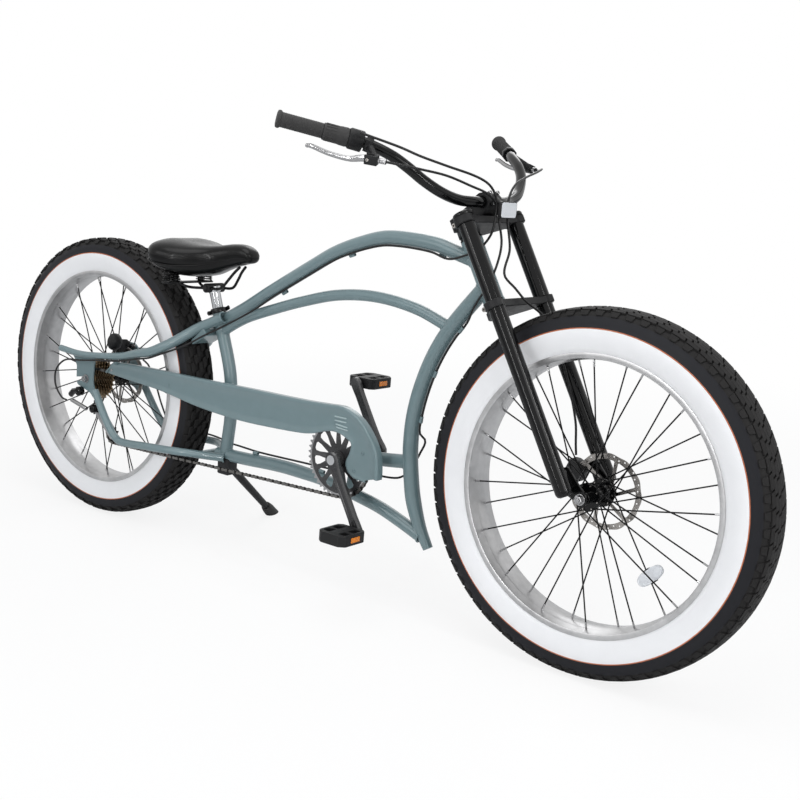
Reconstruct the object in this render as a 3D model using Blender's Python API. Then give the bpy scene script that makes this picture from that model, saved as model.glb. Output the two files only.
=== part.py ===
"""Stretch cruiser bicycle with wide white-wall tyres, a double-crown fork and a seven-speed drive.

The bicycle is modelled upright (+X forward, +Y left, +Z up, metres, midway between the wheels on the
ground) and then leaned on to its kickstand by one parent empty.
"""

import math

import bmesh
import bpy
from mathutils import Matrix, Vector
from mathutils.geometry import tessellate_polygon

# Clearances
GAP = 0.0003
END_GAP = 0.0005

# Wheels
WHEELBASE = 1.4916
WHEEL_RADIUS = 0.375
TYRE_HALF_WIDTH = 0.047
TYRE_WALL = 0.0045
TREAD_DEPTH = 0.004
WHEEL_SEGMENTS = 32
RIM_LIP_RADIUS = 0.2865
RIM_HALF_WIDTH = 0.0405
RIM_FLANGE = 0.0085
RIM_WELL = 0.0135
RIM_WALL = 0.003
SPOKES = 32
SPOKE_RADIUS = 0.00115
SPOKE_ROW_AT_RIM = 0.018
SPOKE_CROSSING = 3
FLANGE_RADIUS = 0.029
SPOKE_CIRCLE_RADIUS = 0.0245
FLANGE_THICKNESS = 0.0032
HUB_BARREL_RADIUS = 0.0155
HUB_NOSE_RADIUS = 0.0125
ROTOR_SEAT_RADIUS = 0.0165
ROTOR_RADIUS = 0.080
ROTOR_BAND = 0.013
ROTOR_WAVES = 12
ROTOR_WAVE_DEPTH = 0.0022
ROTOR_CARRIER_RADIUS = 0.024
ROTOR_ARMS = 6
ROTOR_THICKNESS = 0.0019

# Front hub, from side to side
FRONT_DROPOUT_INNER = 0.0550
FRONT_DROPOUT_THICKNESS = 0.0060
FRONT_FLANGE_OFFSET = 0.0300
FRONT_ROTOR_OFFSET = 0.0440
FRONT_AXLE_RADIUS = 0.0048

# Rear hub
REAR_DROPOUT_INNER = 0.0750
REAR_DROPOUT_THICKNESS = 0.0060
REAR_FLANGE_LEFT = 0.0360
REAR_FLANGE_RIGHT = -0.0235
REAR_ROTOR_OFFSET = 0.0520
REAR_AXLE_RADIUS = 0.0050
NUT_RADIUS = 0.0092
NUT_HEIGHT = 0.0085
LOCK_NUT_RADIUS = 0.0082

# Steering
HEAD_ANGLE = math.radians(60.0)
FORK_RAKE = 0.0669
LEG_AHEAD = 0.0566
LEG_SPREAD = 0.0914
LEG_RADIUS = 0.0170
LEG_BOTTOM = 0.0180
HEAD_LOW = 0.4340
HEAD_HIGH = 0.5820
HEAD_RADIUS = 0.0220
CUP_HEIGHT = 0.0080
CUP_RADIUS = 0.0235
STEERER_RADIUS = 0.0143
CROWN_THICKNESS = 0.0160
CROWN_BOSS_RADIUS = 0.0240
CLAMP_WALL = 0.0055
LEG_CAP_HEIGHT = 0.0100

# Handlebar and its controls
BAR_RADIUS = 0.0111
BAR_AHEAD = 0.0666
BAR_HEIGHT = 0.6352
STEM_HALF_WIDTH = 0.0240
STEM_CLAMP_WALL = 0.0085
GRIP_RADIUS = 0.0152
GRIP_FLANGE_RADIUS = 0.0175
RIGHT_GRIP_LENGTH = 0.0870
TWIST_LENGTH = 0.0500
TWIST_RADIUS = 0.0165
SHIFTER_HOUSING_LENGTH = 0.0300
SHIFTER_HOUSING_RADIUS = 0.0200
LEFT_GRIP_LENGTH = 0.1300
LEVER_CLAMP_LENGTH = 0.0140
LEVER_CLAMP_RADIUS = 0.0165
LEVER_SPAN = 0.1370
LEVER_REACH = Vector((0.0290, 0.0330, -0.0270))
LEVER_TIP_OFFSET = Vector((0.0030, -0.0150, -0.0400))
LEVER_THICKNESS = 0.0080

# Frame tubes
TOP_TUBE_RADIUS = 0.0159
ARCH_TUBE_RADIUS = 0.0127
DOWN_TUBE_RADIUS = 0.01745
DOWN_TUBE_TIP_RADIUS = 0.0115
SEAT_TUBE_RADIUS = 0.0159
BOTTOM_TUBE_RADIUS = 0.0159
BOTTOM_TUBE_FRONT_RADIUS = 0.0147
BRIDGE_TUBE_RADIUS = 0.0159
STRUT_RADIUS = 0.0127
UPPER_STAY_RADIUS = 0.0130
UPPER_STAY_TAIL_RADIUS = 0.0085
LOWER_STAY_RADIUS = 0.0100
STAY_SPREAD = 0.0900
TUBE_SIDES = 12
STAY_SIDES = 8

# Bottom bracket and drive
BRACKET_X = 0.1349
BRACKET_Z = 0.3325
SHELL_RADIUS = 0.0215
SHELL_HALF_WIDTH = 0.0500
SPINDLE_RADIUS = 0.0085
CHAIN_PITCH = 0.0127
CHAIN_LINE = 0.0630
CHAINRING_TEETH = 44
CHAINRING_THICKNESS = 0.0024
CHAINRING_WINDOWS = 13
SPROCKET_TEETH = (14, 16, 18, 20, 22, 24, 28)
SPROCKET_SPACING = 0.0050
SPROCKET_THICKNESS = 0.0018
SPROCKET_CARRIER_RADIUS = 0.0190
PULLEY_TEETH = 11
PULLEY_THICKNESS = 0.0022
LINK_HEIGHT = 0.0078
LINK_HALF_GAP = 0.0017
LINK_INNER_HALF_WIDTH = 0.0027
LINK_OUTER_HALF_WIDTH = 0.0036
CHAIN_JOINT_GAP = 0.0014
TOOTH_RISE = 0.0030
TOOTH_DROP = 0.0042
CRANK_LENGTH = 0.1700
CRANK_ANGLE = math.radians(-59.7)
CRANK_INNER_FACE = 0.0790
CRANK_THICKNESS = 0.0140
CRANK_BOSS_RADIUS = 0.0190
CRANK_EYE_RADIUS = 0.0140
PEDAL_AXLE_RADIUS = 0.0048
PEDAL_LENGTH = 0.0850
PEDAL_DEPTH = 0.0780
PEDAL_HEIGHT = 0.0250
PEDAL_STANDOFF = 0.0060

# Seat
POST_RADIUS = 0.0136
POST_INSERTION = 0.1200
POST_EXPOSED = 0.0400
POST_BORE_DEPTH = 0.1260
COLLAR_HEIGHT = 0.0130
COLLAR_RADIUS = 0.0195
RAIL_RADIUS = 0.0036
SADDLE_HALF_WIDTH = 0.1180

# Stand
STAND_PIVOT = Vector((-0.2900, 0.0300, 0.2050))
STAND_LENGTH = 0.3060
STAND_DOWN = Vector((-0.0720, 0.2400, -0.1760)).normalized()
STAND_FOLDED = Vector((-0.9520, 0.3000, -0.0600)).normalized()
STAND_RADIUS = 0.0095
STAND_FOOT_RADIUS = 0.0125
STAND_FOOT_LENGTH = 0.0520
STAND_HEAD_RADIUS = 0.0105
STAND_FACE = STAND_PIVOT.y - STAND_HEAD_RADIUS - GAP
STAND_BRACKET_LOW = Vector((-0.3000, -0.0160, 0.1990))
STAND_BRACKET_HIGH = Vector((-0.2620, STAND_FACE, 0.2420))

# Cables
CABLE_RADIUS = 0.0025
CABLE_SIDES = 4

# Places that follow from the sizes
FRONT_AXLE = Vector((WHEELBASE / 2, 0.0, WHEEL_RADIUS))
REAR_AXLE = Vector((-WHEELBASE / 2, 0.0, WHEEL_RADIUS))
BRACKET = Vector((BRACKET_X, 0.0, BRACKET_Z))
ACROSS = Vector((0.0, 1.0, 0.0))
STEER_UP = Vector((-math.cos(HEAD_ANGLE), 0.0, math.sin(HEAD_ANGLE)))
STEER_AHEAD = Vector((math.sin(HEAD_ANGLE), 0.0, math.cos(HEAD_ANGLE)))
STEER_FOOT = FRONT_AXLE - STEER_AHEAD * FORK_RAKE
CHAINRING_RADIUS = CHAINRING_TEETH * CHAIN_PITCH / (2 * math.pi)
SPROCKET_RADIUS = SPROCKET_TEETH[0] * CHAIN_PITCH / (2 * math.pi)
PULLEY_RADIUS = PULLEY_TEETH * CHAIN_PITCH / (2 * math.pi)
GUIDE_PULLEY = REAR_AXLE + Vector((0.0298, -CHAIN_LINE, -0.0780))
TENSION_PULLEY = REAR_AXLE + Vector((0.0958, -CHAIN_LINE, -0.1385))
UPPER_CROWN_LOW = HEAD_HIGH + CUP_HEIGHT + END_GAP
LOWER_CROWN_LOW = HEAD_LOW - CUP_HEIGHT - END_GAP - CROWN_THICKNESS


def on_steering(height, ahead=0.0, left=0.0):
    """Point measured from the front axle's foot on the steering axis."""
    return STEER_FOOT + STEER_UP * height + STEER_AHEAD * ahead + ACROSS * left


# Scene helpers
PIVOT_FRAMES = {}
PIVOT_EMPTIES = {}


def clear_scene():
    for obj in list(bpy.data.objects):
        bpy.data.objects.remove(obj, do_unlink=True)


def finish_of(name, colour, roughness, metallic):
    material = bpy.data.materials.new(name)
    material.use_nodes = True
    shader = material.node_tree.nodes["Principled BSDF"]
    shader.inputs["Base Color"].default_value = (*colour, 1.0)
    shader.inputs["Roughness"].default_value = roughness
    shader.inputs["Metallic"].default_value = metallic
    material.diffuse_color = (*colour, 1.0)
    return material


def axes_at(origin, axis, side=ACROSS):
    """Frame at origin whose Z runs along axis and whose X lies nearest to side."""
    z = Vector(axis).normalized()
    x = Vector(side) - z * Vector(side).dot(z)
    if x.length < 1e-6:
        x = Vector((1.0, 0.0, 0.0)) - z * z.x
    x.normalize()
    y = z.cross(x)
    frame = Matrix((x, y, z)).transposed().to_4x4()
    frame.translation = origin
    return frame


def add_pivot(name, origin, axis, parent=None):
    """Empty on a joint's axis; its Z is the axis."""
    frame = axes_at(origin, axis)
    empty = bpy.data.objects.new(name + "_pivot", None)
    bpy.context.scene.collection.objects.link(empty)
    if parent:
        empty.parent = PIVOT_EMPTIES[parent]
        empty.matrix_basis = PIVOT_FRAMES[parent].inverted() @ frame
    else:
        empty.matrix_basis = frame
    PIVOT_FRAMES[name] = frame
    PIVOT_EMPTIES[name] = empty


def add_object(name, bm, material, pivot):
    """Turn a bmesh drawn in the upright bicycle's frame into an object on a pivot."""
    bmesh.ops.recalc_face_normals(bm, faces=bm.faces)
    bm.transform(PIVOT_FRAMES[pivot].inverted())
    mesh = bpy.data.meshes.new(name)
    bm.to_mesh(mesh)
    bm.free()
    obj = bpy.data.objects.new(name, mesh)
    bpy.context.scene.collection.objects.link(obj)
    obj.parent = PIVOT_EMPTIES[pivot]
    if material:
        mesh.materials.append(material)
    mesh.shade_smooth()
    mesh.set_sharp_from_angle(angle=math.radians(38))
    return obj


def combine(obj, name, bm, operation="DIFFERENCE"):
    """Cut or join a solid into an object with an exact Boolean."""
    pivot = next(key for key, empty in PIVOT_EMPTIES.items() if empty == obj.parent)
    tool = add_object(name, bm, None, pivot)
    tool.hide_render = True
    tool.display_type = "WIRE"
    modifier = obj.modifiers.new(name, "BOOLEAN")
    modifier.operation = operation
    modifier.solver = "EXACT"
    modifier.object = tool


def weld(obj, name, bm):
    """Join a solid that overlaps the object into one body with it."""
    combine(obj, name, bm, "UNION")


# Shape helpers
def spread(points, count):
    """Evenly spaced points on one smooth curve through the given ones.

    A point is (x, y, z) and any further numbers, such as a radius, which are carried along.
    """
    size = len(points[0])
    knots = [0.0]
    for a, b in zip(points, points[1:]):
        knots.append(knots[-1] + math.dist(a[:3], b[:3]))
    slopes = []
    last = len(points) - 1
    for i in range(len(points)):
        low, high = max(i - 1, 0), min(i + 1, last)
        span = knots[high] - knots[low]
        slopes.append([(points[high][k] - points[low][k]) / span for k in range(size)])
    fine = []
    for i in range(last):
        span = knots[i + 1] - knots[i]
        for step in range(24):
            t = step / 24
            blend = (2 * t**3 - 3 * t**2 + 1, t**3 - 2 * t**2 + t, 3 * t**2 - 2 * t**3, t**3 - t**2)
            fine.append([blend[0] * points[i][k] + blend[1] * span * slopes[i][k]
                         + blend[2] * points[i + 1][k] + blend[3] * span * slopes[i + 1][k]
                         for k in range(size)])
    fine.append(list(points[-1]))
    return walk(fine, count)


def walk(line, count):
    """Points at even distances along a line of points."""
    lengths = [0.0]
    for a, b in zip(line, line[1:]):
        lengths.append(lengths[-1] + math.dist(a[:3], b[:3]))
    return [point_along(line, lengths, lengths[-1] * i / (count - 1)) for i in range(count)]


def point_along(line, lengths, distance):
    i = 0
    while i < len(line) - 2 and lengths[i + 1] < distance:
        i += 1
    t = (distance - lengths[i]) / (lengths[i + 1] - lengths[i])
    return [a + (b - a) * t for a, b in zip(line[i], line[i + 1])]


def stretch_of(line, start, end):
    """The part of a line of points between two distances from its start."""
    lengths = [0.0]
    for a, b in zip(line, line[1:]):
        lengths.append(lengths[-1] + math.dist(a[:3], b[:3]))
    middle = [p for p, at in zip(line, lengths) if start + 1e-5 < at < end - 1e-5]
    return [point_along(line, lengths, start)] + middle + [point_along(line, lengths, end)]


def with_radius(points, *radii):
    return [(*p[:3], *radii) for p in points]


def plane_points(points, y=0.0):
    """(x, z, further numbers) in the plane of the wheels to (x, y, z, further numbers)."""
    return [(p[0], y, p[1], *p[2:]) for p in points]


def sweep_rings(bm, stations, sides, side_axis, grow=0.0):
    centres = [Vector(s[:3]) for s in stations]
    side = Vector(side_axis)
    rings = []
    for i, station in enumerate(stations):
        ahead = (centres[min(i + 1, len(centres) - 1)] - centres[max(i - 1, 0)]).normalized()
        side = (side - ahead * side.dot(ahead)).normalized()
        up = ahead.cross(side)
        across = station[3] + grow
        height = (station[4] if len(station) > 4 else station[3]) + grow
        rings.append([bm.verts.new(centres[i] + side * across * math.cos(angle) + up * height * math.sin(angle))
                      for angle in (2 * math.pi * (k + 0.5) / sides for k in range(sides))])
    return rings


def bridge(bm, ring_a, ring_b):
    count = len(ring_a)
    for k in range(count):
        bm.faces.new((ring_a[k], ring_a[(k + 1) % count], ring_b[(k + 1) % count], ring_b[k]))


def sweep(bm, stations, sides=TUBE_SIDES, side_axis=ACROSS, grow=0.0):
    """Closed solid of round or oval section along a path."""
    rings = sweep_rings(bm, stations, sides, side_axis, grow)
    for a, b in zip(rings, rings[1:]):
        bridge(bm, a, b)
    bm.faces.new(rings[0])
    bm.faces.new(rings[-1])


def sleeve(bm, stations, outer_radius, inner_radius, sides=TUBE_SIDES, side_axis=ACROSS):
    """Hollow sleeve around a bar; its bore has the bar's own facets."""
    outside = sweep_rings(bm, with_radius(stations, outer_radius), sides, side_axis)
    inside = sweep_rings(bm, with_radius(stations, inner_radius), sides, side_axis)
    for a, b in zip(outside, outside[1:]):
        bridge(bm, a, b)
    for a, b in zip(inside, inside[1:]):
        bridge(bm, a, b)
    bridge(bm, outside[0], inside[0])
    bridge(bm, outside[-1], inside[-1])


def revolve(bm, profile, origin, axis, sides):
    """Turned solid. Profile: (radius, height) pairs; it closes on the axis or on itself."""
    frame = axes_at(origin, axis)
    rings = []
    for radius, height in profile:
        if radius < 1e-9:
            rings.append([bm.verts.new(frame @ Vector((0.0, 0.0, height)))])
        else:
            rings.append([bm.verts.new(frame @ Vector((radius * math.cos(a), radius * math.sin(a), height)))
                          for a in (2 * math.pi * k / sides for k in range(sides))])
    pairs = list(zip(rings, rings[1:]))
    if len(rings[0]) > 1:
        pairs.append((rings[-1], rings[0]))
    for a, b in pairs:
        for k in range(sides):
            after = (k + 1) % sides
            corners = [a[k % len(a)], a[after % len(a)], b[after % len(b)], b[k % len(b)]]
            bm.faces.new(list(dict.fromkeys(corners)))


def rod(bm, start, end, radius, sides=TUBE_SIDES):
    start, end = Vector(start), Vector(end)
    length = (end - start).length
    revolve(bm, [(0, 0), (radius, 0), (radius, length), (0, length)], start, end - start, sides)


def plate(bm, outline, thickness, frame, holes=()):
    """Flat solid in a frame's XY plane, thick along its Z, with holes right through."""
    loops = [list(outline)] + [list(h) for h in holes]
    flat = [Vector((p[0], p[1], 0.0)) for loop in loops for p in loop]
    low = [bm.verts.new(frame @ p) for p in flat]
    high = [bm.verts.new(frame @ (p + Vector((0.0, 0.0, thickness)))) for p in flat]
    for a, b, c in tessellate_polygon([[Vector((p[0], p[1], 0.0)) for p in loop] for loop in loops]):
        bm.faces.new((low[a], low[b], low[c]))
        bm.faces.new((high[a], high[b], high[c]))
    start = 0
    for loop in loops:
        count = len(loop)
        for k in range(count):
            a, b = start + k, start + (k + 1) % count
            bm.faces.new((low[a], low[b], high[b], high[a]))
        start += count


def block(bm, low, high, frame=None):
    frame = frame or Matrix.Identity(4)
    outline = [(low[0], low[1]), (high[0], low[1]), (high[0], high[1]), (low[0], high[1])]
    plate(bm, outline, high[2] - low[2], frame @ Matrix.Translation((0.0, 0.0, low[2])))


def loft(bm, rings):
    made = [[bm.verts.new(p) for p in ring] for ring in rings]
    for a, b in zip(made, made[1:]):
        bridge(bm, a, b)
    bm.faces.new(made[0])
    bm.faces.new(made[-1])


def circle(radius, count, centre=(0.0, 0.0), start=0.0, end=2 * math.pi):
    """Points round a circle, or along an arc with both its ends."""
    closed = abs(end - start - 2 * math.pi) < 1e-6
    steps = count if closed else count - 1
    return [(centre[0] + radius * math.cos(start + (end - start) * k / steps),
             centre[1] + radius * math.sin(start + (end - start) * k / steps)) for k in range(count)]


def bore_radius(radius, sides):
    """A faceted bore's radius, so that a round piece of this radius turns freely in it."""
    return (radius + GAP) / math.cos(math.pi / sides)


def side_frame(y, centre=Vector((0.0, 0.0, 0.0))):
    """Frame for plates seen from the side: X forward, Y up; its thickness grows to the right."""
    return Matrix(((1, 0, 0, centre.x), (0, 0, -1, y), (0, 1, 0, centre.z), (0, 0, 0, 1)))


def steering_side_frame(y, right=True):
    """X ahead of the steering axis and Y up along it; thickness grows to the right or to the left."""
    frame = Matrix((STEER_AHEAD, STEER_UP, -ACROSS if right else ACROSS)).transposed().to_4x4()
    frame.translation = STEER_FOOT + ACROSS * y
    return frame


def crown_frame(height):
    """X ahead, Y left, Z up along the steering axis."""
    frame = Matrix((STEER_AHEAD, ACROSS, STEER_UP)).transposed().to_4x4()
    frame.translation = on_steering(height)
    return frame


# Finishes
def make_finishes():
    return {
        "frame_paint": finish_of("frame_paint", (0.155, 0.235, 0.250), 0.38, 0.0),
        "black_gloss": finish_of("black_gloss", (0.012, 0.013, 0.014), 0.18, 0.0),
        "black_matte": finish_of("black_matte", (0.020, 0.021, 0.022), 0.50, 0.0),
        "rubber": finish_of("rubber", (0.028, 0.028, 0.030), 0.75, 0.0),
        "grip_rubber": finish_of("grip_rubber", (0.020, 0.020, 0.022), 0.65, 0.0),
        "saddle_vinyl": finish_of("saddle_vinyl", (0.016, 0.016, 0.017), 0.38, 0.0),
        "silver": finish_of("silver", (0.74, 0.75, 0.76), 0.30, 1.0),
        "chrome": finish_of("chrome", (0.80, 0.81, 0.82), 0.10, 1.0),
        "steel": finish_of("steel", (0.45, 0.44, 0.42), 0.35, 1.0),
        "dark_steel": finish_of("dark_steel", (0.16, 0.15, 0.14), 0.42, 1.0),
        "crank_black": finish_of("crank_black", (0.030, 0.031, 0.033), 0.30, 0.5),
        "reflector_clear": finish_of("reflector_clear", (0.80, 0.82, 0.84), 0.15, 0.0),
        "cable_black": finish_of("cable_black", (0.012, 0.012, 0.013), 0.45, 0.0),
    }


# Paths of the frame's tubes, as the middles of the tubes
TOP_TUBE = plane_points([
    (-0.3240, 0.5800), (-0.2424, 0.6239), (-0.1625, 0.6729), (-0.0305, 0.7498), (0.0335, 0.7853),
    (0.1014, 0.8119), (0.1709, 0.8306), (0.2437, 0.8333), (0.3141, 0.8281), (0.3507, 0.8193),
    (0.4200, 0.8025)])
ARCH_TUBE = plane_points([
    (-0.3140, 0.5585), (-0.2700, 0.5845), (-0.2300, 0.6040), (-0.1537, 0.6318), (-0.0563, 0.6636),
    (0.0474, 0.6902), (0.1590, 0.6993), (0.2705, 0.6868), (0.3600, 0.6590)])
DOWN_TUBE = plane_points([
    (0.4469, 0.7590), (0.3702, 0.6645), (0.3311, 0.5992), (0.3039, 0.5280), (0.2878, 0.4535),
    (0.2860, 0.3775), (0.2966, 0.3020), (0.3075, 0.2576), (0.3300, 0.2050), (0.3570, 0.1625)])
SEAT_TUBE_FOOT = [(-0.2865, 0.2480), (-0.2812, 0.2959), (-0.2763, 0.3416), (-0.2767, 0.3960), (-0.2837, 0.4502)]
SEAT_TUBE_TOP = Vector((-0.3385, 0.0, 0.6120))
SEAT_TUBE_UP = Vector((-math.cos(math.radians(70.2)), 0.0, math.sin(math.radians(70.2))))
BOTTOM_TUBE = plane_points([
    (-0.3120, 0.2475), (-0.2136, 0.2508), (-0.1138, 0.2566), (-0.0471, 0.2569), (0.0550, 0.2515),
    (0.1574, 0.2360), (0.2170, 0.2244), (0.2782, 0.2057), (0.3340, 0.1860)])
BRIDGE_TUBE = plane_points([(BRACKET_X, BRACKET_Z), (0.2031, 0.3368), (0.2900, 0.3480)])
STRUT = plane_points([(BRACKET_X, BRACKET_Z), (0.1250, 0.2420)])
UPPER_STAY = [
    (-0.2960, 0.0215, 0.5960), (-0.3329, 0.0235, 0.5788), (-0.3739, 0.0300, 0.5596), (-0.4072, 0.0480, 0.5351),
    (-0.4296, 0.0625, 0.5179), (-0.4501, 0.0740, 0.5047), (-0.4887, 0.0870, 0.4859), (-0.5327, STAY_SPREAD, 0.4755),
    (-0.5919, STAY_SPREAD, 0.4602), (-0.6916, STAY_SPREAD, 0.4463), (-0.7680, STAY_SPREAD, 0.4408),
    (-0.8443, STAY_SPREAD, 0.4450)]
UPPER_STAY_TAPER_START = 5
LOWER_STAY = [
    (-0.2780, 0.0150, 0.2425), (-0.3221, 0.0384, 0.2428), (-0.3514, 0.0558, 0.2444), (-0.3785, 0.0719, 0.2455),
    (-0.4113, 0.0863, 0.2457), (-0.4832, STAY_SPREAD, 0.2407), (-0.5894, STAY_SPREAD, 0.2331),
    (-0.6120, STAY_SPREAD, 0.2425), (-0.6311, STAY_SPREAD, 0.2600), (-0.6613, 0.0890, 0.2956),
    (-0.7010, 0.0860, 0.3500)]


STAY_BRIDGE = [(-0.338, 0.545), (-0.388, 0.516), (-0.394, 0.526), (-0.352, 0.562)]
STAY_BRIDGE_HALF_WIDTH = 0.0360
STAY_ROD = Vector((-0.3380, 0.0, 0.2437))
STAY_ROD_HALF = 0.0480


def mirrored(points, side):
    return [(p[0], p[1] * side, *p[2:]) for p in points]


def seat_tube_line():
    straight = [SEAT_TUBE_TOP - SEAT_TUBE_UP * d for d in (0.13, 0.09, 0.045, 0.0)]
    return plane_points(SEAT_TUBE_FOOT) + [tuple(p) for p in straight]


def down_tube_stations():
    tips = {8: 0.5 * (DOWN_TUBE_RADIUS + DOWN_TUBE_TIP_RADIUS), 9: DOWN_TUBE_TIP_RADIUS}
    line = [(*p, tips.get(i, DOWN_TUBE_RADIUS)) for i, p in enumerate(DOWN_TUBE)]
    return spread(line, 13)


def bottom_tube_stations():
    line = [(*p, BOTTOM_TUBE_RADIUS if i < 4 else BOTTOM_TUBE_FRONT_RADIUS) for i, p in enumerate(BOTTOM_TUBE)]
    return spread(line, 10)


def upper_stay_stations(side):
    line = []
    last = len(UPPER_STAY) - 1
    for i, p in enumerate(UPPER_STAY):
        t = max(0.0, (i - UPPER_STAY_TAPER_START) / (last - UPPER_STAY_TAPER_START))
        line.append((*p, UPPER_STAY_RADIUS + (UPPER_STAY_TAIL_RADIUS - UPPER_STAY_RADIUS) * min(1.0, 1.6 * t)))
    return mirrored(spread(line, 11), side)


def lower_stay_stations(side):
    return mirrored(spread(with_radius(LOWER_STAY, LOWER_STAY_RADIUS), 11), side)


def tube_stations():
    """Every tube of the frame as stations, so that neighbours are cut by the same shapes."""
    return {
        "top_tube": spread(with_radius(TOP_TUBE, TOP_TUBE_RADIUS), 13),
        "arch_tube": spread(with_radius(ARCH_TUBE, ARCH_TUBE_RADIUS), 10),
        "down_tube": down_tube_stations(),
        "seat_tube": spread(with_radius(seat_tube_line(), SEAT_TUBE_RADIUS), 10),
        "bottom_tube": bottom_tube_stations(),
        "bridge_tube": spread(with_radius(BRIDGE_TUBE, BRIDGE_TUBE_RADIUS), 4),
        "strut": with_radius(STRUT, STRUT_RADIUS),
    }


def cutter_for(stations, sides=TUBE_SIDES):
    bm = bmesh.new()
    sweep(bm, stations, sides, grow=GAP)
    return bm


def head_cutter():
    bm = bmesh.new()
    revolve(bm, [(0, HEAD_LOW), (HEAD_RADIUS + GAP, HEAD_LOW), (HEAD_RADIUS + GAP, HEAD_HIGH), (0, HEAD_HIGH)],
            STEER_FOOT, STEER_UP, 12)
    return bm


def disc_along(centre, axis, radius, half_length, sides=16):
    bm = bmesh.new()
    revolve(bm, [(0, -half_length), (radius, -half_length), (radius, half_length), (0, half_length)],
            centre, axis, sides)
    return bm


def build_frame(finish):
    paint = finish["frame_paint"]
    tubes = tube_stations()

    bm = bmesh.new()
    bore = bore_radius(STEERER_RADIUS, 12)
    low, high = HEAD_LOW - CUP_HEIGHT, HEAD_HIGH + CUP_HEIGHT
    revolve(bm, [(bore, low), (CUP_RADIUS, low), (CUP_RADIUS, HEAD_LOW), (HEAD_RADIUS, HEAD_LOW),
                 (HEAD_RADIUS, HEAD_HIGH), (CUP_RADIUS, HEAD_HIGH), (CUP_RADIUS, high), (bore, high)],
            STEER_FOOT, STEER_UP, 12)
    add_object("head_tube", bm, paint, "frame")

    bm = bmesh.new()
    sweep(bm, tubes["seat_tube"])
    seat_tube = add_object("seat_tube", bm, paint, "frame")
    bm = bmesh.new()
    bore = bore_radius(POST_RADIUS, 12)
    revolve(bm, [(0, -POST_BORE_DEPTH), (bore, -POST_BORE_DEPTH), (bore, 0.02), (0, 0.02)],
            SEAT_TUBE_TOP, SEAT_TUBE_UP, 12)
    combine(seat_tube, "cut_seat_tube_bore", bm)
    combine(seat_tube, "cut_seat_tube_foot", cutter_for(tubes["bottom_tube"]))

    bm = bmesh.new()
    sweep(bm, tubes["top_tube"])
    top_tube = add_object("top_tube", bm, paint, "frame")
    combine(top_tube, "cut_top_tube_head", head_cutter())
    combine(top_tube, "cut_top_tube_seat", cutter_for(tubes["seat_tube"]))

    bm = bmesh.new()
    sweep(bm, tubes["down_tube"])
    down_tube = add_object("down_tube", bm, paint, "frame")
    combine(down_tube, "cut_down_tube_head", head_cutter())

    bm = bmesh.new()
    sweep(bm, tubes["arch_tube"])
    arch_tube = add_object("arch_tube", bm, paint, "frame")
    combine(arch_tube, "cut_arch_top", cutter_for(tubes["top_tube"]))
    combine(arch_tube, "cut_arch_seat", cutter_for(tubes["seat_tube"]))
    combine(arch_tube, "cut_arch_down", cutter_for(tubes["down_tube"]))

    bm = bmesh.new()
    sweep(bm, tubes["bottom_tube"])
    bottom_tube = add_object("bottom_tube", bm, paint, "frame")
    shell = bmesh.new()
    cup = SHELL_RADIUS - 0.003
    revolve(shell, [(0, -SHELL_HALF_WIDTH - 0.004), (cup, -SHELL_HALF_WIDTH - 0.004), (cup, -SHELL_HALF_WIDTH),
                    (SHELL_RADIUS, -SHELL_HALF_WIDTH), (SHELL_RADIUS, SHELL_HALF_WIDTH), (cup, SHELL_HALF_WIDTH),
                    (cup, SHELL_HALF_WIDTH + 0.004), (0, SHELL_HALF_WIDTH + 0.004)], BRACKET, ACROSS, 12)
    weld(bottom_tube, "bracket_shell", shell)
    for name in ("bridge_tube", "strut"):
        bm = bmesh.new()
        sweep(bm, tubes[name])
        weld(bottom_tube, name, bm)
    bm = bmesh.new()
    block(bm, STAND_BRACKET_LOW, STAND_BRACKET_HIGH)
    weld(bottom_tube, "stand_bracket", bm)
    bore = bore_radius(SPINDLE_RADIUS, 12)
    combine(bottom_tube, "cut_bracket_bore", disc_along(BRACKET, ACROSS, bore, SHELL_HALF_WIDTH + 0.01, 12))
    combine(bottom_tube, "cut_bottom_down", cutter_for(tubes["down_tube"]))

    bm = bmesh.new()
    for side in (-1, 1):
        sweep(bm, upper_stay_stations(side), STAY_SIDES)
    stays = add_object("upper_stays", bm, paint, "frame")
    bm = bmesh.new()
    plate(bm, STAY_BRIDGE, 2 * STAY_BRIDGE_HALF_WIDTH, side_frame(STAY_BRIDGE_HALF_WIDTH))
    weld(stays, "stay_bridge", bm)
    for name in ("seat_tube", "top_tube", "arch_tube"):
        combine(stays, "cut_upper_stays_" + name, cutter_for(tubes[name]))

    bm = bmesh.new()
    for side in (-1, 1):
        sweep(bm, lower_stay_stations(side), STAY_SIDES)
    stays = add_object("lower_stays", bm, paint, "frame")
    bm = bmesh.new()
    for side in (-1, 1):
        y = -REAR_DROPOUT_INNER if side < 0 else REAR_DROPOUT_INNER + REAR_DROPOUT_THICKNESS
        plate(bm, dropout_outline(side > 0), REAR_DROPOUT_THICKNESS, side_frame(y, REAR_AXLE))
    weld(stays, "dropouts", bm)
    bm = bmesh.new()
    rod(bm, STAY_ROD - ACROSS * STAY_ROD_HALF, STAY_ROD + ACROSS * STAY_ROD_HALF, LOWER_STAY_RADIUS * 0.8, 8)
    weld(stays, "stay_rod", bm)
    combine(stays, "cut_lower_stays_tube", cutter_for(tubes["bottom_tube"]))
    bm = bmesh.new()
    around = Vector((GAP, GAP, GAP))
    block(bm, STAND_BRACKET_LOW - around, STAND_BRACKET_HIGH + around)
    combine(stays, "cut_lower_stays_bracket", bm)


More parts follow.
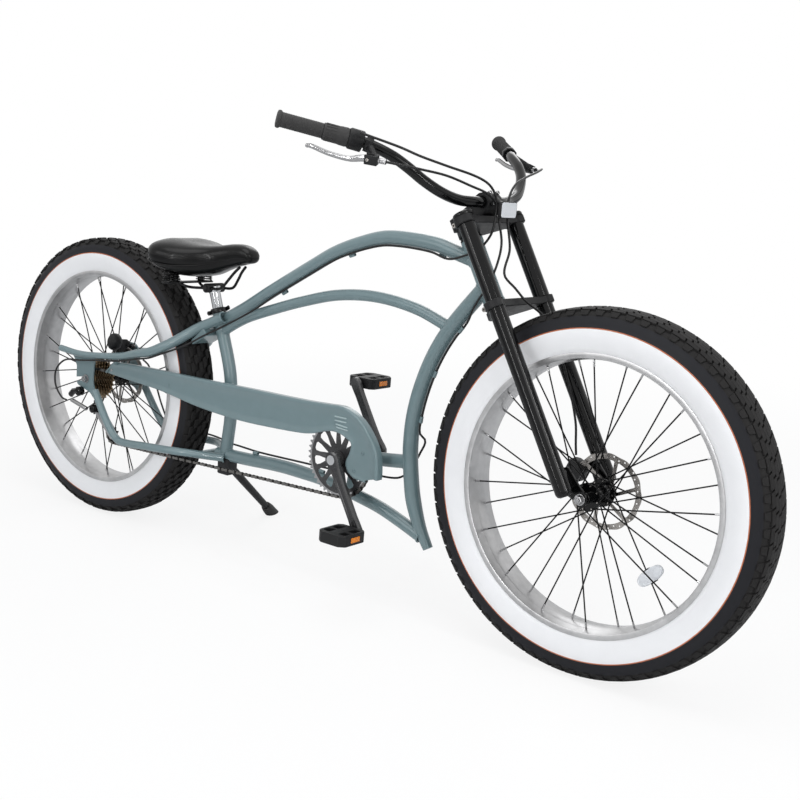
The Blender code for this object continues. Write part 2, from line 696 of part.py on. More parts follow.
def dropout_outline(left):
    """Side view of a dropout plate about the axle; the slot opens to the rear."""
    half_slot = REAR_AXLE_RADIUS + END_GAP
    slope = math.radians(9)
    back = Vector((-math.cos(slope), -math.sin(slope)))
    over = Vector((-back.y, back.x))
    mouth_upper = back * 0.041 - over * half_slot
    mouth_lower = back * 0.039 + over * half_slot
    arc = [tuple(-over * half_slot * math.cos(a) - back * half_slot * math.sin(a))
           for a in (math.pi * k / 6 for k in range(7))]
    top = [(-0.061, 0.0640), (0.034, 0.0680)]
    if left:
        top = [(-0.061, 0.0640), (-0.045, 0.0880), (0.012, 0.0880), (0.034, 0.0680)]
    front = [(0.028, 0.0250), (0.026, -0.0070), (0.0440, -0.0380), (0.0330, -0.0500)]
    lower = [(0.0160, -0.0350), (-0.0120, -0.0280), (-0.0380, -0.0210)]
    rear = [(-0.041, 0.0290)]
    return top + front + lower + [tuple(mouth_lower)] + arc[::-1] + [tuple(mouth_upper)] + rear


def build_seat_collar(finish):
    """Split collar round the top of the seat tube with its quick-release lever."""
    back = SEAT_TUBE_UP.cross(ACROSS).normalized()
    if back.x > 0:
        back = -back
    low = SEAT_TUBE_TOP - SEAT_TUBE_UP * COLLAR_HEIGHT
    bm = bmesh.new()
    rod(bm, low, low + SEAT_TUBE_UP * (COLLAR_HEIGHT - END_GAP), COLLAR_RADIUS, 12)
    collar = add_object("seat_collar", bm, finish["black_matte"], "frame")
    bm = bmesh.new()
    frame = Matrix((back, ACROSS, SEAT_TUBE_UP)).transposed().to_4x4()
    frame.translation = low
    block(bm, (COLLAR_RADIUS - 0.004, -0.0085, 0.0012), (COLLAR_RADIUS + 0.0110, 0.0085, COLLAR_HEIGHT - 0.0015), frame)
    weld(collar, "collar_ears", bm)
    bm = bmesh.new()
    root = low + SEAT_TUBE_UP * COLLAR_HEIGHT * 0.5 + back * (COLLAR_RADIUS + 0.0055)
    rod(bm, root - ACROSS * 0.012, root + ACROSS * 0.017, 0.0052, 6)
    weld(collar, "collar_skewer", bm)
    bm = bmesh.new()
    tip = root + ACROSS * 0.0150
    line = [tip + back * 0.004, tip - back * 0.022 + ACROSS * 0.004,
            tip - back * 0.046 + ACROSS * 0.003 + SEAT_TUBE_UP * 0.004]
    sweep(bm, with_radius([tuple(p) for p in line], 0.0026, 0.0055), 6)
    weld(collar, "collar_lever", bm)
    bm = bmesh.new()
    block(bm, (0.004, -0.0010, -0.01), (COLLAR_RADIUS + 0.0105, 0.0010, COLLAR_HEIGHT + 0.01), frame)
    combine(collar, "cut_collar_slot", bm)
    inner = bore_radius(SEAT_TUBE_RADIUS, 12)
    combine(collar, "cut_collar_bore", disc_along(SEAT_TUBE_TOP, SEAT_TUBE_UP, inner, 0.03, 12))


# Wheels
def tyre_profile():
    """Closed section of a tyre as (radius, across): outside with shoulder, then the inside."""
    w = TYRE_HALF_WIDTH
    bead = RIM_LIP_RADIUS - RIM_FLANGE + 2 * GAP
    seat = RIM_HALF_WIDTH - RIM_WALL
    half = [(bead, seat - 0.0045), (bead, seat), (RIM_LIP_RADIUS + 0.034, w), (WHEEL_RADIUS - 0.0210, 0.93 * w),
            (WHEEL_RADIUS - TREAD_DEPTH, 0.60 * w)]
    outside = [(r, -y) for r, y in half] + [(WHEEL_RADIUS, 0.0)] + [(r, y) for r, y in reversed(half)]
    inside = [(RIM_LIP_RADIUS + 0.034, w - TYRE_WALL), (WHEEL_RADIUS - 0.0100, 0.0),
              (RIM_LIP_RADIUS + 0.034, -(w - TYRE_WALL))]
    return outside + inside


def lug(segment, corner, across):
    """Height of a tread block at a corner of the tyre's section."""
    return TREAD_DEPTH * 0.5 if corner in (3, 4, 6, 7) and (segment + (across > 0)) % 2 else 0.0


def build_tyre(name, centre, finish, pivot):
    """Tyre as a ring whose shoulders rise and fall as the tread blocks do."""
    profile = tyre_profile()
    frame = axes_at(centre, ACROSS, Vector((0, 0, -1)))
    bm = bmesh.new()
    rings = []
    for k in range(WHEEL_SEGMENTS):
        angle = 2 * math.pi * k / WHEEL_SEGMENTS
        ring = []
        for i, (radius, across) in enumerate(profile):
            radius += lug(k, i, across)
            ring.append(bm.verts.new(frame @ Vector((radius * math.cos(angle), radius * math.sin(angle), across))))
        rings.append(ring)
    for k in range(WHEEL_SEGMENTS):
        bridge(bm, rings[k], rings[(k + 1) % WHEEL_SEGMENTS])
    add_object(name, bm, finish["rubber"], pivot)


def build_rim(name, centre, finish, pivot):
    w = RIM_HALF_WIDTH
    low = RIM_LIP_RADIUS - RIM_FLANGE
    well = RIM_LIP_RADIUS - RIM_WELL
    lip = w - RIM_WALL + 0.0005
    profile = [(RIM_LIP_RADIUS, -w), (low, -lip), (well, 0.0), (low, lip), (RIM_LIP_RADIUS, w), (low - RIM_WALL, w),
               (well - RIM_WALL, 0.0), (low - RIM_WALL, -w)]
    bm = bmesh.new()
    revolve(bm, profile, centre, ACROSS, WHEEL_SEGMENTS)
    add_object(name, bm, finish["silver"], pivot)


def draw_spokes(bm, centre, flanges):
    """Crossed spokes from inside the two flanges to just short of the rim."""
    rise = (RIM_WELL - RIM_FLANGE) * (SPOKE_ROW_AT_RIM - 2 * SPOKE_RADIUS) / RIM_HALF_WIDTH
    rim_radius = (RIM_LIP_RADIUS - RIM_WELL - RIM_WALL + rise) * math.cos(math.pi / WHEEL_SEGMENTS) - GAP
    per_flange = SPOKES // 2
    swing = 2 * math.pi * SPOKE_CROSSING / per_flange
    aside = SPOKE_RADIUS + GAP
    for i in range(SPOKES):
        flange_y = flanges[i % 2]
        outward = 1 if (i // 2) % 2 else -1
        rim_angle = 2 * math.pi * (i + 0.5) / SPOKES
        hub_angle = rim_angle + outward * swing * 0.93
        hub = centre + Vector((math.cos(hub_angle), 0.0, math.sin(hub_angle))) * SPOKE_CIRCLE_RADIUS
        hub += ACROSS * (flange_y + outward * aside)
        end = centre + Vector((math.cos(rim_angle), 0.0, math.sin(rim_angle))) * rim_radius
        end += ACROSS * (math.copysign(SPOKE_ROW_AT_RIM, flange_y) + outward * aside)
        sweep(bm, with_radius([tuple(hub), tuple(end)], SPOKE_RADIUS), 3, Vector((0.3, 1.0, 0.2)))


def build_hub(name, centre, flanges, ends, bore, finish, pivot):
    """Barrel between two flanges, bored for the axle, with the spokes that it carries."""
    low, high = min(flanges), max(flanges)
    half = FLANGE_THICKNESS / 2
    inner = bore_radius(bore, 12)
    profile = [(inner, ends[0]), (HUB_NOSE_RADIUS, ends[0]), (HUB_NOSE_RADIUS, low - half), (FLANGE_RADIUS, low - half),
               (FLANGE_RADIUS, low + half), (HUB_BARREL_RADIUS, low + half), (HUB_BARREL_RADIUS, high - half),
               (FLANGE_RADIUS, high - half), (FLANGE_RADIUS, high + half), (ROTOR_SEAT_RADIUS, high + half),
               (ROTOR_SEAT_RADIUS, ends[1]), (inner, ends[1])]
    bm = bmesh.new()
    revolve(bm, profile, centre, ACROSS, 12)
    hub = add_object(name, bm, finish["black_gloss"], pivot)
    bm = bmesh.new()
    draw_spokes(bm, centre, flanges)
    weld(hub, name + "_spokes", bm)


def build_rotor(name, centre, offset, finish, pivot):
    """Wavy brake rotor: a band, slanted arms and a carrier round the hub."""
    outer = []
    points = ROTOR_WAVES * 2
    for k in range(points):
        angle = 2 * math.pi * k / points
        radius = ROTOR_RADIUS - ROTOR_WAVE_DEPTH * 0.5 * (1 - math.cos(angle * ROTOR_WAVES))
        outer.append((radius * math.cos(angle), radius * math.sin(angle)))
    hub_hole = circle(bore_radius(ROTOR_SEAT_RADIUS, 12), 12)
    windows = []
    for arm in range(ROTOR_ARMS):
        start = 2 * math.pi * arm / ROTOR_ARMS
        step = 2 * math.pi / ROTOR_ARMS
        band_inner = ROTOR_RADIUS - ROTOR_BAND
        rim_side = circle(band_inner, 4, (0, 0), start + 0.34, start + 0.34 + step - 0.12)
        hub_side = circle(ROTOR_CARRIER_RADIUS, 2, (0, 0), start + step - 0.20, start + 0.12)
        windows.append(rim_side + hub_side)
    bm = bmesh.new()
    plate(bm, outer, ROTOR_THICKNESS, side_frame(offset + ROTOR_THICKNESS / 2, centre), [hub_hole] + windows)
    add_object(name, bm, finish["steel"], pivot)


def build_axle(name, centre, inner_face, outer_face, hub_ends, radius, finish, pivot):
    """Axle with its lock nuts inside the dropouts, and washers and nuts outside them."""
    low, high = hub_ends[0] - END_GAP, hub_ends[1] + END_GAP
    washer = outer_face + GAP
    nut = washer + 0.0016
    end = nut + NUT_HEIGHT
    inside = inner_face - GAP
    washer_radius = NUT_RADIUS + 0.0025
    right = [(0, -end - 0.003), (radius, -end - 0.003), (radius, -end), (NUT_RADIUS, -end), (NUT_RADIUS, -nut),
             (washer_radius, -nut), (washer_radius, -washer), (radius, -washer), (radius, -inside), (LOCK_NUT_RADIUS, -inside),
             (LOCK_NUT_RADIUS, low), (radius, low)]
    left = [(radius, high), (LOCK_NUT_RADIUS, high), (LOCK_NUT_RADIUS, inside), (radius, inside), (radius, washer),
            (washer_radius, washer), (washer_radius, nut), (NUT_RADIUS, nut), (NUT_RADIUS, end), (radius, end),
            (radius, end + 0.003), (0, end + 0.003)]
    bm = bmesh.new()
    revolve(bm, right + left, centre, ACROSS, 6)
    add_object(name, bm, finish["steel"], pivot)


def build_wheels(finish):
    front_flanges = (-FRONT_FLANGE_OFFSET, FRONT_FLANGE_OFFSET)
    front_ends = (-0.0460, 0.0490)
    build_tyre("front_tyre", FRONT_AXLE, finish, "front_wheel")
    build_rim("front_rim", FRONT_AXLE, finish, "front_wheel")
    build_hub("front_hub", FRONT_AXLE, front_flanges, front_ends, FRONT_AXLE_RADIUS, finish, "front_wheel")
    build_rotor("front_rotor", FRONT_AXLE, FRONT_ROTOR_OFFSET, finish, "front_wheel")
    build_axle("front_axle", FRONT_AXLE, FRONT_DROPOUT_INNER, FRONT_DROPOUT_INNER + FRONT_DROPOUT_THICKNESS,
               front_ends, FRONT_AXLE_RADIUS, finish, "steering")

    rear_flanges = (REAR_FLANGE_RIGHT, REAR_FLANGE_LEFT)
    rear_ends = (-0.0290, 0.0600)
    build_tyre("rear_tyre", REAR_AXLE, finish, "rear_wheel")
    build_rim("rear_rim", REAR_AXLE, finish, "rear_wheel")
    build_hub("rear_hub", REAR_AXLE, rear_flanges, rear_ends, REAR_AXLE_RADIUS, finish, "rear_wheel")
    build_rotor("rear_rotor", REAR_AXLE, REAR_ROTOR_OFFSET, finish, "rear_wheel")
    freewheel_end = -(CHAIN_LINE + 0.0035)
    build_axle("rear_axle", REAR_AXLE, REAR_DROPOUT_INNER, REAR_DROPOUT_INNER + REAR_DROPOUT_THICKNESS,
               (freewheel_end, rear_ends[1]), REAR_AXLE_RADIUS, finish, "frame")


# Fork
def crown_outline():
    """Half circle round each leg, a straight front edge and a waist round the steerer."""
    clamp = LEG_RADIUS + CLAMP_WALL
    left_leg = circle(clamp, 6, (LEG_AHEAD, LEG_SPREAD), math.radians(15), math.radians(205))
    boss = circle(CROWN_BOSS_RADIUS, 5, (0.0, 0.0), math.radians(120), math.radians(240))
    right_leg = circle(clamp, 6, (LEG_AHEAD, -LEG_SPREAD), math.radians(155), math.radians(345))
    front = LEG_AHEAD + 0.009
    return [(front, 0.030)] + [(front, LEG_SPREAD - clamp)] + left_leg + boss + right_leg + [
        (front, -LEG_SPREAD + clamp), (front, -0.030)]


def build_fork(finish):
    black = finish["black_gloss"]
    top = UPPER_CROWN_LOW + CROWN_THICKNESS
    tab = [(FORK_RAKE + 0.013, -0.008), (FORK_RAKE + 0.016, 0.004), (FORK_RAKE + 0.010, 0.022),
           (LEG_AHEAD + 0.010, 0.070), (LEG_AHEAD - 0.010, 0.070), (LEG_AHEAD - 0.012, 0.022),
           (FORK_RAKE - 0.014, 0.002), (FORK_RAKE - 0.009, -0.012), (FORK_RAKE + 0.003, -0.016)]
    hole = circle(bore_radius(FRONT_AXLE_RADIUS, 12), 12, (FORK_RAKE, 0.0))
    cap = LEG_RADIUS + CLAMP_WALL - 0.001
    for side, name in ((-1, "right"), (1, "left")):
        bm = bmesh.new()
        profile = [(0, LEG_BOTTOM - 0.004), (0.6 * LEG_RADIUS, LEG_BOTTOM - 0.004), (LEG_RADIUS, LEG_BOTTOM + 0.004),
                   (LEG_RADIUS, top + GAP), (cap, top + GAP), (cap, top + 0.6 * LEG_CAP_HEIGHT),
                   (0.65 * cap, top + LEG_CAP_HEIGHT), (0, top + LEG_CAP_HEIGHT)]
        revolve(bm, profile, on_steering(0, LEG_AHEAD, side * LEG_SPREAD), STEER_UP, 12)
        leg = add_object("fork_leg_" + name, bm, black, "steering")
        outer = FRONT_DROPOUT_INNER + FRONT_DROPOUT_THICKNESS
        bm = bmesh.new()
        plate(bm, tab, FRONT_DROPOUT_THICKNESS, steering_side_frame(outer if side > 0 else -FRONT_DROPOUT_INNER),
              [hole])
        weld(leg, "fork_tab_" + name, bm)
        bm = bmesh.new()
        near, far = FRONT_DROPOUT_INNER + 0.001, LEG_SPREAD - LEG_RADIUS * 0.4
        block(bm, (LEG_AHEAD - 0.0078, 0.0265, min(side * near, side * far)),
              (LEG_AHEAD + 0.0075, 0.0655, max(side * near, side * far)), steering_side_frame(0.0, False))
        weld(leg, "fork_lug_" + name, bm)

    for name, low in (("upper_crown", UPPER_CROWN_LOW), ("lower_crown", LOWER_CROWN_LOW)):
        bm = bmesh.new()
        leg_hole = bore_radius(LEG_RADIUS, 12)
        holes = [circle(leg_hole, 12, (LEG_AHEAD, side * LEG_SPREAD)) for side in (-1, 1)]
        if name == "upper_crown":
            holes.append(circle(bore_radius(STEERER_RADIUS, 12), 12))
        plate(bm, crown_outline(), CROWN_THICKNESS, crown_frame(low), holes)
        crown = add_object(name, bm, black, "steering")
        bm = bmesh.new()
        for side in (-1, 1):
            back = LEG_AHEAD - LEG_RADIUS - CLAMP_WALL
            start = on_steering(low + CROWN_THICKNESS / 2, back - 0.0030, side * (LEG_SPREAD - 0.008))
            rod(bm, start, start + ACROSS * side * 0.016, 0.0052, 6)
        weld(crown, name + "_bolts", bm)
        if name == "lower_crown":
            weld(crown, "steerer", disc_between(low + 0.002, top, STEERER_RADIUS))


def disc_between(low, high, radius):
    bm = bmesh.new()
    rod(bm, STEER_FOOT + STEER_UP * low, STEER_FOOT + STEER_UP * high, radius, 12)
    return bm


# Handlebar
BAR_LINE = [(0.4280, 0.0, 0.9250), (0.4280, 0.0480, 0.9250), (0.4180, 0.0900, 0.9270), (0.4080, 0.1380, 0.9390),
            (0.3910, 0.1760, 0.9590), (0.3720, 0.2060, 0.9820), (0.3480, 0.2290, 1.0020), (0.3130, 0.2570, 1.0200),
            (0.2915, 0.2791, 1.0274), (0.2441, 0.3290, 1.0403), (0.1900, 0.3860, 1.0550)]
BAR_STATIONS = 13
BAR_SIDES = 8
UPWARD = Vector((0.0, 0.0, 1.0))


def half_bar(side):
    """Half of the bar from its end to its middle, as a line of points."""
    return mirrored(spread(BAR_LINE, BAR_STATIONS)[::-1], side)


def build_handlebar(finish):
    bm = bmesh.new()
    whole = half_bar(-1)[:-1] + half_bar(1)[::-1]
    sweep(bm, with_radius(whole, BAR_RADIUS), BAR_SIDES, UPWARD)
    add_object("handlebar", bm, finish["black_gloss"], "steering")

    bm = bmesh.new()
    crown_top = UPPER_CROWN_LOW + CROWN_THICKNESS
    base = crown_top + GAP
    clamp = BAR_RADIUS + STEM_CLAMP_WALL
    round_nose = circle(clamp, 8, (BAR_AHEAD, BAR_HEIGHT), math.radians(-70), math.radians(110))
    outline = [(-0.020, base), (0.052, base)] + round_nose + [(0.030, base + 0.036), (-0.020, base + 0.028)]
    hole = circle(bore_radius(BAR_RADIUS, 12) + GAP, 12, (BAR_AHEAD, BAR_HEIGHT))
    plate(bm, outline, 2 * STEM_HALF_WIDTH, steering_side_frame(STEM_HALF_WIDTH), [hole])
    stem = add_object("stem", bm, finish["black_matte"], "steering")
    bm = bmesh.new()
    for side in (-1, 1):
        for height in (-0.6, 0.6):
            start = on_steering(BAR_HEIGHT + height * clamp, BAR_AHEAD + clamp * 0.70, side * 0.014)
            rod(bm, start, start + STEER_AHEAD * 0.0065, 0.0040, 6)
    weld(stem, "stem_bolts", bm)
    build_bar_controls(finish)
    build_front_reflector(finish)


def bar_piece(side, start, end, radius):
    """Sleeve on one half of the bar between two distances from its end."""
    piece = stretch_of(with_radius(half_bar(side), BAR_RADIUS), start, end)
    bm = bmesh.new()
    sleeve(bm, piece, radius, bore_radius(BAR_RADIUS, BAR_SIDES) + GAP, BAR_SIDES, UPWARD)
    return bm


def place_on_bar(side, distance):
    """Point on the bar, direction towards the middle and the two directions across it."""
    line = stretch_of(half_bar(side), distance - 0.004, distance + 0.004)
    low, high = Vector(line[0][:3]), Vector(line[-1][:3])
    inward = (high - low).normalized()
    forward = (Vector((1.0, 0.0, 0.0)) - inward * inward.x).normalized()
    return (low + high) / 2, inward, forward, forward.cross(inward) * -side


def build_bar_controls(finish):
    for side, name, length in ((-1, "right", RIGHT_GRIP_LENGTH), (1, "left", LEFT_GRIP_LENGTH)):
        line = with_radius(half_bar(side), GRIP_RADIUS)
        end, nearer = Vector(line[0][:3]), Vector(line[1][:3])
        outward = (end - nearer).normalized()
        bore = bore_radius(BAR_RADIUS, BAR_SIDES) + GAP
        skin = [(*(end + outward * 0.005), GRIP_FLANGE_RADIUS), (*(end - outward * 0.003), GRIP_FLANGE_RADIUS),
                (*(end - outward * 0.005), GRIP_RADIUS)] + stretch_of(line, 0.030, length)
        inside = [(*(end + outward * GAP), bore)] + with_radius(stretch_of(line, 0.030, length), bore)
        bm = bmesh.new()
        outer_rings = sweep_rings(bm, skin, BAR_SIDES, UPWARD)
        inner_rings = sweep_rings(bm, inside, BAR_SIDES, UPWARD)
        for rings in (outer_rings, inner_rings):
            bm.faces.new(rings[0])
            for a, b in zip(rings, rings[1:]):
                bridge(bm, a, b)
        bridge(bm, outer_rings[-1], inner_rings[-1])
        add_object("grip_" + name, bm, finish["grip_rubber"], "steering")

    twist_start = RIGHT_GRIP_LENGTH + END_GAP
    twist_end = twist_start + TWIST_LENGTH
    housing_start = twist_end + END_GAP
    housing_end = housing_start + SHIFTER_HOUSING_LENGTH
    point, inward, forward, upward = place_on_bar(-1, (twist_start + twist_end) / 2)
    bm = bmesh.new()
    half = TWIST_LENGTH / 2
    inner = bore_radius(BAR_RADIUS, 16) + 0.0012
    revolve(bm, [(inner, -half), (TWIST_RADIUS, -half), (TWIST_RADIUS, half), (inner, half)], point, inward, 16)
    add_object("twist_grip", bm, finish["grip_rubber"], "twist")

    add_object("shifter_housing", bar_piece(-1, housing_start, housing_end, SHIFTER_HOUSING_RADIUS),
               finish["black_matte"], "steering")
    for side, name in ((-1, "right"), (1, "left")):
        start = lever_clamp_start(side)
        clamp = bar_piece(side, start, start + LEVER_CLAMP_LENGTH, LEVER_CLAMP_RADIUS)
        bracket = add_object("brake_bracket_" + name, clamp, finish["black_matte"], "steering")
        pivot, along, pull, axis, length, middle = lever_frame(side)
        frame = Matrix((along, pull, axis)).transposed().to_4x4()
        frame.translation = pivot
        bm = bmesh.new()
        block(bm, (-0.0190, -0.0090, -0.0085), (0.0060, 0.0090, 0.0085), frame)
        weld(bracket, "bracket_body_" + name, bm)
        bm = bmesh.new()
        rod(bm, pivot - along * 0.0150, middle, 0.0080, 8)
        weld(bracket, "bracket_neck_" + name, bm)
        bm = bmesh.new()
        rod(bm, pivot - along * 0.0170, pivot - along * 0.0360, 0.0045, 7)
        weld(bracket, "bracket_barrel_" + name, bm)
        bm = bmesh.new()
        slot = LEVER_THICKNESS / 2 + END_GAP
        block(bm, (-0.0125, -0.0200, -slot), (0.0300, 0.0200, slot), frame)
        combine(bracket, "cut_bracket_slot_" + name, bm)
        bm = bmesh.new()
        line = stretch_of(with_radius(half_bar(side), BAR_RADIUS), start - 0.02, start + LEVER_CLAMP_LENGTH + 0.02)
        sweep(bm, with_radius(line, bore_radius(BAR_RADIUS, BAR_SIDES) + GAP), BAR_SIDES, UPWARD)
        combine(bracket, "cut_bracket_bar_" + name, bm)
        build_lever(side, "brake_lever_" + name, finish)


def lever_clamp_start(side):
    if side > 0:
        return LEFT_GRIP_LENGTH + 0.006
    return RIGHT_GRIP_LENGTH + TWIST_LENGTH + SHIFTER_HOUSING_LENGTH + 3 * END_GAP + 0.004


def lever_frame(side):
    """A brake lever's pivot, the line to its tip, the way that it is pulled and its hinge axis."""
    distance = lever_clamp_start(side) + LEVER_CLAMP_LENGTH / 2
    clamp = place_on_bar(side, distance)[0]
    grip = place_on_bar(side, max(distance - LEVER_SPAN, 0.004))[0]
    pivot = clamp + Vector((LEVER_REACH.x, LEVER_REACH.y * side, LEVER_REACH.z))
    tip = grip + Vector((LEVER_TIP_OFFSET.x, LEVER_TIP_OFFSET.y * side, LEVER_TIP_OFFSET.z))
    along = (tip - pivot).normalized()
    pull = grip - tip
    pull = (pull - along * pull.dot(along)).normalized()
    return pivot, along, pull, along.cross(pull), (tip - pivot).length, clamp


def build_lever(side, name, finish):
    """Curved blade that runs below the grip from its pivot to a rounded tip."""
    pivot, along, pull, axis, length, clamp = lever_frame(side)
    line = [(-0.004, 0.0), (0.012, -0.001), (0.30 * length, -0.007), (0.62 * length, -0.004),
            (length - 0.012, 0.004), (length, 0.003)]
    half = LEVER_THICKNESS / 2
    radii = [(0.0065, half), (0.0070, half), (0.0058, 0.9 * half), (0.0055, 0.9 * half), (0.0058, half),
             (0.0040, 0.75 * half)]
    bm = bmesh.new()
    sweep(bm, [(*(pivot + along * u + pull * v), *r) for (u, v), r in zip(line, radii)], 8, pull)
    add_object(name, bm, finish["black_gloss"], "lever_right" if side < 0 else "lever_left")


def build_front_reflector(finish):
    """Rounded clear reflector with its bracket ahead of the bar's clamp."""
    centre = on_steering(BAR_HEIGHT - 0.0330, BAR_AHEAD + 0.0330)
    facing = Vector((1.0, 0.0, 0.0))
    bm = bmesh.new()
    frame = axes_at(centre, facing, ACROSS)
    outline = []
    for corner_y, corner_z, start in ((1, 1, 0), (-1, 1, 90), (-1, -1, 180), (1, -1, 270)):
        outline += circle(0.006, 3, (corner_y * 0.0235, corner_z * 0.0110), math.radians(start), math.radians(start + 90))
    plate(bm, outline, 0.007, frame)
    reflector = add_object("front_reflector", bm, finish["reflector_clear"], "steering")
    bm = bmesh.new()
    arm = [centre + facing * 0.003 + UPWARD * 0.004, centre - facing * 0.008 + UPWARD * 0.007,
           on_steering(BAR_HEIGHT, BAR_AHEAD + BAR_RADIUS + STEM_CLAMP_WALL + 0.0028)]
    sweep(bm, with_radius([tuple(p) for p in arm], 0.0070, 0.0018), 6)
    weld(reflector, "reflector_arm", bm)


# Brakes
def build_caliper(name, centre, rotor_y, outer_y, angle, swing, foot, pivot, finish):
    """Block with a slot for the rotor; its arm turns on the outer face."""
    radial = Vector((math.cos(angle), 0.0, math.sin(angle)))
    tangent = ACROSS.cross(radial)
    arm_pivot = name + "_arm"
    slot = 0.0022
    near, far = 0.060, 0.098
    outline = [(rotor_y - 0.012, near), (rotor_y - slot, near), (rotor_y - slot, ROTOR_RADIUS + 0.003),
               (rotor_y + slot, ROTOR_RADIUS + 0.003), (rotor_y + slot, near), (outer_y, near),
               (outer_y, far - 0.006), (outer_y - 0.008, far), (rotor_y - 0.006, far),
               (rotor_y - 0.012, far - 0.006)]
    frame = Matrix((ACROSS, radial, ACROSS.cross(radial))).transposed().to_4x4()
    frame.translation = centre - tangent * 0.017
    bm = bmesh.new()
    plate(bm, outline, 0.034, frame)
    caliper = add_object(name, bm, finish["black_matte"], pivot)
    bm = bmesh.new()
    block(bm, *foot)
    weld(caliper, name + "_foot", bm)

    bm = bmesh.new()
    hub = centre + radial * 0.079 + ACROSS * (outer_y + GAP)
    rod(bm, hub, hub + ACROSS * 0.0042, 0.0085, 12)
    arm = add_object(name + "_arm", bm, finish["silver"], arm_pivot)
    bm = bmesh.new()
    start = hub + ACROSS * 0.0045
    line = [start - tangent * swing * 0.006, start + tangent * swing * 0.012, start + tangent * swing * 0.034]
    sweep(bm, with_radius([tuple(p) for p in line], 0.0018, 0.0060), 6)
    weld(arm, name + "_arm_blade", bm)


def caliper_arm_origin(centre, outer_y, angle):
    radial = Vector((math.cos(angle), 0.0, math.sin(angle)))
    return centre + radial * 0.079 + ACROSS * outer_y


FRONT_CALIPER_ANGLE = math.radians(158.0)
REAR_CALIPER_ANGLE = math.radians(97.0)
FRONT_CALIPER_OUTER = 0.0735
REAR_CALIPER_OUTER = 0.0620


def build_brakes(finish):
    leg_face = LEG_SPREAD - LEG_RADIUS
    foot = ((0.030, 0.056, 0.060), (LEG_AHEAD - 0.0126, 0.072, leg_face + 0.0046), steering_side_frame(0.0, False))
    build_caliper("front_caliper", FRONT_AXLE, FRONT_ROTOR_OFFSET, FRONT_CALIPER_OUTER, FRONT_CALIPER_ANGLE, -1,
                  foot, "steering", finish)
    foot = ((REAR_AXLE.x - 0.038, 0.0565, REAR_AXLE.z + 0.064), (REAR_AXLE.x - 0.022, REAR_DROPOUT_INNER - GAP,
                                                               REAR_AXLE.z + 0.082))
    build_caliper("rear_caliper", REAR_AXLE, REAR_ROTOR_OFFSET, REAR_CALIPER_OUTER, REAR_CALIPER_ANGLE, 1,
                  foot, "frame", finish)


# Drive
def toothed_outline(teeth):
    """Pointed teeth for the chain's pitch."""
    pitch_radius = teeth * CHAIN_PITCH / (2 * math.pi)
    outline = []
    for k in range(2 * teeth):
        radius = pitch_radius - TOOTH_DROP if k % 2 else pitch_radius + TOOTH_RISE
        outline.append((radius * math.cos(math.pi * k / teeth), radius * math.sin(math.pi * k / teeth)))
    return outline


def build_freewheel(finish):
    """Seven sprockets stepped on one carrier, bored for the axle; the smallest is outermost."""
    carrier = circle(SPROCKET_CARRIER_RADIUS, 8)
    half = SPROCKET_THICKNESS / 2
    layers = [(-(CHAIN_LINE + 0.0030), carrier)]
    for i, teeth in enumerate(SPROCKET_TEETH):
        y = -(CHAIN_LINE - i * SPROCKET_SPACING)
        outline = toothed_outline(teeth)
        layers += [(y - half, carrier), (y - half, outline), (y + half, outline), (y + half, carrier)]
    layers.append((layers[-1][0] + 0.0013, carrier))
    bm = bmesh.new()
    draw_layers(bm, layers, bore_radius(REAR_AXLE_RADIUS, 8))
    add_object("freewheel", bm, finish["dark_steel"], "freewheel")


def draw_layers(bm, layers, bore):
    """Stack of outlines about the rear axle, joined face to face, with one bore through all of them."""
    hole = circle(bore, 8)
    rings = []
    for y, outline in layers:
        rings.append([bm.verts.new((REAR_AXLE.x + p[0], y, REAR_AXLE.z + p[1])) for p in outline])
    ends = []
    for y, outline in (layers[0], layers[-1]):
        ends.append([bm.verts.new((REAR_AXLE.x + p[0], y, REAR_AXLE.z + p[1])) for p in hole])
    for i in range(len(layers) - 1):
        if layers[i][0] == layers[i + 1][0]:
            fill_between(bm, rings[i], rings[i + 1])
        else:
            bridge(bm, rings[i], rings[i + 1])
    fill_between(bm, rings[0], ends[0])
    fill_between(bm, rings[-1], ends[1])
    bridge(bm, ends[0], ends[1])


def fill_between(bm, ring_a, ring_b):
    """Flat ring of faces between two loops, one inside the other."""
    if max((v.co - ring_a[0].co).length for v in ring_a) < max((v.co - ring_b[0].co).length for v in ring_b):
        ring_a, ring_b = ring_b, ring_a
    loops = [[Vector((v.co.x, v.co.z, 0.0)) for v in ring] for ring in (ring_a, ring_b)]
    verts = list(ring_a) + list(ring_b)
    for a, b, c in tessellate_polygon(loops):
        bm.faces.new((verts[a], verts[b], verts[c]))


def build_chainring(finish):
    windows = []
    for k in range(CHAINRING_WINDOWS):
        angle = 2 * math.pi * k / CHAINRING_WINDOWS
        half = math.pi / CHAINRING_WINDOWS
        shape = [(0.0300, 0.0), (0.0580, -0.62), (0.0730, -0.52), (0.0730, 0.52), (0.0580, 0.62)]
        windows.append([(r * math.cos(angle + share * half), r * math.sin(angle + share * half))
                        for r, share in shape])
    bm = bmesh.new()
    hole = circle(bore_radius(SPINDLE_RADIUS, 12) + GAP, 12)
    plate(bm, toothed_outline(CHAINRING_TEETH), CHAINRING_THICKNESS,
          side_frame(-CHAIN_LINE + CHAINRING_THICKNESS / 2, BRACKET), [hole] + windows)
    add_object("chainring", bm, finish["crank_black"], "crank")


def crank_tip(side):
    """Middle of a pedal axle at the crank's own distance from the bracket."""
    angle = CRANK_ANGLE if side < 0 else CRANK_ANGLE + math.pi
    return BRACKET + Vector((math.cos(angle), 0.0, math.sin(angle))) * CRANK_LENGTH


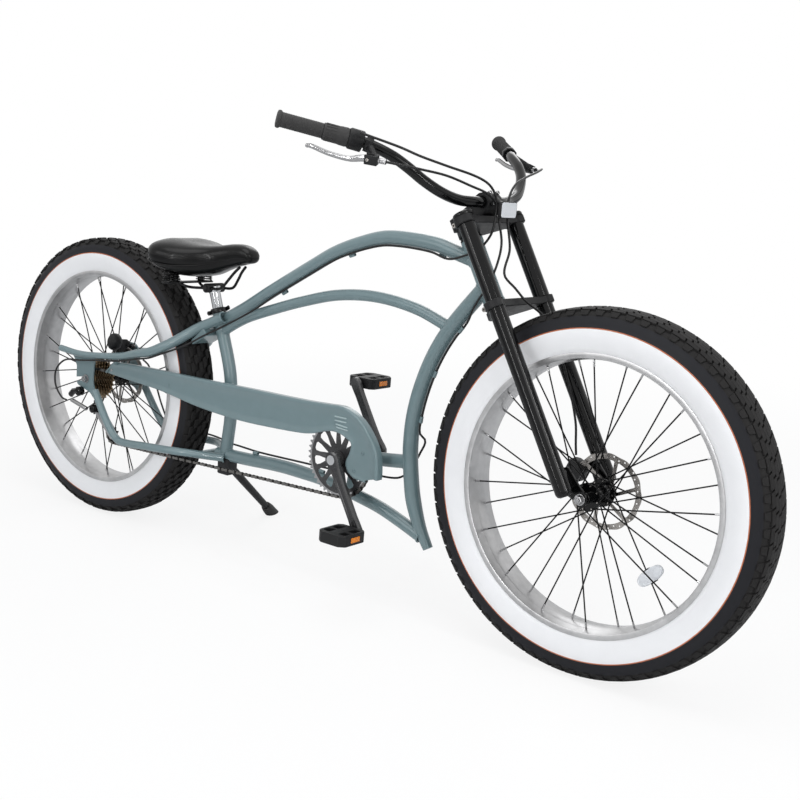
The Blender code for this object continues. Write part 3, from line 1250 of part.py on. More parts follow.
def build_cranks(finish):
    outer = CRANK_INNER_FACE + CRANK_THICKNESS
    for side, name in ((-1, "right"), (1, "left")):
        tip = crank_tip(side)
        along = (tip - BRACKET).normalized()
        frame = Matrix((along, along.cross(ACROSS), ACROSS * side)).transposed().to_4x4()
        frame.translation = BRACKET + ACROSS * side * CRANK_INNER_FACE
        boss = circle(CRANK_BOSS_RADIUS, 7, (0, 0), math.radians(75), math.radians(285))
        eye = circle(CRANK_EYE_RADIUS, 6, (CRANK_LENGTH, 0), math.radians(-80), math.radians(80))
        outline = boss + [(0.045, -0.0130)] + eye + [(0.045, 0.0130)]
        holes = []
        if side > 0:
            holes = [circle(bore_radius(SPINDLE_RADIUS, 12), 12)]
        bm = bmesh.new()
        plate(bm, outline, CRANK_THICKNESS, frame, holes)
        crank = add_object("crank_" + name, bm, finish["crank_black"], "crank")
        bm = bmesh.new()
        rod(bm, tip + ACROSS * side * (CRANK_INNER_FACE + 0.003), tip + ACROSS * side * (pedal_inner() + PEDAL_LENGTH
                                                                                  - 0.022), PEDAL_AXLE_RADIUS, 12)
        weld(crank, "pedal_axle_" + name, bm)
        if side < 0:
            bm = bmesh.new()
            rod(bm, BRACKET - ACROSS * (outer - 0.003), BRACKET + ACROSS * (outer - 0.003), SPINDLE_RADIUS, 12)
            weld(crank, "spindle", bm)
            bm = bmesh.new()
            low = CHAIN_LINE + CHAINRING_THICKNESS / 2 + GAP
            rod(bm, BRACKET - ACROSS * low, BRACKET - ACROSS * (CRANK_INNER_FACE + 0.003), 0.0175, 12)
            weld(crank, "crank_boss", bm)
        build_pedal(side, name, finish)


def pedal_inner():
    return CRANK_INNER_FACE + CRANK_THICKNESS + PEDAL_STANDOFF


def build_pedal(side, name, finish):
    """Platform pedal: a cage with two windows, its barrel and axle, and reflectors on both long edges."""
    tip = crank_tip(side)
    inner = pedal_inner()
    outer = inner + PEDAL_LENGTH
    bm = bmesh.new()
    half_depth = PEDAL_DEPTH / 2
    cage = [(-half_depth, inner + 0.010), (-half_depth + 0.010, inner), (half_depth - 0.010, inner),
            (half_depth, inner + 0.010), (half_depth, outer - 0.012), (half_depth - 0.014, outer),
            (-half_depth + 0.014, outer), (-half_depth, outer - 0.012)]
    windows = []
    for ahead in (-1, 1):
        near, far = 0.0125, half_depth - 0.0085
        window = [(ahead * near, inner + 0.012), (ahead * far, inner + 0.014), (ahead * far, outer - 0.017),
                  (ahead * near, outer - 0.0135)]
        windows.append(window)
    frame = Matrix(((1, 0, 0, tip.x), (0, side, 0, 0), (0, 0, 1, tip.z - PEDAL_HEIGHT / 2), (0, 0, 0, 1)))
    plate(bm, cage, PEDAL_HEIGHT, frame, windows)
    pedal = add_object("pedal_" + name, bm, finish["black_matte"], "pedal_" + name)
    bm = bmesh.new()
    bore = bore_radius(PEDAL_AXLE_RADIUS, 10)
    revolve(bm, [(0, inner - 0.01), (bore, inner - 0.01), (bore, outer - 0.0210), (0, outer - 0.0210)],
            tip, ACROSS * side + UPWARD * 0.0001, 10)
    combine(pedal, "cut_pedal_bore_" + name, bm)


def belt_tangent(centre_a, radius_a, centre_b, radius_b):
    """Straight run between two wheels. A radius is positive where the belt turns clockwise."""
    between = centre_b - centre_a
    slope = math.atan2(between.y, between.x) + math.asin((radius_b - radius_a) / between.length)
    right = Vector((math.sin(slope), -math.cos(slope)))
    return centre_a - right * radius_a, centre_b - right * radius_b


def chain_wheels():
    """Centre, signed pitch radius and teeth of each wheel in the order in which the chain meets them."""
    wheels = [(REAR_AXLE, SPROCKET_TEETH[0], 1), (BRACKET, CHAINRING_TEETH, 1), (TENSION_PULLEY, PULLEY_TEETH, 1),
              (GUIDE_PULLEY, PULLEY_TEETH, -1)]
    return [(Vector((c.x, c.z)), sense * teeth * CHAIN_PITCH / (2 * math.pi), teeth) for c, teeth, sense in wheels]


def chain_pins():
    """The chain's pins as one closed list of (point, wheel that the link after it wraps or None)."""
    wheels = chain_wheels()
    tangents = [belt_tangent(*wheels[i][:2], *wheels[(i + 1) % 4][:2]) for i in range(4)]
    wraps = []
    for i, (centre, radius, teeth) in enumerate(wheels):
        enter, leave = tangents[i - 1][1] - centre, tangents[i][0] - centre
        first = math.atan2(enter.y, enter.x)
        sense = -1 if radius > 0 else 1
        turn = ((math.atan2(leave.y, leave.x) - first) * sense) % (2 * math.pi)
        count = round(turn * teeth / (2 * math.pi))
        wraps.append([centre + Vector((math.cos(first + sense * 2 * math.pi * k / teeth),
                                       math.sin(first + sense * 2 * math.pi * k / teeth))) * abs(radius)
                      for k in range(count + 1)])
    pins = []
    for i, wrap in enumerate(wraps):
        pins += [(p, i) for p in wrap[:-1]]
        start, end = wrap[-1], wraps[(i + 1) % 4][0]
        count = round((end - start).length / CHAIN_PITCH)
        pins += [(start.lerp(end, k / count), None) for k in range(count)]
    return pins


def teeth_reach(start, end):
    """Whether the teeth of any wheel come within a link between these two pins."""
    along = (end - start).normalized()
    up = Vector((-along.y, along.x)) * LINK_HEIGHT / 2
    corners = [p + sign * up for p in (start, (start + end) / 2, end) for sign in (-1, 0, 1)]
    for centre, radius, teeth in chain_wheels():
        if min((p - centre).length for p in corners) < abs(radius) + TOOTH_RISE + END_GAP:
            return True
    return False


def draw_chain(bm, points):
    """One chain body: two rails of side plates where teeth pass between them, solid links elsewhere."""
    last = len(points) - 1
    opens = [teeth_reach(a, b) for a, b in zip(points, points[1:])]
    rings = []
    for i, point in enumerate(points):
        along = (points[min(i + 1, last)] - points[max(i - 1, 0)]).normalized()
        up = Vector((-along.y, along.x)) * LINK_HEIGHT / 2
        half = LINK_OUTER_HALF_WIDTH if i % 2 else LINK_INNER_HALF_WIDTH
        across = (-half, half)
        if any(opens[max(i - 1, 0):i + 1]):
            across = (-half, -LINK_HALF_GAP, LINK_HALF_GAP, half)
        rings.append([[bm.verts.new((spot.x, -CHAIN_LINE + y, spot.y)) for y in across]
                      for spot in (point + up, point - up)])
    for i, is_open in enumerate(opens):
        draw_link(bm, rings[i], rings[i + 1], is_open)
    for i, (top, low) in enumerate(rings):
        if i in (0, last):
            for left, right in ((0, 1), (2, 3)) if len(top) == 4 else ((0, 1),):
                bm.faces.new((top[left], top[right], low[right], low[left]))
        elif opens[i - 1] != opens[i]:
            bm.faces.new((top[1], top[2], low[2], low[1]))


def draw_link(bm, ring_a, ring_b, is_open):
    (top_a, low_a), (top_b, low_b) = ring_a, ring_b
    if is_open:
        for left, right in ((0, 1), (2, 3)):
            bridge(bm, [top_a[left], top_a[right], low_a[right], low_a[left]],
                   [top_b[left], top_b[right], low_b[right], low_b[left]])
        return
    for end in (0, -1):
        bm.faces.new((top_a[end], top_b[end], low_b[end], low_a[end]))
    for near, far in ((top_a, top_b), (low_a, low_b)):
        if len(near) < len(far):
            near, far = far, near
        if len(near) == len(far):
            for k in range(len(near) - 1):
                bm.faces.new((near[k], near[k + 1], far[k + 1], far[k]))
            continue
        bm.faces.new((near[0], near[1], far[0]))
        bm.faces.new((near[1], near[2], far[1], far[0]))
        bm.faces.new((near[2], near[3], far[1]))


def build_chain(finish):
    """Upper run with its wraps, and the slack run through the derailleur, a little apart at both joints."""
    pins = chain_pins()
    points = [p for p, wheel in pins]
    split = max(i for i, (p, wheel) in enumerate(pins) if wheel == 1) + 1
    bm = bmesh.new()
    draw_chain(bm, points[:split + 1])
    add_object("chain", bm, finish["dark_steel"], "frame")
    slack = points[split:] + points[:1]
    slack[0] = slack[0] + (slack[1] - slack[0]).normalized() * CHAIN_JOINT_GAP
    slack[-1] = slack[-1] + (slack[-2] - slack[-1]).normalized() * CHAIN_JOINT_GAP
    bm = bmesh.new()
    draw_chain(bm, slack)
    add_object("chain_lower_run", bm, finish["dark_steel"], "frame")


# Rear derailleur
PULLEY_BOLT_RADIUS = 0.0030
CAGE_PLATE = 0.0018
CAGE_HALF_GAP = 0.0044
HANGER_BOLT = REAR_AXLE + Vector((-0.0170, -0.0860, -0.0360))
KNUCKLE = GUIDE_PULLEY + Vector((0.0, -(CAGE_HALF_GAP + CAGE_PLATE + GAP + 0.0075), 0.0))


def build_derailleur(finish):
    """Mount on the hanger, two links across to the knuckle, and the cage with its pulleys."""
    black = finish["black_gloss"]
    right_face = REAR_DROPOUT_INNER + REAR_DROPOUT_THICKNESS
    bm = bmesh.new()
    revolve(bm, [(0, right_face + GAP), (0.0125, right_face + GAP), (0.0125, right_face + 0.0140),
                 (0.0080, right_face + 0.0180), (0, right_face + 0.0180)],
            Vector((HANGER_BOLT.x, 0.0, HANGER_BOLT.z)), -ACROSS, 12)
    mount = add_object("derailleur_mount", bm, black, "frame")
    bm = bmesh.new()
    start = Vector((HANGER_BOLT.x - 0.0060, -(right_face + 0.0090), HANGER_BOLT.z))
    line = [start, start + Vector((-0.018, 0.0, -0.004)), start + Vector((-0.030, 0.0, -0.016))]
    sweep(bm, with_radius([tuple(p) for p in line], 0.0070, 0.0085), 8)
    weld(mount, "mount_arm", bm)

    link_start = line[-1] + Vector((0.0050, 0.0, -0.0130))
    link_end = Vector((KNUCKLE.x - 0.0137, link_start.y, KNUCKLE.z - 0.001))
    bm = bmesh.new()
    sweep(bm, with_radius([tuple(link_start), tuple(link_end)], 0.0062, 0.0060), 8)
    add_object("derailleur_links", bm, finish["silver"], "derailleur_link")

    bm = bmesh.new()
    rod(bm, KNUCKLE - ACROSS * 0.0075, KNUCKLE + ACROSS * 0.0075, 0.0110, 12)
    add_object("derailleur_knuckle", bm, black, "derailleur_shift")

    for name, centre in (("guide_pulley", GUIDE_PULLEY), ("tension_pulley", TENSION_PULLEY)):
        bm = bmesh.new()
        plate(bm, toothed_outline(PULLEY_TEETH), PULLEY_THICKNESS,
              side_frame(centre.y + PULLEY_THICKNESS / 2, centre), [circle(bore_radius(PULLEY_BOLT_RADIUS, 8), 8)])
        add_object(name, bm, finish["black_matte"], name)

    along = Vector((TENSION_PULLEY.x - GUIDE_PULLEY.x, TENSION_PULLEY.z - GUIDE_PULLEY.z))
    reach = along.length
    turn = math.atan2(along.y, along.x)
    outline = circle(0.0130, 6, (0, 0), turn + math.radians(100), turn + math.radians(260))
    outline += circle(0.0125, 6, (along.x, along.y), turn - math.radians(80), turn + math.radians(80))
    bm = bmesh.new()
    plate(bm, outline, CAGE_PLATE, side_frame(GUIDE_PULLEY.y - CAGE_HALF_GAP, GUIDE_PULLEY))
    cage = add_object("derailleur_cage", bm, black, "derailleur_cage")
    bm = bmesh.new()
    for centre in (GUIDE_PULLEY, TENSION_PULLEY):
        rod(bm, centre - ACROSS * (CAGE_HALF_GAP + 0.001), centre + ACROSS * (CAGE_HALF_GAP + 0.001),
            PULLEY_BOLT_RADIUS, 8)
    weld(cage, "cage_bolts", bm)
    bm = bmesh.new()
    plate(bm, outline, CAGE_PLATE, side_frame(GUIDE_PULLEY.y + CAGE_HALF_GAP + CAGE_PLATE, GUIDE_PULLEY))
    weld(cage, "cage_inner_plate", bm)


# Chain guard
GUARD_TOP = [(-0.678, 0.4020), (-0.650, 0.4340), (-0.600, 0.4375), (-0.465, 0.4415), (-0.319, 0.4435),
             (-0.149, 0.4465), (0.011, 0.4485), (0.141, 0.4545), (0.174, 0.4445), (0.204, 0.4255), (0.230, 0.3965),
             (0.248, 0.3665), (0.253, 0.3335), (0.254, 0.3065)]
GUARD_UNDER = [(0.220, 0.2945), (0.179, 0.2995), (0.159, 0.3225), (0.168, 0.3505), (0.172, 0.3735), (0.136, 0.3915),
               (0.106, 0.3915), (0.056, 0.3765), (0.017, 0.3705), (-0.077, 0.3655), (-0.176, 0.3635),
               (-0.315, 0.3705), (-0.462, 0.3885), (-0.578, 0.3955)]
GUARD_FACE = 0.0725
GUARD_THICKNESS = 0.0020
GUARD_REAR_DEPTH = 0.0140
GUARD_FRONT_DEPTH = 0.0200


def build_chain_guard(finish):
    """Long side plate with an inward lip along its upper and front edge."""
    bm = bmesh.new()
    plate(bm, GUARD_TOP + GUARD_UNDER, GUARD_THICKNESS, side_frame(-(GUARD_FACE - GUARD_THICKNESS)))
    guard = add_object("chain_guard", bm, finish["frame_paint"], "frame")

    bm = bmesh.new()
    rings = []
    for i, (x, z) in list(enumerate(GUARD_TOP))[1:]:
        before = Vector(GUARD_TOP[max(i - 1, 0)])
        after = Vector(GUARD_TOP[min(i + 1, len(GUARD_TOP) - 1)])
        along = (after - before).normalized()
        inward = Vector((along.y, -along.x))
        depth = GUARD_REAR_DEPTH if x < -0.2 else GUARD_FRONT_DEPTH
        outer = Vector((x, z)) - inward * 0.0006
        inner = Vector((x, z)) + inward * GUARD_THICKNESS
        rings.append([Vector((outer.x, -(GUARD_FACE - 0.0004), outer.y)),
                      Vector((outer.x, -(GUARD_FACE - depth), outer.y)),
                      Vector((inner.x, -(GUARD_FACE - depth), inner.y)),
                      Vector((inner.x, -(GUARD_FACE - 0.0004), inner.y))])
    loft(bm, rings)
    weld(guard, "guard_lip", bm)
    bm = bmesh.new()
    block(bm, (-0.640, -0.0792, 0.4280), (-0.626, -(GUARD_FACE - GUARD_THICKNESS * 0.5), 0.4600))
    weld(guard, "guard_tab", bm)


# Saddle and post
SADDLE_SECTIONS = [
    # x, half width, top, underside
    (-0.2200, 0.0100, 0.7500, 0.7410), (-0.2240, 0.0190, 0.7610, 0.7350), (-0.2400, 0.0260, 0.7720, 0.7310),
    (-0.2620, 0.0290, 0.7760, 0.7290), (-0.2900, 0.0330, 0.7745, 0.7220), (-0.3200, 0.0420, 0.7700, 0.7110),
    (-0.3500, 0.0600, 0.7665, 0.6990), (-0.3800, 0.0840, 0.7660, 0.6900), (-0.4100, 0.1040, 0.7690, 0.6850),
    (-0.4400, 0.1160, 0.7735, 0.6840), (-0.4650, SADDLE_HALF_WIDTH, 0.7750, 0.6870),
    (-0.4850, 0.1080, 0.7720, 0.6960), (-0.4960, 0.0880, 0.7650, 0.7080), (-0.5000, 0.0520, 0.7540, 0.7220)]


def saddle_ring(x, half, top, under):
    """Section across the saddle: crowned top, full sides that draw in to a flat underside."""
    points = []
    middle = under + 0.55 * (top - under)
    for k in range(18):
        angle = 2 * math.pi * (k + 0.5) / 18
        c, s = math.cos(angle), math.sin(angle)
        width = half * math.copysign(abs(c) ** 0.75, c)
        if s > 0:
            z = middle + (top - middle) * s ** 0.8
        else:
            width *= 1.0 - 0.22 * abs(s)
            z = middle + (under - middle) * abs(s) ** 0.55
        points.append(Vector((x, width, z)))
    return points


def build_seat(finish):
    bm = bmesh.new()
    loft(bm, [saddle_ring(*section) for section in SADDLE_SECTIONS])
    saddle = add_object("saddle", bm, finish["saddle_vinyl"], "seat")
    add_post(finish)
    return saddle


def rail_line(side, clamp):
    """Rail from under the saddle's nose, through the clamp, to under its rear."""
    return [(-0.2600, 0.010 * side, 0.7220), (-0.2760, 0.013 * side, 0.7060), (-0.2900, 0.017 * side, 0.6880),
            (-0.3120, 0.021 * side, clamp.z + 0.004), (clamp.x, 0.022 * side, clamp.z),
            (-0.4200, 0.026 * side, clamp.z - 0.004), (-0.4450, 0.034 * side, 0.6640), (-0.4560, 0.042 * side, 0.6760)]


def add_post(finish):
    """Post with the saddle's clamp and the two rails that it grips."""
    bm = bmesh.new()
    top = POST_EXPOSED + 0.014
    revolve(bm, [(0, -POST_INSERTION), (POST_RADIUS, -POST_INSERTION), (POST_RADIUS, POST_EXPOSED),
                 (0.0165, POST_EXPOSED + 0.004), (0.0165, top), (0, top)], SEAT_TUBE_TOP, SEAT_TUBE_UP, 12)
    post = add_object("seatpost", bm, finish["chrome"], "seat")
    clamp = SEAT_TUBE_TOP + SEAT_TUBE_UP * (POST_EXPOSED + 0.012)
    bm = bmesh.new()
    rod(bm, clamp - ACROSS * 0.0340, clamp + ACROSS * 0.0340, 0.0100, 8)
    weld(post, "saddle_clamp", bm)
    for side, name in ((-1, "right"), (1, "left")):
        bm = bmesh.new()
        line = [(p[0], p[1], p[2]) for p in rail_line(side, clamp)]
        sweep(bm, with_radius(spread(line, 8), RAIL_RADIUS), 5)
        weld(post, "rail_" + name, bm)


# Stand
def build_stand(finish, lean):
    ground = Vector((0.0, -math.sin(lean), math.cos(lean)))
    foot = STAND_PIVOT + STAND_DOWN * STAND_LENGTH
    boot_start = foot - STAND_DOWN * STAND_FOOT_LENGTH
    bm = bmesh.new()
    head = STAND_HEAD_RADIUS
    revolve(bm, [(0, -head), (0.7 * head, -0.7 * head), (head, 0), (STAND_RADIUS, head),
                 (STAND_RADIUS * 0.8, STAND_LENGTH - STAND_FOOT_LENGTH + 0.010),
                 (0, STAND_LENGTH - STAND_FOOT_LENGTH + 0.010)], STAND_PIVOT, STAND_DOWN, 10)
    leg = add_object("kickstand_leg", bm, finish["black_matte"], "kickstand")
    bm = bmesh.new()
    frame = axes_at(boot_start, STAND_DOWN)
    rings = []
    for radius, distance in ((STAND_RADIUS, 0.0), (STAND_FOOT_RADIUS, 0.3), (STAND_FOOT_RADIUS, 1.0)):
        rings.append([frame @ Vector((radius * math.cos(a), radius * math.sin(a), distance * STAND_FOOT_LENGTH))
                      for a in (2 * math.pi * k / 10 for k in range(10))])
    # The sole is cut level with the ground on which the leaned bicycle stands.
    rings[-1] = [p - STAND_DOWN * ((p - foot).dot(ground) / STAND_DOWN.dot(ground)) for p in rings[-1]]
    loft(bm, rings)
    weld(leg, "stand_foot", bm)


# Reflector at the rear
def build_rear_reflector(finish):
    centre = Vector((-0.645, -0.073, 0.4890))
    bm = bmesh.new()
    backward = Vector((-1.0, 0.0, 0.0))
    revolve(bm, [(0, 0.0), (0.0225, 0.0), (0.0225, -0.006), (0.0150, -0.016), (0, -0.020)], centre, backward, 16)
    reflector = add_object("rear_reflector", bm, finish["black_matte"], "frame")
    bm = bmesh.new()
    start = centre + Vector((0.0110, 0.0, -0.0090))
    clamp = Vector((-0.6280, -STAY_SPREAD, 0.4555))
    sweep(bm, with_radius([tuple(start), tuple(start + Vector((0.0, 0.0, -0.005))),
                           tuple(clamp + Vector((0.004, 0.0, 0.0122)))], 0.0045, 0.0028), 6)
    weld(reflector, "reflector_bracket", bm)


# Cables
def cable(bm, points, count, sides=CABLE_SIDES):
    sweep(bm, spread(with_radius(points, CABLE_RADIUS), count), sides)


SHIFT_CABLE_FRONT = [
    (0.3180, -0.2940, 1.0400), (0.3500, -0.2760, 1.0300), (0.3800, -0.2450, 1.0180), (0.4000, -0.2080, 1.0050),
    (0.4250, -0.1490, 0.9900), (0.4480, -0.0790, 0.9740), (0.4590, -0.0440, 0.9580), (0.4645, -0.0240, 0.9300),
    (0.4640, -0.0225, 0.8950), (0.4600, -0.0270, 0.8620), (0.4400, -0.0340, 0.8320), (0.4000, -0.0320, 0.8130),
    (0.3550, -0.0200, 0.8030)]
SHIFT_CABLE_MIDDLE = [(-0.2000, -0.0240, 0.6230), (-0.2900, -0.0360, 0.5720), (-0.3400, -0.0460, 0.5450),
                      (-0.3860, -0.0640, 0.5150)]
SHIFT_CABLE_REAR = [
    (-0.7500, -0.1010, 0.4260), (-0.8100, -0.1020, 0.4180), (-0.8480, -0.1020, 0.3860), (-0.8500, -0.1020, 0.3450),
    (-0.8250, -0.1000, 0.3130), (-0.8060, -0.0980, 0.3080)]
REAR_BRAKE_CABLE_FRONT = [
    (0.3960, -0.2700, 0.9810), (0.4120, -0.2150, 0.9800), (0.4270, -0.1530, 0.9720), (0.4420, -0.0900, 0.9560),
    (0.4560, -0.0400, 0.9400), (0.4600, -0.0130, 0.9150), (0.4660, -0.0110, 0.8900), (0.4740, -0.0060, 0.8450),
    (0.4760, -0.0200, 0.8000), (0.4660, -0.0300, 0.7600), (0.4440, -0.0285, 0.7250), (0.4250, -0.0150, 0.7030)]
REAR_BRAKE_CABLE_REAR = [
    (0.3120, 0.0175, 0.3980), (0.2960, 0.0240, 0.3660), (0.2800, 0.0226, 0.3330), (0.2600, 0.0226, 0.3080),
    (0.2360, 0.0220, 0.2960), (0.1700, 0.0240, 0.2890), (0.0800, 0.0200, 0.2790),
    (-0.0640, 0.0100, 0.2765), (-0.1790, 0.0100, 0.2735), (-0.2300, 0.0210, 0.2710), (-0.2700, 0.0310, 0.2690),
    (-0.3300, 0.0530, 0.2630), (-0.3900, 0.0800, 0.2600), (-0.4500, 0.0900, 0.2590), (-0.5600, 0.0920, 0.2500),
    (-0.6000, 0.0940, 0.2570), (-0.6400, 0.0990, 0.3020), (-0.6700, 0.0990, 0.3600), (-0.6980, 0.0960, 0.4060),
    (-0.7100, 0.0860, 0.4200)]
FRONT_BRAKE_CABLE = [
    (0.3700, 0.3020, 0.9930), (0.4050, 0.2350, 1.0000), (0.4250, 0.1820, 0.9920), (0.4380, 0.1200, 0.9800),
    (0.4520, 0.0600, 0.9640), (0.4620, 0.0240, 0.9360), (0.4640, 0.0230, 0.8950), (0.4860, 0.0080, 0.8350),
    (0.5000, -0.0250, 0.7860), (0.5270, -0.0200, 0.7600), (0.5470, -0.0050, 0.7350), (0.5560, 0.0250, 0.7180),
    (0.5680, 0.0580, 0.6930), (0.5900, 0.0625, 0.6500), (0.6220, 0.0640, 0.5800), (0.6500, 0.0640, 0.5000),
    (0.6560, 0.0660, 0.4500), (0.6570, 0.0700, 0.4300)]


def beside_tube(stations, low_x, high_x, toward, left):
    """Points on a cable clipped along a tube, on the side that faces toward, shifted to the left."""
    points = []
    for i in range(1, len(stations) - 1):
        station = stations[i]
        if not low_x < station[0] < high_x:
            continue
        along = (Vector(stations[i + 1][:3]) - Vector(stations[i - 1][:3])).normalized()
        normal = along.cross(ACROSS).normalized()
        if normal.dot(toward) < 0:
            normal = -normal
        reach = station[3] + CABLE_RADIUS + 6 * GAP
        points.append(tuple(Vector(station[:3]) + normal * math.sqrt(reach**2 - left**2) + ACROSS * left))
    return points


def build_cables(finish):
    tubes = tube_stations()
    under_top = beside_tube(tubes["top_tube"], -0.17, 0.34, -UPWARD, -0.011)[::-1]
    under_stay = beside_tube(upper_stay_stations(-1), -0.71, -0.44, -UPWARD, -0.006)
    front_of_down = beside_tube(tubes["down_tube"], 0.280, 0.420, Vector((1.0, 0.0, 0.3)), 0.0)
    front_of_down = [p for p in front_of_down if p[2] > 0.415]
    lines = {"shift_cable": (SHIFT_CABLE_FRONT + under_top + SHIFT_CABLE_MIDDLE + under_stay + SHIFT_CABLE_REAR, 48),
             "rear_brake_cable": (REAR_BRAKE_CABLE_FRONT + front_of_down + REAR_BRAKE_CABLE_REAR, 44),
             "front_brake_cable": (FRONT_BRAKE_CABLE, 24)}
    for name, (line, count) in lines.items():
        bm = bmesh.new()
        cable(bm, line, count)
        pivot = "steering" if name == "front_brake_cable" else "frame"
        add_object(name, bm, finish["cable_black"], pivot)


def lean_angle():
    """Lean at which the stand's sole and the tyres' left shoulders reach the same level."""
    foot = STAND_PIVOT + STAND_DOWN * STAND_LENGTH
    lean = math.atan2(foot.z, foot.y)
    for _ in range(4):
        level = min((WHEEL_RADIUS - radius - lug(0, i, across)) * math.cos(lean) - across * math.sin(lean)
                    for i, (radius, across) in enumerate(tyre_profile()))
        lean = math.atan2(foot.z, foot.y) - math.asin(level / math.hypot(foot.y, foot.z))
    return lean


def make_pivots():
    frame_root = bpy.data.objects.new("bicycle", None)
    bpy.context.scene.collection.objects.link(frame_root)
    PIVOT_FRAMES["frame"] = Matrix.Identity(4)
    PIVOT_EMPTIES["frame"] = frame_root
    add_pivot("steering", on_steering(HEAD_LOW), STEER_UP, "frame")
    add_pivot("front_wheel", FRONT_AXLE, ACROSS, "steering")
    add_pivot("rear_wheel", REAR_AXLE, ACROSS, "frame")
    add_pivot("freewheel", REAR_AXLE, ACROSS, "frame")
    add_pivot("crank", BRACKET, ACROSS, "frame")
    for side, name in ((-1, "right"), (1, "left")):
        add_pivot("pedal_" + name, crank_tip(side) + ACROSS * side * 0.14, ACROSS, "crank")
        pivot, along, pull, axis, length, clamp = lever_frame(side)
        add_pivot("lever_" + name, pivot, axis, "steering")
    middle = RIGHT_GRIP_LENGTH + END_GAP + TWIST_LENGTH / 2
    point, inward, forward, upward = place_on_bar(-1, middle)
    add_pivot("twist", point, inward, "steering")
    add_pivot("front_caliper_arm", caliper_arm_origin(FRONT_AXLE, FRONT_CALIPER_OUTER, FRONT_CALIPER_ANGLE), ACROSS,
              "steering")
    add_pivot("rear_caliper_arm", caliper_arm_origin(REAR_AXLE, REAR_CALIPER_OUTER, REAR_CALIPER_ANGLE), ACROSS,
              "frame")
    add_pivot("derailleur_link", HANGER_BOLT + Vector((-0.031, -0.004, -0.029)), Vector((0.2, 0.3, 0.93)), "frame")
    add_pivot("derailleur_shift", KNUCKLE, ACROSS, "frame")
    add_pivot("derailleur_cage", GUIDE_PULLEY, ACROSS, "derailleur_shift")
    add_pivot("guide_pulley", GUIDE_PULLEY, ACROSS, "derailleur_cage")
    add_pivot("tension_pulley", TENSION_PULLEY, ACROSS, "derailleur_cage")
    add_pivot("seat", SEAT_TUBE_TOP, SEAT_TUBE_UP, "frame")
    add_pivot("kickstand", STAND_PIVOT, STAND_DOWN.cross(STAND_FOLDED), "frame")


def settle(lean):
    """Lean the bicycle on to its stand and put the middle of its footprint at the origin."""
    root = PIVOT_EMPTIES["frame"]
    turn = Matrix.Rotation(-lean, 4, "X")
    low = Vector((math.inf,) * 3)
    high = Vector((-math.inf,) * 3)
    bpy.context.view_layer.update()
    for obj in bpy.data.objects:
        if obj.type != "MESH" or obj.hide_render:
            continue
        for vertex in obj.data.vertices:
            point = turn @ (obj.matrix_world @ vertex.co)
            low = Vector(map(min, low, point))
            high = Vector(map(max, high, point))
    root.matrix_basis = Matrix.Translation((-(low.x + high.x) / 2, -(low.y + high.y) / 2, -low.z)) @ turn
    bpy.context.view_layer.update()


def main():
    clear_scene()
    finish = make_finishes()
    lean = lean_angle()
    make_pivots()
    build_frame(finish)
    build_seat_collar(finish)
    build_wheels(finish)
    build_fork(finish)
    build_handlebar(finish)
    build_brakes(finish)
    build_freewheel(finish)
    build_chainring(finish)
    build_cranks(finish)
    build_chain(finish)
    build_derailleur(finish)
    build_chain_guard(finish)
    build_seat(finish)
    build_stand(finish, lean)
    build_rear_reflector(finish)
    build_cables(finish)
    settle(lean)


main()
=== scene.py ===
"""Looks of a stretch cruiser bicycle with wide white-wall tyres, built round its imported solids.

Every piece is drawn in the upright bicycle's frame (+X forward, +Y left, +Z up, metres, midway between
the wheels on the ground) and then leaned on to its stand by one matrix, as the solids are.
"""

import enum
import logging
import math
from dataclasses import dataclass
from typing import Callable, Iterable, Sequence

import bmesh
import bpy
from mathutils import Matrix, Vector, noise
from mathutils.geometry import tessellate_polygon


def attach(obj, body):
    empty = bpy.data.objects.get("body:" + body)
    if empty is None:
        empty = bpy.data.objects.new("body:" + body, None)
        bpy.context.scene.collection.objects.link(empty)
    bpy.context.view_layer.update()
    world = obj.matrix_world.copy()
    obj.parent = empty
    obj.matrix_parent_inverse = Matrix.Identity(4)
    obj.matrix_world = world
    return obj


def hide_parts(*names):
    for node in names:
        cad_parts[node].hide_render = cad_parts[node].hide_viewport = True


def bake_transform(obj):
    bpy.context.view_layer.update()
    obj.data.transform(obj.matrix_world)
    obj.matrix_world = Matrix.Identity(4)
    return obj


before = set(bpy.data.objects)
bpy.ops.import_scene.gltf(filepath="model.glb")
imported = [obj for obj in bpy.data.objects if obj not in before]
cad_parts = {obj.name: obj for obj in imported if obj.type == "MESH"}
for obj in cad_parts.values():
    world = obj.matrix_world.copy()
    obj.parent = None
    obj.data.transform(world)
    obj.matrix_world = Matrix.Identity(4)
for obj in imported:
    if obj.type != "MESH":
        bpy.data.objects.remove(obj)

log = logging.getLogger("bicycle")

Station = Sequence[float]
Line = tuple[tuple[float, ...], ...]
Outline = list[tuple[float, float]]
Drawing = bmesh.types.BMesh


def mm(*points: Station) -> Line:
    """Points written in millimetres, in metres."""
    return tuple(tuple(v / 1000 for v in point) for point in points)


# The lean on to the stand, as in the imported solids
LEAN_COS = 0.9937624931335449
LEAN_SIN = 0.11151720583438873
LEANED = Matrix(((1, 0, 0, 0), (0, LEAN_COS, LEAN_SIN, -0.11701902747154236),
                 (0, -LEAN_SIN, LEAN_COS, 0.0011572851799428463), (0, 0, 0, 1)))

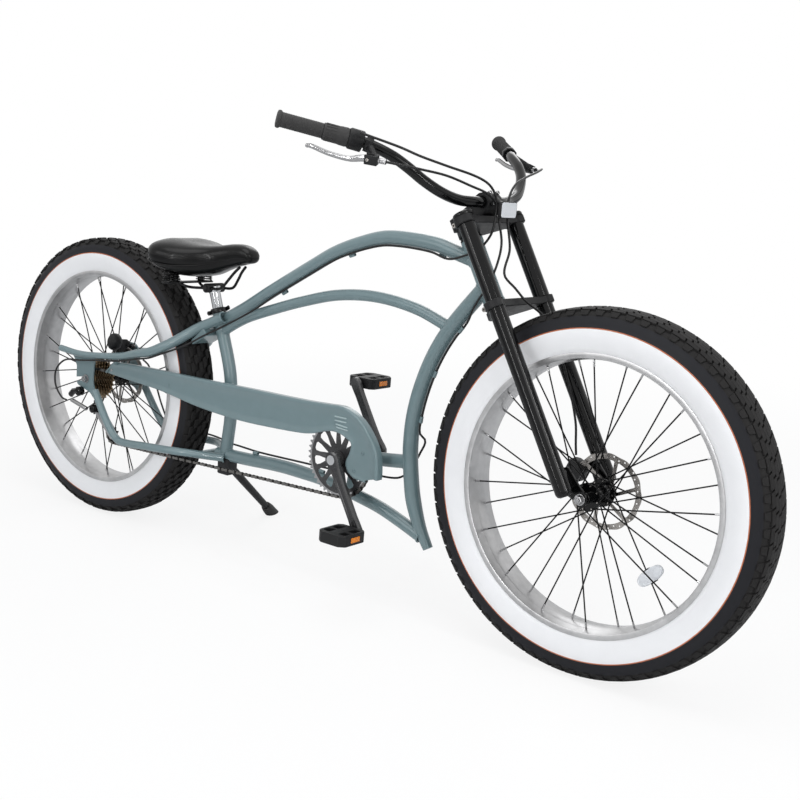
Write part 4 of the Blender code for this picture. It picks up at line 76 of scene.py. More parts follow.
# Places in the upright frame
ACROSS = Vector((0.0, 1.0, 0.0))
UPWARD = Vector((0.0, 0.0, 1.0))
WHEEL_RADIUS = 0.375
FRONT_AXLE = Vector((0.7458, 0.0, WHEEL_RADIUS))
REAR_AXLE = Vector((-0.7458, 0.0, WHEEL_RADIUS))
BRACKET = Vector((0.1349, 0.0, 0.3325))
HEAD_ANGLE = math.radians(60.0)
STEER_UP = Vector((-math.cos(HEAD_ANGLE), 0.0, math.sin(HEAD_ANGLE)))
STEER_AHEAD = Vector((math.sin(HEAD_ANGLE), 0.0, math.cos(HEAD_ANGLE)))
FORK_RAKE = 0.0669
STEER_FOOT = FRONT_AXLE - STEER_AHEAD * FORK_RAKE
SPOKE_COUNT = 32
CHAIN_PITCH = 0.0127
CHAIN_LINE = 0.063
RING_TEETH, PULLEY_TEETH = 44, 11
SPROCKET_TEETH = (14, 16, 18, 20, 22, 24, 28)
GUIDE_PULLEY = REAR_AXLE + Vector((0.0298, -CHAIN_LINE, -0.078))
TENSION_PULLEY = REAR_AXLE + Vector((0.0958, -CHAIN_LINE, -0.1385))
SEAT_TUBE_TOP = Vector((-0.3385, 0.0, 0.612))
SEAT_TUBE_UP = Vector((-math.cos(math.radians(70.2)), 0.0, math.sin(math.radians(70.2))))


# Node trees and finishes
def node(tree: bpy.types.NodeTree, kind: str, inputs: dict[str | int, object] | None = None,
         **settings: object) -> bpy.types.Node:
    """Add a node to a tree.

    Args:
        tree: The tree.
        kind: The node's type.
        inputs: For an input's name or number, the socket that feeds it or its value.
        settings: The node's own settings.

    Returns:
        The node.
    """
    made = tree.nodes.new(kind)
    for name, value in settings.items():
        setattr(made, name, value)
    for key, value in (inputs or {}).items():
        if isinstance(value, bpy.types.NodeSocket):
            tree.links.new(value, made.inputs[key])
        else:
            made.inputs[key].default_value = value
    return made


class Grain(enum.Enum):
    """How a finish's small relief and colour change over the surface."""

    FINE = "fine"
    BRUSHED = "brushed"
    LEATHER = "leather"
    CLOUDED = "clouded"


@dataclass(frozen=True)
class Finish:
    """One finish: its colour, its gloss, and the grain that breaks both up.

    Sizes are in metres; spread is how far the darkest and lightest spots depart from the colour.
    """

    name: str
    colour: tuple[float, float, float]
    roughness: float
    metallic: float = 0.0
    coat: float = 0.0
    grain: Grain = Grain.FINE
    grain_size: float = 0.0012
    relief: float = 0.05
    spread: float = 0.08
    scuff: float = 0.08
    # Colour of the sharp edges: rubbed wear with a painted edge highlight
    edge_wear_and_highlight: tuple[float, float, float] | None = None
    clear: float = 0.0
    specular: float = 0.5
    slot: str | None = None
    coat_roughness: float = 0.06
    cloud_size: float = 28.0
    fine_share: float = 0.35

    def material(self) -> bpy.types.Material:
        """Make this finish's node material, or hand back the one made before.

        Returns:
            The material, whose patterns read Object coordinates.
        """
        found = bpy.data.materials.get(self.name)
        if found:
            return found
        made = bpy.data.materials.new(self.name)
        made.use_nodes = True
        made.diffuse_color = (*self.colour, 1.0)
        tree = made.node_tree
        shader = tree.nodes["Principled BSDF"]
        for label, value in (("Metallic", self.metallic), ("Coat Weight", self.coat),
                             ("Coat Roughness", self.coat_roughness), ("Transmission Weight", self.clear),
                             ("Specular IOR Level", self.specular)):
            shader.inputs[label].default_value = value
        place = tree.nodes.new("ShaderNodeTexCoord").outputs["Object"]
        broad = self._noise(tree, place, 1.0 / (self.grain_size * self.cloud_size), 3.0)
        fine = self._pattern(tree, place)
        rough = node(tree, "ShaderNodeMapRange", {
            "Value": broad, "To Min": max(0.02, self.roughness - self.scuff),
            "To Max": min(1.0, self.roughness + self.scuff)})
        bump = node(tree, "ShaderNodeBump", {
            "Strength": self.relief, "Distance": self.grain_size * 0.5, "Height": fine})
        tree.links.new(self._paint(tree, broad, fine), shader.inputs["Base Color"])
        tree.links.new(rough.outputs["Result"], shader.inputs["Roughness"])
        tree.links.new(bump.outputs["Normal"], shader.inputs["Normal"])
        return made

    def _paint(self, tree: bpy.types.NodeTree, broad: bpy.types.NodeSocket,
               fine: bpy.types.NodeSocket) -> bpy.types.NodeSocket:
        """Vary the colour with the grain and, where an edge colour is given, lighten the sharp edges:
        rubbed wear with a painted edge highlight.

        Args:
            tree: The material's tree.
            broad: Slow noise.
            fine: The grain's own pattern.

        Returns:
            The colour.
        """
        scaled = node(tree, "ShaderNodeMath", {0: broad, 1: 1.0 - self.fine_share}, operation="MULTIPLY")
        mix = node(tree, "ShaderNodeMath", {0: fine, 1: self.fine_share, 2: scaled.outputs[0]},
                   operation="MULTIPLY_ADD")
        ramp = node(tree, "ShaderNodeValToRGB", {"Fac": mix.outputs[0]})
        stops = ((0.25, 1.0 - self.spread), (0.75, 1.0 + self.spread))
        for element, (position, factor) in zip(ramp.color_ramp.elements, stops):
            element.position = position
            element.color = (*(min(1.0, c * factor) for c in self.colour), 1.0)
        if not self.edge_wear_and_highlight:
            return ramp.outputs["Color"]
        # Sharp edges lightened towards the edge colour: rubbed wear with a painted edge highlight
        geometry = tree.nodes.new("ShaderNodeNewGeometry")
        edge = node(tree, "ShaderNodeMapRange", {
            "Value": geometry.outputs["Pointiness"], "From Min": 0.53, "From Max": 0.6, "To Max": 0.7})
        worn_and_highlit_edges = node(tree, "ShaderNodeMix", {
            "Factor": edge.outputs["Result"], "A": ramp.outputs["Color"], "B": (*self.edge_wear_and_highlight, 1.0)},
            data_type="RGBA")
        return worn_and_highlit_edges.outputs["Result"]

    @staticmethod
    def _noise(tree: bpy.types.NodeTree, place: bpy.types.NodeSocket, scale: float,
               detail: float) -> bpy.types.NodeSocket:
        """Noise of a given scale; returns its value socket."""
        return node(
            tree, "ShaderNodeTexNoise", {"Vector": place, "Scale": scale, "Detail": detail}).outputs["Fac"]

    def _pattern(self, tree: bpy.types.NodeTree, place: bpy.types.NodeSocket) -> bpy.types.NodeSocket:
        """The grain's own pattern.

        Args:
            tree: The material's tree.
            place: Object coordinates.

        Returns:
            A socket from 0 to 1.
        """
        scale = 1.0 / self.grain_size
        if self.grain is Grain.LEATHER:
            cells = node(tree, "ShaderNodeTexVoronoi", {"Vector": place, "Scale": scale},
                         feature="DISTANCE_TO_EDGE")
            raised = node(tree, "ShaderNodeMapRange", {
                "Value": cells.outputs["Distance"], "From Max": 0.25})
            return raised.outputs["Result"]
        if self.grain is Grain.BRUSHED:
            drawn_out = node(tree, "ShaderNodeMapping", {"Vector": place, "Scale": (0.15, 1.0, 0.15)})
            return self._noise(tree, drawn_out.outputs["Vector"], scale, 4.0)
        if self.grain is Grain.CLOUDED:
            return self._noise(tree, place, scale * 0.2, 5.0)
        return self._noise(tree, place, scale, 2.0)


PAINT = Finish("frame_paint_gloss", (0.14, 0.205, 0.22), 0.3, coat=0.4, grain_size=0.0009, relief=0.02,
               spread=0.05, scuff=0.05, specular=0.4, slot="frame_paint")
PAINT_LINE = Finish("paint_line_pale", (0.33, 0.42, 0.43), 0.34, coat=0.3, grain_size=0.0009, relief=0.02,
                    spread=0.08, slot="frame_paint")
GLOSS_BLACK = Finish("gloss_black_enamel", (0.0026, 0.0027, 0.003), 0.13, coat=0.14, grain_size=0.0008,
                     relief=0.02, spread=0.25, scuff=0.05, specular=0.18, slot="black_gloss")
# Edges lighter than the body: rubbed wear with a painted edge highlight
MATTE_BLACK = Finish("matte_black_casting", (0.007, 0.0072, 0.0078), 0.46, grain_size=0.0006, relief=0.14,
                     spread=0.22, scuff=0.1, edge_wear_and_highlight=(0.026, 0.026, 0.027), specular=0.18, slot="black_matte")
TYRE_BLACK = Finish("tyre_tread_rubber", (0.0088, 0.0083, 0.0083), 0.68, grain=Grain.CLOUDED,
                    grain_size=0.0014, relief=0.35, spread=0.3, scuff=0.12, specular=0.22, slot="rubber")
TYRE_WALL = Finish("tyre_wall_rubber", (0.0075, 0.0078, 0.0105), 0.55, grain_size=0.001, relief=0.12,
                   spread=0.16, scuff=0.08, specular=0.22, slot="rubber")
WHITE_WALL = Finish("white_wall_rubber", (0.82, 0.825, 0.84), 0.48, grain_size=0.0014, relief=0.08,
                    spread=0.025, scuff=0.07, specular=0.2, slot="rubber")
WALL_EDGE = Finish("white_wall_edge_line", (0.45, 0.13, 0.05), 0.55, grain_size=0.0008, relief=0.1,
                   spread=0.18, slot="rubber")
GRIP_RUBBER = Finish("grip_rubber_ribbed", (0.029, 0.0285, 0.0285), 0.58, grain_size=0.0005, relief=0.3,
                     spread=0.2, scuff=0.1, specular=0.3, slot="grip_rubber")
VINYL = Finish(
    "saddle_vinyl_grained", (0.0024, 0.0024, 0.0025), 0.22, grain=Grain.LEATHER, grain_size=0.0017,
    relief=0.1, spread=0.15, scuff=0.05, coat=0.1, specular=0.16, slot="saddle_vinyl")
ALLOY = Finish("rim_alloy_brushed", (0.43, 0.43, 0.435), 0.34, metallic=1.0, grain=Grain.CLOUDED,
               grain_size=0.003, relief=0.04, spread=0.24, scuff=0.1, slot="silver")
POLISHED = Finish("lever_alloy_polished", (0.33, 0.33, 0.335), 0.18, metallic=1.0, grain_size=0.0006,
                  relief=0.04, spread=0.12, scuff=0.07, slot="silver")
CHROME = Finish("chrome_plate", (0.5, 0.51, 0.52), 0.1, metallic=1.0, grain_size=0.001, relief=0.01,
                spread=0.06, scuff=0.04, slot="chrome")
STEEL = Finish("rotor_steel_ground", (0.3, 0.285, 0.27), 0.32, metallic=1.0, grain=Grain.BRUSHED,
               grain_size=0.0008, relief=0.08, spread=0.16, scuff=0.1, slot="steel")
DARK_STEEL = Finish("chain_steel_oiled", (0.022, 0.02, 0.019), 0.4, metallic=1.0, grain_size=0.0008,
                    relief=0.08, spread=0.45, scuff=0.12, slot="dark_steel")
# Outer chain plates, much lighter than the inner links' steel: a painted highlight along the chain
CHAIN_PLATE_PAINTED_HIGHLIGHT = Finish("chain_plates_dark", (0.15, 0.145, 0.138), 0.3, metallic=1.0, grain_size=0.0008,
                     relief=0.06, spread=0.35, scuff=0.12, slot="dark_steel")
SPROCKET_STEEL = Finish(
    "sprocket_steel_oiled", (0.3, 0.235, 0.16), 0.3, metallic=1.0, grain_size=0.0008, relief=0.08,
    spread=0.35, scuff=0.12, slot="dark_steel")
# Edges much lighter than the body: rubbed wear with a painted edge highlight
CRANK_BLACK = Finish(
    "crank_black_anodised", (0.034, 0.034, 0.036), 0.28, metallic=0.55, coat=0.2, grain_size=0.0008,
    relief=0.03, spread=0.18, scuff=0.07, edge_wear_and_highlight=(0.12, 0.12, 0.12), specular=0.5, slot="crank_black")
CABLE_BLACK = Finish("cable_sheath", (0.0065, 0.0065, 0.007), 0.4, grain_size=0.0006, relief=0.06,
                     spread=0.18, specular=0.3, slot="cable_black")
LENS_CLEAR = Finish("reflector_lens_clear", (0.86, 0.89, 0.93), 0.16, clear=0.15, grain=Grain.LEATHER,
                    grain_size=0.0026, relief=0.45, spread=0.05, slot="reflector_clear")
LENS_AMBER = Finish("reflector_lens_amber", (0.8, 0.23, 0.01), 0.2, grain=Grain.LEATHER, grain_size=0.0022,
                    relief=0.45, spread=0.12, slot="black_matte")
LENS_RED = Finish("reflector_lens_red", (0.42, 0.01, 0.009), 0.18, grain=Grain.LEATHER, grain_size=0.0024,
                  relief=0.45, spread=0.12, slot="black_matte")
SPOKE_BLACK = Finish("spoke_black", (0.003, 0.003, 0.0032), 0.34, grain_size=0.0006, relief=0.03,
                     spread=0.18, specular=0.12, slot="black_gloss")


# Lines and outlines
def spread(points: Sequence[Station], count: int) -> list[list[float]]:
    """Evenly spaced points on one smooth curve through the given ones.

    Args:
        points: (x, y, z) with any further numbers, such as a radius, which are carried along.
        count: How many points to return.

    Returns:
        The points, each as long as the given ones.
    """
    size = len(points[0])
    knots = [0.0]
    for a, b in zip(points, points[1:]):
        knots.append(knots[-1] + math.dist(a[:3], b[:3]))
    last = len(points) - 1
    slopes = []
    for i in range(last + 1):
        low, high = max(i - 1, 0), min(i + 1, last)
        reach = knots[high] - knots[low]
        slopes.append([(points[high][k] - points[low][k]) / reach for k in range(size)])
    fine = []
    for i in range(last):
        reach = knots[i + 1] - knots[i]
        for step in range(24):
            t = step / 24
            blend = (2 * t**3 - 3 * t**2 + 1, t**3 - 2 * t**2 + t, 3 * t**2 - 2 * t**3, t**3 - t**2)
            fine.append([blend[0] * points[i][k] + blend[1] * reach * slopes[i][k] + blend[2]
                         * points[i + 1][k] + blend[3] * reach * slopes[i + 1][k] for k in range(size)])
    fine.append(list(points[-1]))
    return walk(fine, count)


def lengths_of(line: Sequence[Station]) -> list[float]:
    """Distance of each point of a line from its start.

    Args:
        line: The points.

    Returns:
        The distances.
    """
    lengths = [0.0]
    for a, b in zip(line, line[1:]):
        lengths.append(lengths[-1] + math.dist(a[:3], b[:3]))
    return lengths


def point_at(line: Sequence[Station], lengths: list[float], distance: float) -> list[float]:
    """Point at a distance along a line of points.

    Args:
        line: The points.
        lengths: Their distances from the start.
        distance: The distance that is asked for.

    Returns:
        The point, with any further numbers.
    """
    i = 0
    while i < len(line) - 2 and lengths[i + 1] < distance:
        i += 1
    t = (distance - lengths[i]) / (lengths[i + 1] - lengths[i])
    return [a + (b - a) * t for a, b in zip(line[i], line[i + 1])]


def walk(line: Sequence[Station], count: int) -> list[list[float]]:
    """Points at even distances along a line of points."""
    lengths = lengths_of(line)
    return [point_at(line, lengths, lengths[-1] * i / (count - 1)) for i in range(count)]


def stretch(line: Sequence[Station], start: float, end: float) -> list[list[float]]:
    """The part of a line between two distances from its start.

    Args:
        line: The points.
        start: Where it starts.
        end: Where it ends.

    Returns:
        The part's points.
    """
    lengths = lengths_of(line)
    middle = [list(p) for p, at in zip(line, lengths) if start + 1e-5 < at < end - 1e-5]
    return [point_at(line, lengths, start)] + middle + [point_at(line, lengths, end)]


def with_radius(points: Iterable[Station], *radii: float) -> list[tuple[float, ...]]:
    """The points with one or two radii after their three coordinates."""
    return [(*p[:3], *radii) for p in points]


def in_plane(points: Iterable[Station], y: float = 0.0) -> list[tuple[float, ...]]:
    """(x, z, more) in the plane of the wheels to (x, y, z, more)."""
    return [(p[0], y, p[1], *p[2:]) for p in points]


def mirrored(points: Iterable[Station], side: int) -> list[tuple[float, ...]]:
    """The points on one side of the bicycle; side is 1 for the left and -1 for the right."""
    return [(p[0], p[1] * side, *p[2:]) for p in points]


def polar(radius: float, angle: float) -> tuple[float, float]:
    """Point at a distance and an angle from the origin."""
    return radius * math.cos(angle), radius * math.sin(angle)


def arc(radius: float, count: int, centre: tuple[float, float] = (0.0, 0.0), start: float = 0.0,
        end: float = 360.0) -> Outline:
    """Points round a circle, or along an arc with both its ends; angles in degrees.

    Args:
        radius: Its radius.
        count: How many points.
        centre: The circle's middle.
        start: Angle of the first point.
        end: Angle of the last one.

    Returns:
        The points.
    """
    steps = count if abs(abs(end - start) - 360.0) < 1e-6 else count - 1
    angles = [math.radians(start + (end - start) * k / steps) for k in range(count)]
    return [(centre[0] + radius * math.cos(a), centre[1] + radius * math.sin(a)) for a in angles]


def rounded(corners: Outline, radius: float, steps: int = 4) -> Outline:
    """An outline with every corner rounded.

    Args:
        corners: The sharp outline.
        radius: How far from each corner the rounding starts, at most.
        steps: How many points stand for a corner.

    Returns:
        The rounded outline.
    """
    made = []
    count = len(corners)
    for i, corner in enumerate(corners):
        here = Vector(corner)
        before = Vector(corners[i - 1]) - here
        after = Vector(corners[(i + 1) % count]) - here
        cut = min(radius, before.length * 0.45, after.length * 0.45)
        a, b = here + before.normalized() * cut, here + after.normalized() * cut
        for k in range(steps):
            t = k / (steps - 1)
            made.append(tuple(a * (1 - t) ** 2 + here * 2 * t * (1 - t) + b * t**2))
    return made


def on_steering(height: float, ahead: float = 0.0, left: float = 0.0) -> Vector:
    """Point measured from the front axle's foot on the steering axis."""
    return STEER_FOOT + STEER_UP * height + STEER_AHEAD * ahead + ACROSS * left


# Frames for plates and turned pieces
def axes_at(origin: Vector, axis: Vector, side: Vector = ACROSS) -> Matrix:
    """Frame at origin whose Z runs along axis and whose X lies nearest to side.

    Args:
        origin: Its origin.
        axis: The axis' direction.
        side: Where X points, as near as may be.

    Returns:
        The frame.
    """
    z = Vector(axis).normalized()
    x = Vector(side) - z * Vector(side).dot(z)
    if x.length < 1e-6:
        x = Vector((1.0, 0.0, 0.0)) - z * z.x
    x.normalize()
    made = Matrix((x, z.cross(x), z)).transposed().to_4x4()
    made.translation = origin
    return made


def side_frame(y: float, centre: Vector = Vector((0.0, 0.0, 0.0))) -> Matrix:
    """Frame for plates seen from the side: X forward, Y up; its thickness grows to the right."""
    return Matrix(((1, 0, 0, centre.x), (0, 0, -1, y), (0, 1, 0, centre.z), (0, 0, 0, 1)))


def round_axle(angle: float) -> Vector:
    """Way out from an axle at an angle, in the wheels' plane."""
    return Vector((math.cos(angle), 0, math.sin(angle)))


def frame_of(x: Vector, y: Vector, z: Vector, origin: Vector) -> Matrix:
    """Frame of three axes at an origin.

    Args:
        x: First axis.
        y: Second axis.
        z: Third axis.
        origin: Its origin.

    Returns:
        The frame.
    """
    made = Matrix((x, y, z)).transposed().to_4x4()
    made.translation = origin
    return made


# Solids
def drawn(shape: Callable[..., None], *sizes: object, **more: object) -> Drawing:
    """A new drawing that holds one shape, such as a plate or a rod.

    Args:
        shape: The function that draws it.
        sizes: What it is called with.
        more: The same, by name.

    Returns:
        The drawing.
    """
    bm = bmesh.new()
    shape(bm, *sizes, **more)
    return bm


def sweep_rings(bm: Drawing, stations: Sequence[Station], sides: int, side_axis: Vector) -> list[list]:
    """Rings of a round or oval section at each station of a path.

    Args:
        bm: Where the vertices are made.
        stations: (x, y, z, radius) or (x, y, z, radius across, radius up).
        sides: Vertices in a ring.
        side_axis: Direction near which the section's first radius lies.

    Returns:
        The rings.
    """
    centres = [Vector(s[:3]) for s in stations]
    side = Vector(side_axis)
    rings = []
    for i, station in enumerate(stations):
        ahead = (centres[min(i + 1, len(centres) - 1)] - centres[max(i - 1, 0)]).normalized()
        side = (side - ahead * side.dot(ahead)).normalized()
        up = ahead.cross(side)
        across = station[3]
        height = station[4] if len(station) > 4 else across
        rings.append([bm.verts.new(centres[i] + side * across * math.cos(a) + up * height * math.sin(a))
                      for a in (2 * math.pi * (k + 0.5) / sides for k in range(sides))])
    return rings


def bridge(bm: Drawing, ring_a: list, ring_b: list) -> None:
    """Faces between two rings of the same count.

    Args:
        bm: Where it is drawn.
        ring_a: One ring.
        ring_b: The other.
    """
    count = len(ring_a)
    for k in range(count):
        bm.faces.new((ring_a[k], ring_a[(k + 1) % count], ring_b[(k + 1) % count], ring_b[k]))


def sweep(bm: Drawing, stations: Sequence[Station], sides: int = 28, side_axis: Vector = ACROSS) -> None:
    """Closed solid of round or oval section along a path.

    Args:
        bm: Where it is drawn.
        stations: Points with their radii.
        sides: Facets round it.
        side_axis: Direction near which the section's first radius lies.
    """
    rings = sweep_rings(bm, stations, sides, side_axis)
    for a, b in zip(rings, rings[1:]):
        bridge(bm, a, b)
    bm.faces.new(rings[0])
    bm.faces.new(rings[-1])


def sleeve(bm: Drawing, stations: Sequence[Station], outer: float, inner: float, sides: int = 28,
           side_axis: Vector = UPWARD) -> None:
    """Hollow sleeve around a bar.

    Args:
        bm: Where it is drawn.
        stations: Points with their radii.
        outer: Radius outside.
        inner: Radius of the bore.
        sides: Facets round it.
        side_axis: Direction near which the section's first radius lies.
    """
    outside = sweep_rings(bm, with_radius(stations, outer), sides, side_axis)
    inside = sweep_rings(bm, with_radius(stations, inner), sides, side_axis)
    for rings in (outside, inside):
        for a, b in zip(rings, rings[1:]):
            bridge(bm, a, b)
    bridge(bm, outside[0], inside[0])
    bridge(bm, outside[-1], inside[-1])


def revolve(bm: Drawing, profile: Sequence[tuple[float, float]], origin: Vector, axis: Vector,
            sides: int = 40, paint: Callable[[int], int] | None = None) -> None:
    """Turned solid.

    Args:
        bm: Where it is drawn.
        profile: (radius, height) pairs; it closes on the axis or on itself.
        origin: Point on the axis.
        axis: The axis' direction.
        sides: Facets round it.
        paint: Gives the material index of the faces after each profile point.
    """
    base = axes_at(origin, axis)
    rings = []
    for radius, height in profile:
        if radius < 1e-9:
            rings.append([bm.verts.new(base @ Vector((0.0, 0.0, height)))])
        else:
            rings.append([bm.verts.new(base @ Vector((radius * math.cos(a), radius * math.sin(a), height)))
                          for a in (2 * math.pi * k / sides for k in range(sides))])
    pairs = list(zip(rings, rings[1:]))
    if len(rings[0]) > 1:
        pairs.append((rings[-1], rings[0]))
    for i, (a, b) in enumerate(pairs):
        for k in range(sides):
            after = (k + 1) % sides
            corners = [a[k % len(a)], a[after % len(a)], b[after % len(b)], b[k % len(b)]]
            face = bm.faces.new(list(dict.fromkeys(corners)))
            if paint:
                face.material_index = paint(i)


def rod(bm: Drawing, start: Vector, end: Vector, radius: float, sides: int = 24,
        chamfer: float = 0.0) -> None:
    """Straight round bar, with chamfered ends where a chamfer is given.

    Args:
        bm: Where it is drawn.
        start: Where it starts.
        end: Where it ends.
        radius: Its radius.
        sides: Facets round it.
        chamfer: Width of the chamfers.
    """
    start, end = Vector(start), Vector(end)
    length = (end - start).length
    profile = [(0, 0), (radius - chamfer, 0), (radius, chamfer), (radius, length - chamfer),
               (radius - chamfer, length), (0, length)]
    if not chamfer:
        profile = [(0, 0), (radius, 0), (radius, length), (0, length)]
    revolve(bm, profile, start, end - start, sides)


def plate(bm: Drawing, outline: Outline, thickness: float, base: Matrix, holes: Sequence[Outline] = (),
          edge: float = 0.0) -> None:
    """Flat solid in a frame's XY plane, thick along its Z, with holes right through.

    Args:
        bm: Where it is drawn.
        outline: The outer edge.
        thickness: Along the frame's Z.
        base: The frame.
        holes: Outlines of the holes.
        edge: Width of the chamfer on the outer edge and round the holes.
    """
    loops = [list(outline)] + [list(h) for h in holes]
    levels = [0.0, thickness] if not edge else [0.0, edge, thickness - edge, thickness]
    layers = []
    for level in levels:
        inset = edge if edge and level in (0.0, thickness) else 0.0
        points = [p for i, loop in enumerate(loops) for p in inset_loop(loop, inset if i == 0 else -inset)]
        layers.append([bm.verts.new(base @ Vector((p[0], p[1], level))) for p in points])
    flat = [[Vector((p[0], p[1], 0.0)) for p in loop] for loop in loops]
    for a, b, c in tessellate_polygon(flat):
        bm.faces.new((layers[0][a], layers[0][b], layers[0][c]))
        bm.faces.new((layers[-1][a], layers[-1][b], layers[-1][c]))
    start = 0
    for loop in loops:
        for low, high in zip(layers, layers[1:]):
            bridge(bm, low[start:start + len(loop)], high[start:start + len(loop)])
        start += len(loop)


def inset_loop(loop: Outline, inset: float) -> Outline:
    """An outline moved inwards by a small distance, or outwards where it is negative.

    Args:
        loop: The outline.
        inset: The distance.

    Returns:
        The moved outline.
    """
    if not inset:
        return loop
    area = sum(a[0] * b[1] - b[0] * a[1] for a, b in zip(loop, loop[1:] + loop[:1]))
    turn = 1.0 if area > 0 else -1.0
    made = []
    for i, point in enumerate(loop):
        along = (Vector(loop[(i + 1) % len(loop)]) - Vector(loop[i - 1])).normalized()
        made.append((point[0] - along.y * inset * turn, point[1] + along.x * inset * turn))
    return made


def block(bm: Drawing, low: Station, high: Station, base: Matrix | None = None,
          edge: float = 0.0008) -> None:
    """Chamfered block between two corners of a frame.

    Args:
        bm: Where it is drawn.
        low: One corner.
        high: The corner across from it.
        base: The frame, if it isn't the bicycle's.
        edge: Width of the chamfers.
    """
    base = base or Matrix.Identity(4)
    corners = [(low[0], low[1]), (high[0], low[1]), (high[0], high[1]), (low[0], high[1])]
    plate(bm, rounded(corners, edge * 1.6, 3), high[2] - low[2],
          base @ Matrix.Translation((0.0, 0.0, low[2])), edge=edge)


def loft(bm: Drawing, rings: Sequence[Sequence[Vector]]) -> None:
    """Closed solid through rings of points.

    Args:
        bm: Where it is drawn.
        rings: The rings.
    """
    made = [[bm.verts.new(p) for p in ring] for ring in rings]
    for a, b in zip(made, made[1:]):
        bridge(bm, a, b)
    bm.faces.new(made[0])
    bm.faces.new(made[-1])


def ball(bm: Drawing, centre: Vector, radius: float, segments: int = 16) -> None:
    """Small ball.

    Args:
        bm: Where it is drawn.
        centre: Its middle.
        radius: Its radius.
        segments: Facets round it.
    """
    profile = [(radius * math.sin(math.pi * k / 8), -radius * math.cos(math.pi * k / 8)) for k in range(9)]
    profile = [(0.0 if r < 1e-6 else r, h) for r, h in profile]
    revolve(bm, profile, centre, UPWARD, segments)


def socket_bolt(bm: Drawing, seat: Vector, axis: Vector, radius: float, height: float) -> None:
    """Round-headed bolt with a six-sided socket, standing on seat along axis.

    Args:
        bm: Where it is drawn.
        seat: Where the head rests.
        axis: The axis' direction.
        radius: Its radius.
        height: The head's height.
    """
    base = axes_at(seat, axis)
    rim = 24
    edge = radius * 0.14
    angles = [math.tau * k / rim for k in range(rim)]
    rings = [[base @ Vector((*polar(r, a), z)) for a in angles]
             for r, z in ((radius, 0.0), (radius, height - edge), (radius - edge, height))]
    hexagon = []
    for a in angles:
        reach = radius * 0.5 * math.cos(math.pi / 6) / math.cos((a % (math.pi / 3)) - math.pi / 6)
        hexagon.append(polar(reach, a))
    rings.append([base @ Vector((x, y, height)) for x, y in hexagon])
    rings.append([base @ Vector((x, y, height * 0.45)) for x, y in hexagon])
    loft(bm, rings)


